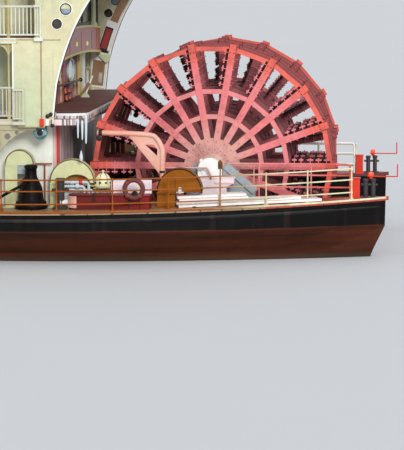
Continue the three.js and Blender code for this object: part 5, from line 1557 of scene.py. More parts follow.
def buoy_ring(radius, section, angles, closed=True):
    """A circle in the plane of the rail, swept with a slightly flat section."""
    path = xyz(BUOY[0] + radius * np.cos(angles), BUOY[1], BUOY[2] + radius * np.sin(angles))
    return swept(path, ring_points(16) * section, (0, 1, 0), closed)


put_pair("lifebuoy", buoy_ring(0.153, [0.042, 0.038], ring_angle), "lifebuoy_brown_red")
bands = [buoy_ring(0.153, [0.0445, 0.0405], start + np.linspace(-0.13, 0.13, 6), False)
    for start in (0.8, 2.36, 3.93, 5.5)]
put_pair("lifebuoy_bands", joined(*bands), "lifebuoy_band_red")
holder = joined(
    rods([[12.9, -3.6, 1.1], [13.09, -3.6, 1.1]], [[12.9, -3.7, 1.1], [13.09, -3.7, 1.1]], 0.01, 8),
    rods([[12.9, -3.605, 0.93], [13.09, -3.605, 0.93]], [[12.9, -3.605, 1.15], [13.09, -3.605, 1.15]],
        0.009, 8))
put_pair("lifebuoy_hooks", holder, "fitting_iron")
bell = turned([[0.055, 0], [0.06, 0.015], [0.045, 0.045], [0.02, 0.065], [0.006, 0.07]],
    (12.995, -3.52, 1.165), 24)
put_pair("locker_vent_cap", bell, "fitting_iron")

# %% Dome lamp, pipes and their valve
dome_at = (12.4, -3.1, 1.235)
dome = joined(turned([[0.1, 0], [0.145, 0.012], [0.15, 0.04], [0.148, 0.09], [0.138, 0.14], [0.118, 0.19],
            [0.088, 0.23], [0.05, 0.255], [0.024, 0.262], [0.022, 0.285], [0.03, 0.295], [0.012, 0.31]],
        dome_at, 36),
    turned([[0.152, 0.028], [0.16, 0.034], [0.16, 0.052], [0.152, 0.058]], dome_at, 36))
put_pair("dome_lamp", dome, "dome_pale_yellow")
slots = copies(blocks([0.128, -0.018, 0.085], [0.152, 0.018, 0.115]), [dome_at] * 9, turns_about_z(9, 0.3))
cage = [tube(xyz(dome_at[0] + 0.154 * np.cos(t) * np.cos(a), dome_at[1] + 0.154 * np.sin(t) * np.cos(a),
            dome_at[2] + 0.04 + 0.235 * np.sin(a)), 0.0045, 6,
        up=(-math.sin(t), math.cos(t), 0))
    for t in (0.2, 1.25, 2.3, 3.34, 4.4, 5.44) for a in [np.linspace(0, 1.45, 10)]]
put_pair("dome_lamp_slots", joined(slots, *cage), "fitting_iron")
struts = joined(bars([[12.02, -3.1, 1.31], [12.3, -3.1, 1.24]], [[12.3, -3.1, 1.26], [12.3, -3.1, 0.93]],
        0.035, 0.022, up=(0, 1, 0)),
    rods([12.5, -3.1, 0.93], [12.5, -3.1, 1.25], 0.014, 10),
    blocks([12.24, -3.16, 1.222], [12.56, -3.04, 1.24]))
put_pair("dome_lamp_bracket", struts, "trim_yellow", bevel=0.002)
pipe_y = -3.14
pipes = joined(*[tube(
            rounded([[11.68, pipe_y + dy, z], [x1, pipe_y + dy, z], [x1, pipe_y + dy, 0.92]], 0.05), r, 12,
            up=(0, 1, 0))
        for z, x1, r, dy in ((1.335, 12.16, 0.027, 0.0), (1.262, 12.08, 0.024, 0.0),
            (1.205, 12.22, 0.018, 0.02))],
    *[turned([[r + 0.022, -0.014], [r + 0.022, 0.014]], (x, pipe_y, z), 18, "x")
        for x, z, r in ((11.86, 1.335, 0.027), (11.889, 1.335, 0.027), (11.95, 1.262, 0.024),
            (11.979, 1.262, 0.024))])
put_pair("side_deck_pipes", pipes, "pipe_blue_white")
valve = joined(turned([[0.05, 0], [0.056, 0.006], [0.05, 0.012], [0.04, 0.008]], (12.02, pipe_y, 1.405), 24,
        "z", closed=True),
    rods([12.02, pipe_y, 1.33], [12.02, pipe_y, 1.415], 0.008, 8),
    blocks([11.97, pipe_y - 0.006, 1.407], [12.07, pipe_y + 0.006, 1.415]),
    turned([[0.035, -0.03], [0.042, -0.012], [0.042, 0.012], [0.035, 0.03]], (12.02, pipe_y, 1.335), 18,
        "x"))
put_pair("pipe_valve", valve, "signal_red")

# %% Lantern on a rail post, and the stack of planks
LANTERN_Y = float(-(half_breadth(np.array(14.44)) - 0.07))
lantern = joined(turned(
        [[0.034, 0], [0.04, 0.006], [0.04, 0.016], [0.03, 0.02], [0.036, 0.026], [0.036, 0.03]],
        (14.44, LANTERN_Y, 1.6), 20),
    turned([[0.04, 0], [0.044, 0.006], [0.03, 0.026], [0.012, 0.04], [0.012, 0.052], [0.003, 0.056]],
        (14.44, LANTERN_Y, 1.706), 20),
    rods([[14.44 + dx, LANTERN_Y + dy, 1.626]
            for dx, dy in ((0.037, 0), (-0.037, 0), (0, 0.037), (0, -0.037))],
        [[14.44 + dx, LANTERN_Y + dy, 1.708]
            for dx, dy in ((0.037, 0), (-0.037, 0), (0, 0.037), (0, -0.037))], 0.0045, 6),
    rods([14.44, LANTERN_Y, 1.44], [14.44, LANTERN_Y, 1.602], 0.011, 10))
put_pair("rail_lantern", lantern, "ventilator_brown")
put_pair("rail_lantern_glass",
    turned([[0.028, 0], [0.032, 0.02], [0.032, 0.06], [0.028, 0.082]], (14.44, LANTERN_Y, 1.626), 20),
    "porthole_brown_glass")
layer = np.arange(4)
fore_end = np.array([0.0, -0.035, 0.012, -0.022])
near_a = xyz(13.72 + fore_end, -3.34, 0.957 + 0.05 * layer)
reach = np.array([2.42, 2.1, 1.16, 1.16])
near_b = near_a + reach[:, None] * [1.0, 0.235, 0.032]
stack = joined(bars(near_a, near_b, 0.15, 0.046),
    bars(near_a + [0.04, 0.165, 0], near_b + [-0.06, 0.165, 0], 0.15, 0.046))
put_pair("plank_stack", stack, "plank_pale_rose", bevel=0.005)
bearers = bars([[14.0, -3.36, 0.932], [14.7, -3.18, 0.948]], [[14.0, -3.02, 0.932], [14.7, -2.85, 0.948]],
    0.07, 0.05)
put_pair("plank_bearers", bearers, "fitting_iron", bevel=0.004)

# %% [markdown]
# ## The after end of the house
#
# Between two curved screens lies the after end of the decks: a rose bulkhead, a cambered panel with two
# lamps, and striped boards below. The screens' edges are set off by white bands. A band is the space
# between the edge's curve and the same curve moved along its normals.

# %% The screens' edge curve and its bands
EDGE = np.array([[2.58, 2.48], [2.52, 3.04], [2.4, 3.49], [2.21, 3.99], [1.95, 4.46], [1.64, 4.88],
    [1.4, 5.2]])
edge_curve = np.concatenate([EDGE[:1], curve_through(EDGE[1:], 10)])
edge_curve = np.stack([AXLE_X - edge_curve[:, 0], edge_curve[:, 1]], axis=1)


def moved_line(line, distance):
    """The line moved to its right-hand side, each point along the normal of its neighbours' chord."""
    tangent = np.gradient(line, axis=0)
    tangent /= np.linalg.norm(tangent, axis=1, keepdims=True)
    return line + distance * np.stack([tangent[:, 1], -tangent[:, 0]], axis=1)


def edge_band(near, far, y0, y1, line=edge_curve):
    """A strip that follows the screen's after edge, from near to far aft of it."""
    return plate(np.concatenate([moved_line(line, near), moved_line(line, far)[::-1]]), y0, y1)


put_pair("screen_edge_band", edge_band(-0.026, 0.003, -3.578, -3.486), "edge_band_white", bevel=0.003)
put_pair("screen_edge_shadow_strip", edge_band(0.003, 0.011, -3.566, -3.494), "fitting_iron")
inner_band = edge_band(-0.2, -0.05, -3.495, -3.488, edge_curve[18:])
put_pair("screen_inner_band", inner_band, "tan_trim")
put_pair("screen_inner_edge", edge_band(-0.212, -0.2, -3.499, -3.482, edge_curve[24:]), "ventilator_brown")

# %% Portholes: rims, gaskets and glass
PORTS = np.array([[AXLE_X - 2.36, 4.31, 0.105], [AXLE_X - 2.51, 4.06, 0.09]])


def port_ring(inner, outer, depth0, depth1, x, z):
    """A round rim with chamfered edges, standing in a wall that faces port."""
    profile = [[inner, depth0], [outer - 0.006, depth0], [outer, depth0 + 0.006], [outer, depth1 - 0.006],
               [outer - 0.006, depth1], [inner + 0.006, depth1], [inner, depth1 - 0.006]]
    return turned(profile, (x, 0, z), 40, "y", closed=True)


rims = joined(*[port_ring(r - 0.004, r + 0.01, -3.572, -3.556, x, z) for x, z, r in PORTS],
              *[port_ring(r - 0.004, r + 0.01, -3.504, -3.488, x, z) for x, z, r in PORTS])
put_pair("porthole_rims", rims, "edge_band_white")
gaskets = joined(*[port_ring(r - 0.02, r - 0.004, -3.569, -3.491, x, z) for x, z, r in PORTS])
put_pair("porthole_gaskets", gaskets, "fitting_iron")
panes = [plate(circle_outline(x, z, r - 0.02, 36), -3.545, -3.535) for x, z, r in PORTS]
put_pair("upper_porthole_glass", panes[0], "porthole_blue_glass")
put_pair("lower_porthole_glass", panes[1], "porthole_brown_glass")
blind_angle = np.linspace(0, np.pi, 20)
blind = np.stack(
    [PORTS[0, 0] + 0.086 * np.cos(blind_angle), PORTS[0, 1] + 0.006 + 0.08 * np.sin(blind_angle)], axis=1)
put_pair("porthole_blind", plate(blind, -3.556, -3.546), "cream_house_paint")
hinges = [blocks([x - 0.008, -3.578, z + s * r], [x + 0.008, -3.568, z + s * (r + 0.018)])
    for x, z, r in PORTS for s in (-1, 1)]
put_pair("porthole_hinges", joined(*hinges), "cream_house_paint")

# %% Battens and seams on the screens
seams = boxes((11.405, -3.572, 2.32, 11.423, -3.556, 3.8), (11.01, -3.57, 3.785, 11.75, -3.556, 3.797),
    (11.3, -3.568, 3.797, 11.31, -3.556, 5.1), (11.01, -3.568, 2.305, 11.45, -3.556, 2.318))
put_pair("screen_battens", seams, "batten_brown", bevel=0.002)
foot_items = boxes((11.485, -3.6, 2.34, 11.545, -3.56, 2.45), (11.6, -3.6, 2.37, 11.62, -3.52, 2.47))
put_pair("screen_foot_white_box", foot_items, "bearing_white", bevel=0.004)
put_pair("screen_foot_red_box", blocks([11.385, -3.605, 2.325], [11.455, -3.56, 2.455]), "signal_red",
    bevel=0.006)
dials = joined(*[facing_port([[0.03, 0], [0.036, 0.008], [0.036, 0.03], [0.02, 0.04]], (x, -3.56, z), 20)
                 for x, z in ((11.6, 2.345), (11.52, 2.5), (11.575, 2.53))])
put_pair("screen_foot_dials", dials, "fitting_iron")

# %% The side lamp under the boiler deck
lamp_at = (11.36, -3.3, 2.205)
lamp = facing_port([[0.05, -0.06], [0.085, -0.05], [0.112, -0.01], [0.119, 0.03], [0.121, 0.08],
        [0.116, 0.088], [0.11, 0.084], [0.108, 0.07], [0.01, 0.07]], lamp_at, 40)
lens = facing_port([[0.112, 0.083], [0.1, 0.092], [0.07, 0.108], [0.045, 0.116], [0.01, 0.12]], lamp_at, 36)
inner_disc = facing_port([[0.052, 0.108], [0.052, 0.121], [0.03, 0.127], [0.005, 0.128]], lamp_at, 30)
bracket = joined(bars([[11.27, -3.3, 2.2], [11.45, -3.3, 2.2]],
        [[11.27, -3.3, 2.345], [11.45, -3.3, 2.345]], 0.012, 0.03, up=(1, 0, 0)),
    rods([11.25, -3.3, 2.205], [11.47, -3.3, 2.205], 0.014, 12))
put_pair("side_lamp_housing", joined(lamp, bracket), "lamp_teal_paint")
put_pair("side_lamp_lens", lens, "lamp_teal_glass")
put_pair("side_lamp_disc", inner_disc, "fitting_iron")

# %% [markdown]
# ## Bulkhead, panel and boards
#
# The bulkhead is dressed with vertical boards, and the wall below with narrow boards of many tones. Each
# row is one shape: a table of widths becomes a table of blocks. The lower wall's rounded corners carry
# boards whose plan is a piece of the corner's own arc.

# %% The rose bulkhead
WALL_X = 11.35


def wall_boards(y_from, y_to, z0, z1, width, x, thick, gap=0.004, keep_out=()):
    """Upright boards side by side on a wall that faces aft. Boards that meet a keep-out span are
    dropped."""
    edges = np.arange(y_from, y_to + 1e-6, width)
    low, high = edges[:-1] + gap / 2, edges[1:] - gap / 2
    free = np.ones(len(low), bool)
    for a, b in keep_out:
        free &= (high < a) | (low > b)
    low, high = low[free], high[free]
    return blocks(xyz(x, low, z0), xyz(x + thick, high, z1))


DOORWAYS = ((-1.17, -0.71), (0.71, 1.17))
rose_boards = wall_boards(-2.4, 1.36, 2.56, 3.7, 0.118, WALL_X, 0.012, keep_out=DOORWAYS)
rose_boards = joined(rose_boards, wall_boards(-1.17, -0.71, 3.585, 3.7, 0.115, WALL_X, 0.012))
put("bulkhead_boards_rose", rose_boards, "bulkhead_rose", bevel=0.002)
white_boards = joined(wall_boards(1.78, 2.46, 2.56, 3.7, 0.112, WALL_X, 0.012),
    wall_boards(0.71, 1.17, 3.585, 3.7, 0.115, WALL_X, 0.012))
put("bulkhead_boards_white", white_boards, "trim_white", bevel=0.002)
posts = boxes((WALL_X, 1.38, 2.55, WALL_X + 0.05, 1.76, 3.71),
    (WALL_X, -2.6, 3.66, WALL_X + 0.03, 2.6, 3.715))
put("bulkhead_posts", posts, "trim_yellow", bevel=0.006)
door_frames = joined(*[boxes((WALL_X, a - 0.035, 2.55, WALL_X + 0.035, a + 0.01, 3.6),
        (WALL_X, b - 0.01, 2.55, WALL_X + 0.035, b + 0.035, 3.6),
        (WALL_X, a - 0.035, 3.575, WALL_X + 0.035, b + 0.035, 3.61))
    for a, b in ((-1.166, -0.714), (0.714, 1.166))])
put("aft_door_frames", door_frames, "bulkhead_rose", "brown_paint", bevel=0.004)
oval = np.stack([0.27 + 0.42 * np.cos(blind_angle * 2), 3.085 + 0.225 * np.sin(blind_angle * 2)],
    axis=1)[:-1]
oval_in = np.stack([0.27 + 0.38 * np.cos(blind_angle * 2), 3.085 + 0.19 * np.sin(blind_angle * 2)],
    axis=1)[:-1]
put("oval_window_rim", plate(oval, WALL_X, WALL_X + 0.045, "x", oval_in), "pipe_blue_white", bevel=0.004)
put("oval_window_glass", plate(oval_in, WALL_X + 0.005, WALL_X + 0.024, "x"), "oval_pale_glass")
put("oval_window_catch", turned([[0.03, 0], [0.036, 0.006], [0.03, 0.012], [0.024, 0.006]],
        (WALL_X + 0.045, 0.18, 2.925), 20, "x", closed=True), "trim_yellow")
hand_y = np.linspace(-2.45, 0.96, 12)
hand = xyz(WALL_X + 0.12, hand_y, 2.885 - 0.016 * hand_y)
brackets = np.array([-2.3, -1.75, -1.2, -0.62, -0.05, 0.5, 0.9])
brace_a = xyz(WALL_X, brackets, 2.86 - 0.016 * brackets)
brace_b = xyz(WALL_X + 0.12, brackets, 2.885 - 0.016 * brackets)
put("bulkhead_handrail", joined(tube(hand, 0.019, 10), rods(brace_a, brace_b, 0.009, 8),
        turned([[0.03, -0.03], [0.04, 0], [0.03, 0.03]], (WALL_X + 0.12, 0.96, 2.87), 16, "y")),
    "fitting_iron")
ladder = bars([[WALL_X + 0.1, -0.69, 2.55], [WALL_X + 0.1, -0.27, 2.55]],
    [[WALL_X + 0.04, -0.69, 2.88], [WALL_X + 0.04, -0.27, 2.88]], 0.055, 0.03, up=(1, 0, 0))
put("step_ladder_uprights", ladder, "ladder_orange", bevel=0.004)
rung = np.array([2.575, 2.7, 2.84])
put("step_ladder_rungs",
    blocks(xyz(WALL_X + 0.045, -0.75, rung - 0.012), xyz(WALL_X + 0.125, -0.21, rung + 0.012)),
    "fitting_iron", bevel=0.002)

# %% Slanting wind boards on the landing, and the bays inside the screens
BOARD_Y = 0.8
boards_low = np.array([[11.49, BOARD_Y, 2.552], [11.565, BOARD_Y + 0.03, 2.552]])
boards_high = np.array([[11.655, BOARD_Y, 2.82], [11.715, BOARD_Y + 0.03, 2.955]])
put("wind_board_tan", bars(boards_low[:1], boards_high[:1], 0.03, 0.06, up=(1, 0, 0)), "tan_trim",
    bevel=0.003)
put("wind_board_white", bars(boards_low[1:], boards_high[1:], 0.03, 0.028, up=(1, 0, 0)), "edge_band_white",
    bevel=0.003)
foot = np.array([[11.5, 2.55], [11.66, 2.55], [11.63, 2.6], [11.58, 2.64], [11.53, 2.6]])
put("wind_board_foot", plate(foot, BOARD_Y - 0.06, BOARD_Y + 0.08), "cream_house_paint", bevel=0.004)


def inside_strip(z0, z1, near, far, y0, y1):
    """A piece of the band that follows the screen's edge, between two levels: the line is cut at both
    levels, then moved near and far."""
    levels = np.linspace(z0, z1, 8)
    line = np.stack([np.interp(levels, edge_curve[:, 1], edge_curve[:, 0]), levels], axis=1)
    return edge_band(near, far, y0, y1, line)


bay = inside_strip(3.28, 3.72, -0.245, -0.085, -3.495, -3.47)
put_pair("screen_bay_frame", joined(bay, inside_strip(3.25, 3.285, -0.26, -0.05, -3.495, -3.46)),
    "fitting_iron")
put_pair("screen_bay_red", inside_strip(3.31, 3.69, -0.225, -0.105, -3.472, -3.462), "door_red_paint",
    bevel=0.003)
cream_bracket = np.array([[11.44, 3.24], [11.74, 3.24], [11.72, 3.1], [11.64, 3.06], [11.58, 3.12],
    [11.5, 3.2]])
put_pair("screen_bracket", plate(cream_bracket, -3.495, -3.44), "cream_house_paint", bevel=0.006)
put_pair("screen_lower_panel", inside_strip(2.6, 3.08, -0.3, -0.055, -3.495, -3.478), "tan_trim",
    bevel=0.004)
put_pair("screen_lower_panel_light", inside_strip(2.66, 2.86, -0.16, -0.09, -3.478, -3.47),
    "board_pale_grey", bevel=0.003)

# %% A board that lengthens each screen forward, and partitions inside the upper gallery's end
put_pair("screen_fore_board", blocks([10.935, -3.556, 2.44], [11.012, -3.504, 3.72]), "cream_house_paint",
    bevel=0.002)
put_pair("screen_fore_edge", blocks([10.915, -3.56, 2.44], [10.937, -3.5, 3.72]), "edge_band_white",
    bevel=0.003)
partition = boxes((10.4, -2.46, 3.82, 11.45, -2.43, 5.1), (10.4, -2.475, 3.82, 11.45, -2.415, 3.93),
    (10.4, -2.475, 5.02, 11.45, -2.415, 5.1))
put_pair("gallery_partition", partition, "cream_house_paint", bevel=0.003)
partition_door = boxes((10.62, -2.478, 3.86, 10.66, -2.46, 4.86), (11.02, -2.478, 3.86, 11.06, -2.46, 4.86),
    (10.62, -2.478, 4.83, 11.06, -2.46, 4.87))
put_pair("gallery_partition_door", partition_door, "column_ochre", "brown_paint", bevel=0.003)

# %% The cambered panel's mouldings and lamps
panel_y = np.linspace(-3.43, 3.43, 41)
camber = 0.11 * (1 - (panel_y / 3.44) ** 2)
MOULD = np.array([[-0.018, -0.022], [0.018, -0.022], [0.022, 0.0], [0.018, 0.022], [-0.018, 0.022]])


def panel_line(z):
    """A line over the panel's breadth that rises to the middle as the camber does."""
    return xyz(FASCIA_X + 0.008, panel_y, z + camber)


put("panel_top_moulding", swept(panel_line(3.775), MOULD, (0, 0, 1)), "trim_yellow", "white_paint")
put("panel_foot_moulding", swept(panel_line(3.3), MOULD, (0, 0, 1)), "trim_yellow")
seam_y = np.array([-2.6, -1.75, -0.9, 0.65, 2.15, 2.9])
put("panel_seams", blocks(xyz(FASCIA_X, seam_y - 0.008, 3.42),
        xyz(FASCIA_X + 0.004, seam_y + 0.008, 3.74 + 0.05 * (1 - (seam_y / 3.44) ** 2))),
    "locker_oxide_red")
capsule = [[0.004, -0.05], [0.03, -0.044], [0.042, -0.025], [0.044, 0], [0.042, 0.025], [0.03, 0.044],
    [0.004, 0.05]]
lamp_shapes = [scaled(turned(capsule, sides=20), [0.5, 0.75, 0.9], [FASCIA_X + 0.012, y, z]) for y, z in
               ((-0.07, 3.58), (1.39, 3.54), (-1.5, 3.56))]
put("panel_lamps", joined(*lamp_shapes), "yellow_lamp_glass")

# %% Glazed windbreak over the panel
WIND_X = 11.47
wind_edges = np.array([-3.38, -2.26, -1.12, 0.0, 1.14, 2.28, 3.38])
wind_frame = joined(boxes((WIND_X - 0.02, -3.4, 3.82, WIND_X + 0.03, 3.4, 3.94),
        (WIND_X - 0.02, -3.4, 4.5, WIND_X + 0.03, 3.4, 4.54)),
    blocks(xyz(WIND_X - 0.015, wind_edges - 0.02, 3.9), xyz(WIND_X + 0.025, wind_edges + 0.02, 4.54)))
put("windbreak_frame", wind_frame, "fitting_iron", bevel=0.003)
put("windbreak_glass", blocks([WIND_X - 0.004, -3.38, 3.92], [WIND_X + 0.008, 3.38, 4.52]),
    "windbreak_green_glass")
post_at = np.array([[WIND_X + 0.07, y, 3.84] for y in (-2.3, 2.3)])
wind_post = turned([[0.085, 0], [0.085, 0.05], [0.055, 0.075], [0.048, 0.11], [0.045, 0.6], [0.045, 1.15],
        [0.06, 1.19], [0.075, 1.22], [0.075, 1.255]], sides=20)
put("windbreak_posts", copies(wind_post, post_at), "cream_house_paint")

# %% Striped boards on the main house's after wall
HOUSE_X, HOUSE_HALF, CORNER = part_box("main_house")[1].x, 3.0, 0.25
straight = 2 * (HOUSE_HALF - CORNER)
arc_length = CORNER * math.radians(56)
total = straight + 2 * arc_length


def corner_path(s, out):
    """The point s along the wall, from part way round the port corner to the same place to starboard, out
    from it: angle = (s - arc) / radius on the corners, and y = s on the flat."""
    s = np.asarray(s, float)
    port = np.clip(arc_length - s, 0, None) / CORNER
    star = np.clip(s - arc_length - straight, 0, None) / CORNER
    y = np.clip(s - arc_length, 0, straight) - straight / 2
    turn_by = port + star
    sign = np.where(port > 0, -1, 1)
    x = HOUSE_X - CORNER + (CORNER + out) * np.cos(turn_by)
    return np.stack([x, y + sign * (CORNER + out) * np.sin(turn_by)], axis=1)


# The widths repeat: a broad pale board, a narrow dark one, a pale one and a brown one
BOARD_ORDER = (("board_pale_pink", 0.125, 0.016), ("board_grey_mauve", 0.062, 0.01),
               ("board_pale_grey", 0.1, 0.014), ("board_brown", 0.07, 0.011))
board_width = np.tile([width for _, width, _ in BOARD_ORDER], 40)
board_edge = np.concatenate([[0.0], np.cumsum(board_width)])
board_edge = board_edge[board_edge < total]


def striped_boards(which, thick):
    """The boards of one colour, each a slice of the wall's own line between two edges."""
    parts = []
    for start, end in zip(board_edge[which:-1:4], board_edge[which + 1::4]):
        s = np.linspace(start + 0.004, end - 0.004, 5)
        parts.append(plate(np.concatenate([corner_path(s, 0.0), corner_path(s[::-1], thick)]), 0.93, 2.335,
            "z"))
    return joined(*parts)


for which, (finish, _, thick) in enumerate(BOARD_ORDER):
    put(finish.replace("board", "wall_boards"), striped_boards(which, thick), finish, "cream_paint",
        bevel=0.002)
pipe_at = np.array([[11.6, -2.93], [11.6, 2.93]])
put("wall_red_pipes",
    rods(np.column_stack([pipe_at, [0.93, 0.93]]), np.column_stack([pipe_at, [2.34, 2.34]]), 0.022, 12),
    "signal_red")
dark_door = boxes((HOUSE_X, -1.3, 0.96, HOUSE_X + 0.03, -0.35, 2.1),
    (HOUSE_X, 0.35, 0.96, HOUSE_X + 0.03, 1.3, 2.1))
put("wall_dark_doors", dark_door, "board_mauve_dark", bevel=0.005)
fender = turned([[0.012, -0.36], [0.02, -0.34], [0.03, -0.2], [0.036, -0.05], [0.036, 0.0], [0.016, 0.03],
        [0.006, 0.04]], sides=16)
fenders = joined(scaled(fender, [0.55, 0.55, 0.85], [12.03, -3.52, 2.43]),
    scaled(fender, [0.6, 0.6, 0.85], [12.1, -3.5, 2.4]),
    scaled(fender, [0.75, 0.75, 1.3], [12.15, -3.4, 2.49]))
put_pair("hanging_fenders", fenders, "pipe_blue_white")
hooks = rods([[12.03, -3.49, 2.445], [12.1, -3.46, 2.415], [12.145, -3.28, 2.53]],
             [[12.03, -3.525, 2.46], [12.1, -3.505, 2.43], [12.15, -3.405, 2.54]], 0.006, 6)
put_pair("fender_hooks", hooks, "fitting_iron")
pear = turned([[0.006, -0.09], [0.022, -0.075], [0.032, -0.04], [0.03, 0.0], [0.018, 0.05], [0.008, 0.09],
        [0.006, 0.1]],
    (12.06, -3.36, 1.8), 18)
put_pair("hanging_pear", pear, "pipe_blue_white")
pear_hanger = joined(rods([12.06, -3.36, 1.88], [12.1, -3.37, 2.36], 0.004, 6),
    blocks([12.08, -3.4, 2.335], [12.12, -3.29, 2.36]))
put_pair("pear_hanger", pear_hanger, "fitting_iron")

# %% [markdown]
# ## Galleries
#
# Along both upper decks run columns with turned feet and heads, curved brackets, a moulded rail and close
# balusters. There are hundreds of balusters, so each is a plain bar of twelve triangles from one table.

# %% Columns, brackets, rails and balusters
GALLERY_Y = -3.44
column_x = np.concatenate([np.linspace(-12.0, 10.84, 20), [11.33]])
BASE = [[0.034, 0.0], [0.034, 0.1], [0.024, 0.115], [0.027, 0.13], [0.022, 0.15]]
HEAD = [[0.02, -0.2], [0.028, -0.185], [0.021, -0.17], [0.023, -0.09], [0.036, -0.06], [0.036, 0.0]]
RAIL_SECTION = [[0.022, -0.016], [0.03, 0.004], [0.024, 0.016], [0.0, 0.021], [-0.024, 0.016],
    [-0.03, 0.004], [-0.022, -0.016]]


def bracket_shape(reach, drop):
    """A flat bracket with a quarter-round edge, hung under the beam."""
    t = np.linspace(np.pi, np.pi / 2, 8)
    curve = np.stack([reach + (reach - 0.02) * np.cos(t), -drop + (drop - 0.02) * np.sin(t)], axis=1)
    return plate(np.concatenate([curve, [[reach, 0.0], [0.018, 0.0]]]), -0.01, 0.01)


def gallery(x0, z0, z1):
    """One deck's port side: columns at column_x, everything else between x0 and the screen."""
    x = column_x[column_x > x0 - 0.05]
    tops = xyz(x, GALLERY_Y, z1)
    feet = xyz(x, GALLERY_Y, z0)
    height = z1 - z0
    profile = np.array(BASE + [[0.021, 0.5 * height]] + [[r, h + height] for r, h in HEAD])
    column = turned(profile, sides=12)
    y0, y1 = GALLERY_Y, -0.9
    rail_path = rounded([[11.34, y0, z0 + 0.53], [x0, y0, z0 + 0.53], [x0, y1, z0 + 0.53]], 0.05)
    foot_path = rounded([[11.34, y0, z0 + 0.05], [x0, y0, z0 + 0.05], [x0, y1, z0 + 0.05]], 0.05)
    side_x = np.arange(x0 + 0.06, 11.33, 0.066)
    cross_y = np.arange(y0 + 0.06, y1, 0.066)
    foot = np.concatenate([np.stack([side_x, np.full(len(side_x), y0)], 1),
        np.stack([np.full(len(cross_y), x0), cross_y], 1)])
    low = np.column_stack([foot, np.full(len(foot), z0 + 0.05)])
    balusters = bars(low, low + [0, 0, 0.475], 0.016, 0.016, up=(1, 0, 0))
    cross = np.array([[x0, -0.9, z0], [x0, -2.2, z0]])
    brackets = joined(copies(bracket_shape(0.22, 0.2), tops),
        copies(mirror_x(bracket_shape(0.22, 0.2)), tops))
    lower_rail = swept(foot_path, np.array(RAIL_SECTION) * 0.8, (0, 0, 1))
    frame_parts = joined(copies(column, np.concatenate([feet, cross])), brackets)
    return frame_parts, joined(swept(rail_path, RAIL_SECTION, (0, 0, 1)), lower_rail), balusters


for deck, x0, z0, z1 in (("boiler", -12.1, BOILER_Z, CABIN_Z - 0.1),
    ("cabin", -11.8, CABIN_Z, HURRICANE_Z - 0.1)):
    columns, rails, balusters = gallery(x0, z0, z1)
    put_pair(f"{deck}_gallery_columns", columns, "column_ochre", replaced=f"{deck}_gallery")
    put_pair(f"{deck}_gallery_rails", rails, "gallery_pale")
    put_pair(f"{deck}_gallery_balusters", balusters, "gallery_pale")


def gallery_end(x0, x1, foot, top):
    """The gallery's last bay, which stands in front of the screen: two rails, an end post and balusters."""
    y = -3.592
    rails = boxes((x0, y - 0.016, top - 0.034, x1, y + 0.016, top),
        (x0, y - 0.014, foot + 0.01, x1, y + 0.014, foot + 0.034),
        (x0, y - 0.03, foot - 0.085, x1 + 0.03, y + 0.03, foot - 0.03))
    post = boxes((x1 - 0.026, y - 0.016, foot - 0.03, x1, y + 0.032, top - 0.034),
        (x1 - 0.03, y - 0.02, top, x1 + 0.004, y + 0.02, top + 0.012))
    x = np.arange(x0 + 0.02, x1 - 0.04, 0.046)
    low = xyz(x, y, foot + 0.034)
    return joined(rails, post, bars(low, low + [0, 0, top - foot - 0.068], 0.014, 0.014, up=(1, 0, 0)))


put_pair("lower_gallery_end_bay", gallery_end(10.925, 11.118, 2.434, 2.961), "gallery_pale")
put_pair("upper_gallery_end_bay", gallery_end(11.3, 11.424, 3.857, 4.379), "gallery_pale")

# %% A white sheet inside each screen, along its curve: painted light for the screens' inner face, which lies in shade here but is lit by the boat's lamps
lining = joined(inside_strip(2.56, 3.24, -0.4, -0.035, -3.499, -3.487),
                inside_strip(3.3, 3.84, -0.262, -0.03, -3.499, -3.489),
                inside_strip(3.84, 4.05, -0.13, -0.03, -3.499, -3.489))
put_pair("screen_inner_lining", lining, "trim_white")

# %% [markdown]
# ## Windows, doors and trim of the cabins
#
# Cabins on a river steamer repeat one bay all along: a sash window, then a louvred door. So one window and
# one door are drawn in the plane y = 0, facing port, and a table of places copies them down both sides.
# Turned by a quarter they serve the fore and after walls too. Slats are bars from one table, because there
# are hundreds.

# %% One window and one louvred door
def window_shapes(width, height):
    """A sash window about the origin: a moulded frame with sill and drip board, two bars, and the pane."""
    w, h = width / 2, height / 2
    hole = rectangle(-w, -h, w, h)
    outline = rectangle(-w - 0.038, -h - 0.03, w + 0.038, h + 0.038)
    frame_shape = joined(plate(outline, -0.022, 0.0, "y", hole),
        boxes((-w - 0.055, -0.036, -h - 0.045, w + 0.055, 0, -h - 0.024),
            (-w - 0.052, -0.034, h + 0.03, w + 0.052, 0, h + 0.05), (-w, -0.014, -0.012, w, 0, 0.012),
            (-0.008, -0.012, -h, 0.008, 0, h)))
    return frame_shape, blocks([-w - 0.003, -0.007, -h - 0.003], [w + 0.003, 0.001, h + 0.003])


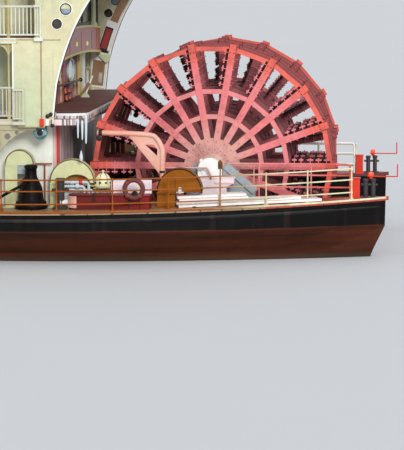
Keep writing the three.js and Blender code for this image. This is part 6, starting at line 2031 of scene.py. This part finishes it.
def door_shapes(width, height, slats=18):
    """A louvred door that stands on the origin: its case, the leaf's frame, tilted slats and a round
    knob."""
    w = width / 2
    hole = rectangle(-w, 0.0, w, height)
    outline = rectangle(-w - 0.04, 0.0, w + 0.04, height + 0.045)
    case = joined(plate(outline, -0.024, 0.0, "y", hole), boxes(
            (-w - 0.055, -0.036, height + 0.04, w + 0.055, 0, height + 0.062),
            (-w - 0.02, -0.045, 0.0, w + 0.02, 0, 0.022)))
    rail_z = np.array([0.04, 0.44 * height, height - 0.05])
    leaf = joined(boxes((-w + 0.004, -0.016, 0.022, -w + 0.054, 0, height - 0.004),
            (w - 0.054, -0.016, 0.022, w - 0.004, 0, height - 0.004)),
        blocks(xyz(-w + 0.05, -0.015, rail_z - 0.03), xyz(w - 0.05, 0.0, rail_z + 0.03)))
    z = np.concatenate([np.linspace(0.09, 0.4 * height, slats // 2),
        np.linspace(0.485 * height, height - 0.1, slats - slats // 2)])
    ends = xyz(w - 0.05, -0.007, z)
    louvres = bars(ends * [-1, 1, 1], ends, 0.018, 0.004, up=(0, -0.7, 0.7))
    knob = joined(rods([w - 0.03, -0.045, 0.47 * height], [w - 0.03, -0.01, 0.47 * height], 0.006, 8),
        scaled(
            turned([[0.006, -0.014], [0.016, -0.006], [0.016, 0.006], [0.006, 0.014]], sides=12, axis="y"),
            1.0, [w - 0.03, -0.05, 0.47 * height]))
    return case, leaf, louvres, knob


FACING = {"port": None, "fore": turns_about_z(1, -math.pi / 2), "aft": turns_about_z(1, math.pi / 2)}


def along_wall(shape, places, wall="port"):
    """Copies on a wall: every place is [x, y, z], and all of them share the wall's turn."""
    places = np.atleast_2d(np.asarray(places, float))
    turn = FACING[wall]
    return copies(shape, places, None if turn is None else np.repeat(turn, len(places), axis=0))


# %% Bays of the three cabin decks
HOUSES = {
    # name: fore end, after end, half breadth, floor, ceiling, pitch of the bays, window and door sizes
    "boiler_house": (-9.8, 11.35, 2.6, 2.44, 3.72, 1.4, (0.46, 0.56), (0.38, 0.98)),
    "cabin_house": (-9.3, 10.4, 2.5, 3.82, 5.1, 1.4, (0.46, 0.56), (0.38, 0.98)),
    "texas_house": (-7.6, 4.2, 1.7, 5.2, 6.25, 1.2, (0.38, 0.42), (0.34, 0.84)),
}


def house_trim(x0, x1, half, z0, z1):
    """Base board, cornice and a bead under it along the port wall, short of its rounded corners."""
    a, b = x0 + 0.22, x1 - 0.22
    return boxes((a, -half - 0.016, z0, b, -half, z0 + 0.085), (a, -half - 0.024, z1 - 0.055, b, -half, z1),
        (a, -half - 0.014, z1 - 0.1, b, -half, z1 - 0.075))


for house, (x0, x1, half, z0, z1, pitch, win, door) in HOUSES.items():
    sash, pane = window_shapes(*win)
    case, leaf, louvres, knob = door_shapes(*door)
    centres = np.arange(x0 + 0.75, x1 - 0.95, pitch)
    door_x = centres + pitch / 2
    door_x = door_x[door_x < x1 - 0.5]
    win_z = z0 + door[1] - win[1] / 2 + 0.01
    window_at = xyz(centres, -half, win_z)
    door_at = xyz(door_x, -half, z0)
    for piece, shape, places, finish in (("window_frames", sash, window_at, "trim_white"),
        ("window_panes", pane, window_at, "cabin_window_glass"),
        ("door_cases", case, door_at, "trim_white"), ("door_leaves", leaf, door_at, "shutter_green"),
        ("door_louvres", louvres, door_at, "shutter_green")):
        put_pair(f"{house}_{piece}", along_wall(shape, places), finish)
    put_pair(f"{house}_door_knobs", along_wall(knob, door_at), "bell_brass", angle=60)
    put_pair(f"{house}_wall_trim", house_trim(x0, x1, half, z0, z1), "trim_white", bevel=0.003)
    y = np.array([-0.62, 0.62]) * half
    fore_at = xyz(x0, y, win_z)
    fore_door = np.array([[x0, -door[0] / 2 - 0.03, z0], [x0, door[0] / 2 + 0.03, z0]])
    fore_trim = boxes((x0 - 0.016, -half + 0.22, z0, x0, half - 0.22, z0 + 0.05),
        (x0 - 0.024, -half + 0.22, z1 - 0.055, x0, half - 0.22, z1))
    put(f"{house}_fore_frames",
        joined(along_wall(sash, fore_at, "fore"), along_wall(case, fore_door, "fore"), fore_trim),
        "trim_white")
    put(f"{house}_fore_panes", along_wall(pane, fore_at, "fore"), "cabin_window_glass")
    put(f"{house}_fore_leaves",
        joined(along_wall(leaf, fore_door, "fore"), along_wall(louvres, fore_door, "fore")),
        "shutter_green")
    if house != "boiler_house":
        aft_at = xyz(x1, y, win_z)
        put(f"{house}_aft_frames",
            joined(along_wall(sash, aft_at, "aft"), along_wall(case, [x1, 0, z0], "aft")), "trim_white")
        put(f"{house}_aft_panes", along_wall(pane, aft_at, "aft"), "cabin_window_glass")
        put(f"{house}_aft_leaf",
            joined(along_wall(leaf, [x1, 0, z0], "aft"), along_wall(louvres, [x1, 0, z0], "aft")),
            "shutter_green")

# %% The main house: freight doors with strap hinges, and small lights under the beams
freight_x = np.arange(-8.6, 9.0, 2.5)
freight = boxes((-0.52, -0.022, 0.02, -0.006, 0, 1.12), (0.006, -0.022, 0.02, 0.52, 0, 1.12),
    (-0.58, -0.03, 0.0, -0.53, 0, 1.15), (0.53, -0.03, 0.0, 0.58, 0, 1.15),
    (-0.58, -0.032, 1.13, 0.58, 0, 1.18))
strap_z = np.array([0.2, 0.92])
hinge = joined(*[blocks(xyz(u0, -0.028, strap_z - 0.022), xyz(u1, -0.021, strap_z + 0.022))
        for u0, u1 in ((-0.54, -0.14), (0.14, 0.54))],
    *[rods(xyz(u, -0.034, strap_z - 0.035), xyz(u, -0.034, strap_z + 0.035), 0.011, 10)
        for u in (-0.525, 0.525)],
    blocks([-0.1, -0.034, 0.58], [0.1, -0.021, 0.63]))
freight_at = xyz(freight_x, -3.0, MAIN_Z)
put_pair("freight_doors", along_wall(freight, freight_at), "locker_oxide_red", "door_red", bevel=0.004)
put_pair("freight_door_hinges", along_wall(hinge, freight_at), "fitting_iron", bevel=0.002)
sash, pane = window_shapes(0.34, 0.3)
light_x = freight_x[:-1] + 1.25
light_at = xyz(light_x, -3.0, 1.86)
put_pair("main_house_window_frames", along_wall(sash, light_at), "trim_white")
put_pair("main_house_window_panes", along_wall(pane, light_at), "cabin_window_glass")
main_trim = boxes((-10.25, -3.018, 0.9, 11.36, -3.0, 0.99), (-10.25, -3.02, 2.27, 11.36, -3.0, 2.335))
put_pair("main_house_trim", main_trim, "white_house_paint", bevel=0.004)
opening = rectangle(-0.45, 0.94, 0.45, 1.95)
opening_frame = rectangle(-0.45 - 0.06, 0.94 - 0.03, 0.45 + 0.06, 1.95 + 0.06)
put("main_house_fore_case", plate(opening_frame, -10.53, -10.5, "x", opening), "trim_white", bevel=0.004)
fore_at = [[-10.5, -1.7, 1.62], [-10.5, 1.7, 1.62]]
put("main_house_fore_frames", along_wall(sash, fore_at, "fore"), "trim_white")
put("main_house_fore_panes", along_wall(pane, fore_at, "fore"), "cabin_window_glass")

# %% The after doors and the pilothouse doors, on leaves that move
PANEL = 0.01


def leaf_panels(u0, u1, z0, z1, split):
    """The low corners and the high corners of a leaf's two raised panels, in the leaf's own plane."""
    middle = z0 + (z1 - z0) * split
    low = np.array([[u0 + 0.055, z0 + 0.07], [u0 + 0.055, middle + 0.03]])
    high = np.array([[u1 - 0.055, middle - 0.03], [u1 - 0.055, z1 - 0.07]])
    return low, high


low, high = leaf_panels(-1.15, -0.73, 2.59, 3.57, 0.45)
aft_panels = blocks(np.column_stack([[11.325, 11.325], low]), np.column_stack([[11.326 + PANEL] * 2, high]))
aft_knob = joined(rods([11.32, -0.765, 3.04], [11.366, -0.765, 3.04], 0.006, 8),
    turned([[0.008, 0], [0.02, 0.008], [0.02, 0.018], [0.008, 0.026]], (11.356, -0.765, 3.04), 16, "x"))
put_pair("aft_door_panels", aft_panels, "bulkhead_rose", body="*_aft_door", bevel=0.005)
put_pair("aft_door_knob", aft_knob, "bell_brass", body="*_aft_door", angle=60)
low, high = leaf_panels(-6.75, -6.39, 6.37, 7.32, 0.48)
pilot_panel = blocks([low[0, 0], -1.05 - PANEL, low[0, 1]], [high[0, 0], -1.049, high[0, 1]])
light, light_rim = rectangle(*low[1], *high[1]), rectangle(*(low[1] - 0.022), *(high[1] + 0.022))
put_pair("pilothouse_door_panel", pilot_panel, "door_red_paint", body="*_pilothouse_door", bevel=0.004)
put_pair("pilothouse_door_light_rim", plate(light_rim, -1.05 - PANEL, -1.049, "y", light), "trim_white",
    body="*_pilothouse_door", bevel=0.003)
put_pair("pilothouse_door_light", plate(light, -1.056, -1.049), "cabin_window_glass",
    body="*_pilothouse_door")
pilot_knob = joined(rods([-6.425, -1.09, 6.82], [-6.425, -1.045, 6.82], 0.006, 8),
    facing_port([[0.008, 0], [0.018, 0.008], [0.018, 0.016], [0.008, 0.024]], (-6.425, -1.076, 6.82), 16))
put_pair("pilothouse_door_knob", pilot_knob, "bell_brass", body="*_pilothouse_door", angle=60)

# %% Panes and sashes in the pilothouse's real openings
SIGHT_Z0, SIGHT_Z1 = 6.81, 7.36


def sash_and_pane(u0, u1, depth_out, depth_in, normal):
    """A frame round one opening and the pane inside it."""
    hole, outline, inside = [rectangle(u0 + by, SIGHT_Z0 + by, u1 - by, SIGHT_Z1 - by)
        for by in (0.02, -0.035, 0.001)]
    middle = (depth_out + depth_in) / 2
    frame_shape = plate(outline, depth_out, depth_out + 0.9 * (depth_in - depth_out) / 4, normal, hole)
    return frame_shape, plate(inside, middle - 0.004, middle + 0.004, normal)


side_lights = [sash_and_pane(u0, u1, -1.064, -1.02, "y")
    for u0, u1 in ((-6.19, -5.81), (-5.69, -5.31), (-7.15, -6.83))]
put_pair("pilothouse_side_sashes", joined(*[s for s, _ in side_lights]), "trim_white", bevel=0.003)
put_pair("pilothouse_side_panes", joined(*[p for _, p in side_lights]), "cabin_window_glass")
ends = [sash_and_pane(y - 0.25, y + 0.25, out, inn, "x") for y in (-0.651, 0.0, 0.651)
    for out, inn in ((-7.314, -7.27), (-5.186, -5.23))]
put("pilothouse_end_sashes", joined(*[s for s, _ in ends]), "trim_white", bevel=0.003)
put("pilothouse_end_panes", joined(*[p for _, p in ends]), "cabin_window_glass")
pilot_trim = boxes((-7.24, -1.066, 6.33, -6.79, -1.05, 6.4), (-6.35, -1.066, 6.33, -5.26, -1.05, 6.4),
    (-7.24, -1.07, 7.4, -5.26, -1.05, 7.47), (-6.35, -1.062, 6.72, -5.26, -1.05, 6.75))
put_pair("pilothouse_trim", pilot_trim, "trim_white", bevel=0.003)
put("pilothouse_end_trim", boxes((-7.316, -0.98, 6.33, -7.3, 0.98, 6.4),
        (-5.2, -0.98, 6.33, -5.184, 0.98, 6.4), (-7.318, -0.98, 7.4, -7.3, 0.98, 7.47),
        (-5.2, -0.98, 7.4, -5.182, 0.98, 7.47)), "trim_white", bevel=0.003)

# %% [markdown]
# ## Edges, chimneys, foredeck and roofs
#
# What is left is everything away from the stern: beads round the decks' edges, the chimneys' crowns and
# stays, the foredeck, the stair, the landing stage and the hurricane deck's skylights. They follow the
# usual pattern of western river boats, since the picture shows only the stern.

# %% Beads round the decks' edges
def plan_path(x0, x1, half, corner, z, each=8):
    """A closed line round a slab: four straight sides joined by quarter circles."""
    a = np.linspace(0, np.pi / 2, each)
    arc = np.stack([np.cos(a), np.sin(a)], axis=1) * corner
    quarter = [arc, arc[::-1] * [-1, 1], -arc, arc[::-1] * [1, -1]]
    middle = [[x1 - corner, half - corner], [x0 + corner, half - corner], [x0 + corner, -half + corner],
        [x1 - corner, -half + corner]]
    flat = np.concatenate([q + m for q, m in zip(quarter, middle)])
    return np.column_stack([flat, np.full(len(flat), z)])


BEAD = np.array([[0.012, -0.012], [0.012, 0.012], [0.0, 0.016], [-0.012, 0.012], [-0.016, 0.0],
    [-0.012, -0.012], [0.0, -0.016]])
ROOF_EDGES = (
    # fore end, after end, half breadth, corner, height and the bead's size
    (-12.0, 12.7, 3.5, 0.5, 5.185, 1.0), (-12.0, 12.7, 3.5, 0.5, 5.115, 0.8),
    (-8.0, 4.6, 2.0, 0.25, 6.315, 1.0), (-7.6, -4.9, 1.35, 0.15, 7.545, 1.0),
)
edges = joined(*[swept(plan_path(*where), BEAD * size, (0, 0, 1), True) for *where, size in ROOF_EDGES])
put("roof_edge_beads", edges, "edge_band_white")


def open_edge(x0, corner, z, x_stop=10.98):
    """The same line for the decks that end at the screens: from one screen round the fore end to the
    other."""
    a = np.linspace(np.pi / 2, np.pi, 8)
    arc = np.stack([x0 + corner + corner * np.cos(a), 3.5 - corner + corner * np.sin(a)], axis=1)
    flat = np.concatenate([[[x_stop, 3.5]], arc, arc[::-1] * [1, -1], [[x_stop, -3.5]]])
    return np.column_stack([flat, np.full(len(flat), z)])


lower = joined(*[swept(open_edge(x0, corner, z), BEAD * size, (0, 0, 1))
    for x0, corner, z, size in ((-12.6, 0.35, 2.425, 1.0), (-12.6, 0.35, 2.355, 0.8),
        (-12.3, 0.06, 3.805, 1.0), (-12.3, 0.06, 3.735, 0.8))])
put("deck_edge_beads", lower, "gallery_pale")
rub_x = np.concatenate([np.linspace(-17.3, -6.6, 60), np.linspace(-6, 10.4, 12),
    np.linspace(10.7, 17.15, 36)])
RUB = np.array([[0.03, -0.035], [0.03, 0.035], [-0.004, 0.028], [-0.016, 0.0], [-0.004, -0.028]])
put_pair("rub_rail", swept(along_edge(rub_x, 0.022, -0.16), RUB, (0, 0, 1)), "chimney_black", "hull_black")

# %% Chimneys: plate rings, collars, crowns of bent petals and stays
CHIMNEY = np.array([-8.9, -2.05, 0.0])
HOOP_Z = (6.25, 7.2, 8.15, 9.1, 10.05)
hoops = joined(*[hoop(0.324, 0.342, z, 0.018, CHIMNEY) for z in HOOP_Z])
collar = joined(turned([[0.335, 5.2], [0.47, 5.2], [0.47, 5.235], [0.4, 5.25], [0.36, 5.36], [0.335, 5.36]],
        CHIMNEY, 40, closed=True),
    turned([[0.328, 9.72], [0.372, 9.74], [0.372, 9.86], [0.328, 9.88]], CHIMNEY, 40, closed=True))
bolts = copies(turned([[0.014, 0], [0.012, 0.012]], sides=6),
    CHIMNEY + np.column_stack([0.435 * ring_points(16), np.full(16, 5.233)]))
put_pair("chimney_rings", joined(hoops, collar, bolts), "fitting_iron")
petal_side = np.array([[0.0, -0.05], [0.1, 0.0], [0.19, 0.1], [0.235, 0.22], [0.245, 0.33], [0.232, 0.33],
    [0.215, 0.23], [0.17, 0.115], [0.085, 0.02], [0.0, -0.02]])
petal = plate(petal_side * [1, 0.9] + [0.3, 10.93], -0.03, 0.03)
petals = copies(petal, np.repeat(CHIMNEY[None], 20, axis=0), turns_about_z(20))
beads = turned([[0.5, 11.28], [0.532, 11.285], [0.54, 11.3], [0.532, 11.315], [0.5, 11.32]], CHIMNEY, 48,
    closed=True)
put_pair("chimney_crown", joined(petals, beads), "chimney_black", bevel=0.003)
stay_top = CHIMNEY + np.array([[-0.3, 0.1, 9.8], [0.3, 0.1, 9.8], [-0.05, -0.36, 9.8]])
stay_foot = np.array([[-11.35, -2.6, 5.205], [-6.35, -3.15, 5.205], [-9.2, -3.36, 5.205]])
eyes = blocks(stay_foot - [0.03, 0.012, 0.01], stay_foot + [0.03, 0.012, 0.05])
put_pair("chimney_stays", joined(rods(stay_top, stay_foot, 0.009, 8), eyes), "fitting_iron")
scape = joined(turned([[0.075, 5.2], [0.11, 5.2], [0.11, 5.24], [0.07, 5.26], [0.062, 5.3], [0.062, 8.6],
            [0.075, 8.62], [0.08, 8.72], [0.05, 8.74]],
        (-8.1, -2.35, 0), 20),
    bars([-8.45, -2.15, 7.2], [-8.15, -2.33, 7.2], 0.03, 0.012),
    bars([-8.45, -2.15, 8.3], [-8.15, -2.33, 8.3], 0.03, 0.012))
put_pair("steam_escape_pipe", scape, "chimney_black")
whistles = joined(*[turned([[0.012, 0], [0.012, 0.1], [0.034, 0.115], [0.034, 0.15], [0.026, 0.16],
            [0.036, 0.185], [0.036, 0.185 + h], [0.02, 0.21 + h], [0.006, 0.23 + h]],
        (-8.45 + dx, -1.82, 6.9), 16)
    for dx, h in ((0.0, 0.22), (0.1, 0.16), (0.2, 0.12))])
whistle_pipe = tube(rounded([[-8.6, -1.9, 6.88], [-8.45, -1.82, 6.9], [-8.22, -1.82, 6.9]], 0.04), 0.016,
    10)
put("steam_whistles", mirrored(joined(whistles, whistle_pipe)), "bell_brass")

# %% Hurricane deck: skylights, mushroom vents, the bell and benches
def skylight(x, length):
    """A long box with two glazed slopes: a gable outline pushed fore and aft, with sash bars on the
    slopes."""
    gable = np.array([[-0.62, 5.2], [0.62, 5.2], [0.62, 5.38], [0.0, 5.62], [-0.62, 5.38]])
    body = plate(gable, x, x + length, "x")
    x0, x1 = x - 0.02, x + length + 0.02
    eave = boxes((x0, -0.65, 5.36, x1, -0.61, 5.395), (x0, 0.61, 5.36, x1, 0.65, 5.395))
    ridge = rods([x0, 0, 5.63], [x1, 0, 5.63], 0.022, 10)
    at = np.linspace(x + 0.03, x + length - 0.03, 7)
    slope = joined(*[bars(xyz(at, s * 0.62, 5.392), xyz(at, 0.0, 5.632), 0.026, 0.014)
                     for s in (-1, 1)])
    glass = joined(*[
        bars([[x + length / 2, s * 0.59, 5.399]], [[x + length / 2, s * 0.02, 5.62]], length - 0.05, 0.008)
        for s in (-1, 1)])
    return joined(body, eave, ridge, slope), glass


lit = [skylight(x, 1.5) for x in (5.3, 7.3, 9.3)]
put("skylight_boxes", joined(*[box for box, _ in lit]), "trim_white", bevel=0.003)
put("skylight_panes", joined(*[glass for _, glass in lit]), "cabin_window_glass")
mushroom = turned([[0.09, 0], [0.12, 0.01], [0.075, 0.03], [0.07, 0.18], [0.15, 0.19], [0.155, 0.21],
        [0.12, 0.245], [0.06, 0.265], [0.004, 0.27]], sides=28)
vents_at = np.array([[5.0, -2.2], [7.05, -2.2], [9.05, -2.2], [11.2, -1.5], [-10.4, -2.0]])
put_pair("mushroom_vents", copies(mushroom, np.column_stack([vents_at, np.full(5, HURRICANE_Z)])),
    "trim_white")
bench = joined(boxes((-0.6, -0.2, 0.21, 0.6, -0.11, 0.23), (-0.6, -0.09, 0.21, 0.6, 0.0, 0.23),
        (-0.6, 0.02, 0.21, 0.6, 0.11, 0.23), (-0.6, 0.125, 0.28, 0.6, 0.145, 0.36),
        (-0.6, 0.135, 0.38, 0.6, 0.155, 0.46)),
    bars([[-0.5, -0.18, 0.0], [0.5, -0.18, 0.0]], [[-0.5, -0.18, 0.21], [0.5, -0.18, 0.21]], 0.03, 0.03,
        up=(1, 0, 0)),
    bars([[-0.5, 0.09, 0.0], [0.5, 0.09, 0.0]], [[-0.5, 0.15, 0.46], [0.5, 0.15, 0.46]], 0.03, 0.03,
        up=(1, 0, 0)),
    boxes((-0.515, -0.19, 0.185, -0.485, 0.11, 0.21), (0.485, -0.19, 0.185, 0.515, 0.11, 0.21)))
bench_at = np.array([[5.9, -1.25, 5.2], [8.0, -1.25, 5.2], [10.1, -1.25, 5.2]])
put_pair("deck_benches", copies(bench, bench_at, np.repeat(turns_about_z(1, math.pi), 3, axis=0)),
    "tan_trim", bevel=0.002)
bell = turned([[0.02, 0.3], [0.055, 0.295], [0.085, 0.27], [0.098, 0.2], [0.11, 0.11], [0.135, 0.045],
        [0.16, 0.0], [0.15, -0.005], [0.1, 0.06], [0.02, 0.08]],
    (-11.0, 0, 5.4), 36)
put("roof_bell", bell, "bell_brass")
frame_of_bell = joined(bars([[-11.0, -0.24, 5.2], [-11.0, 0.24, 5.2]],
        [[-11.0, -0.2, 5.8], [-11.0, 0.2, 5.8]], 0.05, 0.035, up=(1, 0, 0)),
    boxes((-11.03, -0.24, 5.7, -10.97, 0.24, 5.755), (-11.16, -0.3, 5.2, -10.84, -0.18, 5.235),
        (-11.16, 0.18, 5.2, -10.84, 0.3, 5.235)),
    rods([-11.0, 0, 5.68], [-11.0, 0, 5.71], 0.03, 12))
put("roof_bell_frame", frame_of_bell, "fitting_iron", bevel=0.004)

# %% Search lamps before the pilothouse, stove pipes on the texas roof, rings on the flagstaff
lamp_place = np.array([-7.72, -0.95, 6.33])
search = joined(turned([[0.07, 0], [0.07, 0.02], [0.02, 0.04], [0.02, 0.2], [0.03, 0.22]], lamp_place, 20),
    turned([[0.06, 0.0], [0.115, 0.03], [0.125, 0.06], [0.125, 0.2], [0.115, 0.205], [0.115, 0.15],
            [0.01, 0.15]][::-1], lamp_place + [-0.12, 0, 0.36], 28, "x"))
put_pair("search_lamps", search, "fitting_iron")
stove = turned([[0.06, 0], [0.085, 0.0], [0.085, 0.02], [0.045, 0.04], [0.042, 0.55], [0.1, 0.56],
        [0.1, 0.575], [0.02, 0.63]], sides=20)
put_pair("stove_pipes", copies(stove, [[-3.2, -0.9, TEXAS_Z], [0.2, -0.9, TEXAS_Z], [3.0, -0.9, TEXAS_Z]]),
    "chimney_black")
rings_up = joined(*[hoop(0.032, 0.046, z, 0.012, (12.54, 0, 0), 20) for z in (5.3, 5.9, 6.5)],
    turned([[0.006, 7.12], [0.036, 7.135], [0.048, 7.17], [0.036, 7.205], [0.006, 7.22]], (12.54, 0, 0),
        20))
put("flagstaff_rings", rings_up, "bell_brass")

# %% Derrick and stage
mast = np.array([-14.7, 0, 0])
mast_rings = joined(*[hoop(0.126, 0.148, z, 0.02, mast, 32, 0.005) for z in (1.45, 2.75, 3.6, 4.9)],
    turned([[0.02, 4.99], [0.09, 5.0], [0.1, 5.04], [0.05, 5.08], [0.07, 5.12], [0.06, 5.17], [0.01, 5.19]],
        mast, 24))
put("derrick_bands", mast_rings, "fitting_iron", body="derrick")
cleat_x = np.linspace(-20.85, -16.45, 34)
cleats = blocks(xyz(cleat_x - 0.012, -0.47, 2.458), xyz(cleat_x + 0.012, 0.47, 2.472))
put("stage_cleats", cleats, "tan_trim", "white_paint", body="stage", bevel=0.002)
kerbs = joined(
    boxes((-20.98, -0.582, 2.64, -16.32, -0.518, 2.655), (-20.98, 0.518, 2.64, -16.32, 0.582, 2.655)),
    rods([[-20.9, -0.56, 2.66], [-20.9, 0.56, 2.66]], [[-20.9, -0.56, 2.72], [-20.9, 0.56, 2.72]], 0.02,
        10))
put("stage_kerbs", kerbs, "locker_oxide_red", "white_paint", body="stage", bevel=0.003)

# %% The fore stair's handrails
rail_line = rounded([[-14.24, -0.685, 1.25], [-14.24, -0.685, 1.86], [-12.7, -0.685, 3.02],
        [-12.42, -0.685, 3.02], [-12.42, -0.685, 2.44]], 0.08)
stair_rails = tube(rail_line, 0.018, 12, up=(0, 1, 0))
mid_line = np.array([[-14.22, -0.685, 1.55], [-12.66, -0.685, 2.72]])
posts_x = np.array([-13.85, -13.45, -13.05])
post_foot = xyz(posts_x, -0.685, 1.06 + (posts_x + 14.3) * 0.755)
stair_rails = joined(stair_rails, tube(mid_line, 0.012, 10, up=(0, 1, 0)),
    rods(post_foot, post_foot + [0, 0, 1.1], 0.013, 10))
put_pair("fore_stair_rails", stair_rails, "bell_brass")

# %% Foredeck cleats
cleat_at = along_edge(np.array([-16.2, -13.2]), 0.16, 0.0)
horn = joined(boxes((-0.2, -0.05, 0.0, 0.2, 0.05, 0.03), (-0.055, -0.03, 0.03, 0.055, 0.03, 0.075)),
    tube(curve_through(
            [[-0.19, 0, 0.135], [-0.1, 0, 0.098], [0, 0, 0.09], [0.1, 0, 0.098], [0.19, 0, 0.135]], 4),
        0.026, 10, up=(0, 1, 0)))
put_pair("foredeck_cleats", copies(horn, cleat_at), "bitt_grey", "black_iron", bevel=0.003)

# %% Rudder straps
strap_z = np.array([-0.92, -0.66, -0.4])
straps_low = xyz(10.43, -1.337, strap_z)
straps_high = xyz(11.36, -1.263, strap_z + 0.05)
put_pair("rudder_straps", blocks(straps_low, straps_high), "fitting_iron", body="*_rudder", bevel=0.003)

# %% [markdown]
# ## Floor and light
#
# The boat floats, so the floor lies at the waterline. It reaches far past the horizon line of this lens, so
# the whole background is one pale field. A wide soft sun from behind the camera's shoulder models the
# shapes, and an even pale sky fills the shadows.

# %% Floor
FLOOR_SIZE = 2400.0
floor_mesh = bpy.data.meshes.new("studio_floor")
half = FLOOR_SIZE / 2
floor_mesh.from_pydata([(-half, -half, 0), (half, -half, 0), (half, half, 0), (-half, half, 0)], [],
    [(0, 1, 2, 3)])
floor = bpy.data.objects.new("studio_floor", floor_mesh)
bpy.context.collection.objects.link(floor)
floor_paint, tree, shader, place = start_material("studio_floor_pale")
cloud = noise(tree, place, 0.12, 3.0)
pale = mix_colour(tree, cloud, (0.6, 0.61, 0.62), (0.64, 0.645, 0.65))
finish_with(tree, shader, pale, span(tree, cloud, 0.75, 0.85), cloud, 0.02)
floor_mesh.materials.append(floor_paint)
floor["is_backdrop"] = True

# %% Light
SUN_FROM = Vector((0.3, -0.86, 0.42))
SUN_POWER, SUN_WIDTH, SKY_POWER = 2.3, 18, 0.8
sun = bpy.data.objects.new("soft_sun", bpy.data.lights.new("soft_sun", "SUN"))
bpy.context.collection.objects.link(sun)
sun.rotation_mode = "QUATERNION"
sun.rotation_quaternion = (-SUN_FROM).to_track_quat("-Z", "Y")
sun.data.energy = SUN_POWER
sun.data.angle = math.radians(SUN_WIDTH)
world = bpy.data.worlds.new("pale_sky")
bpy.context.scene.world = world
world.use_nodes = True
world.node_tree.nodes["Background"].inputs["Color"].default_value = (0.86, 0.9, 0.95, 1)
world.node_tree.nodes["Background"].inputs["Strength"].default_value = SKY_POWER
bpy.context.scene.view_settings.view_transform = "Standard"
print("sun from", tuple(round(c, 2) for c in SUN_FROM))

# %% [markdown]
# ## The boxes at the end
#
# The dressed boat stands a little proud of its solids, so both boxes are printed.

# %% Write the sizes and finish
dressed_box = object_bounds()
for name, (low, high) in (("solids", solid_box), ("dressed", dressed_box)):
    print(name, "from", [round(c, 3) for c in low], "to", [round(c, 3) for c in high])
print("new triangles before rounding:", sum(made))
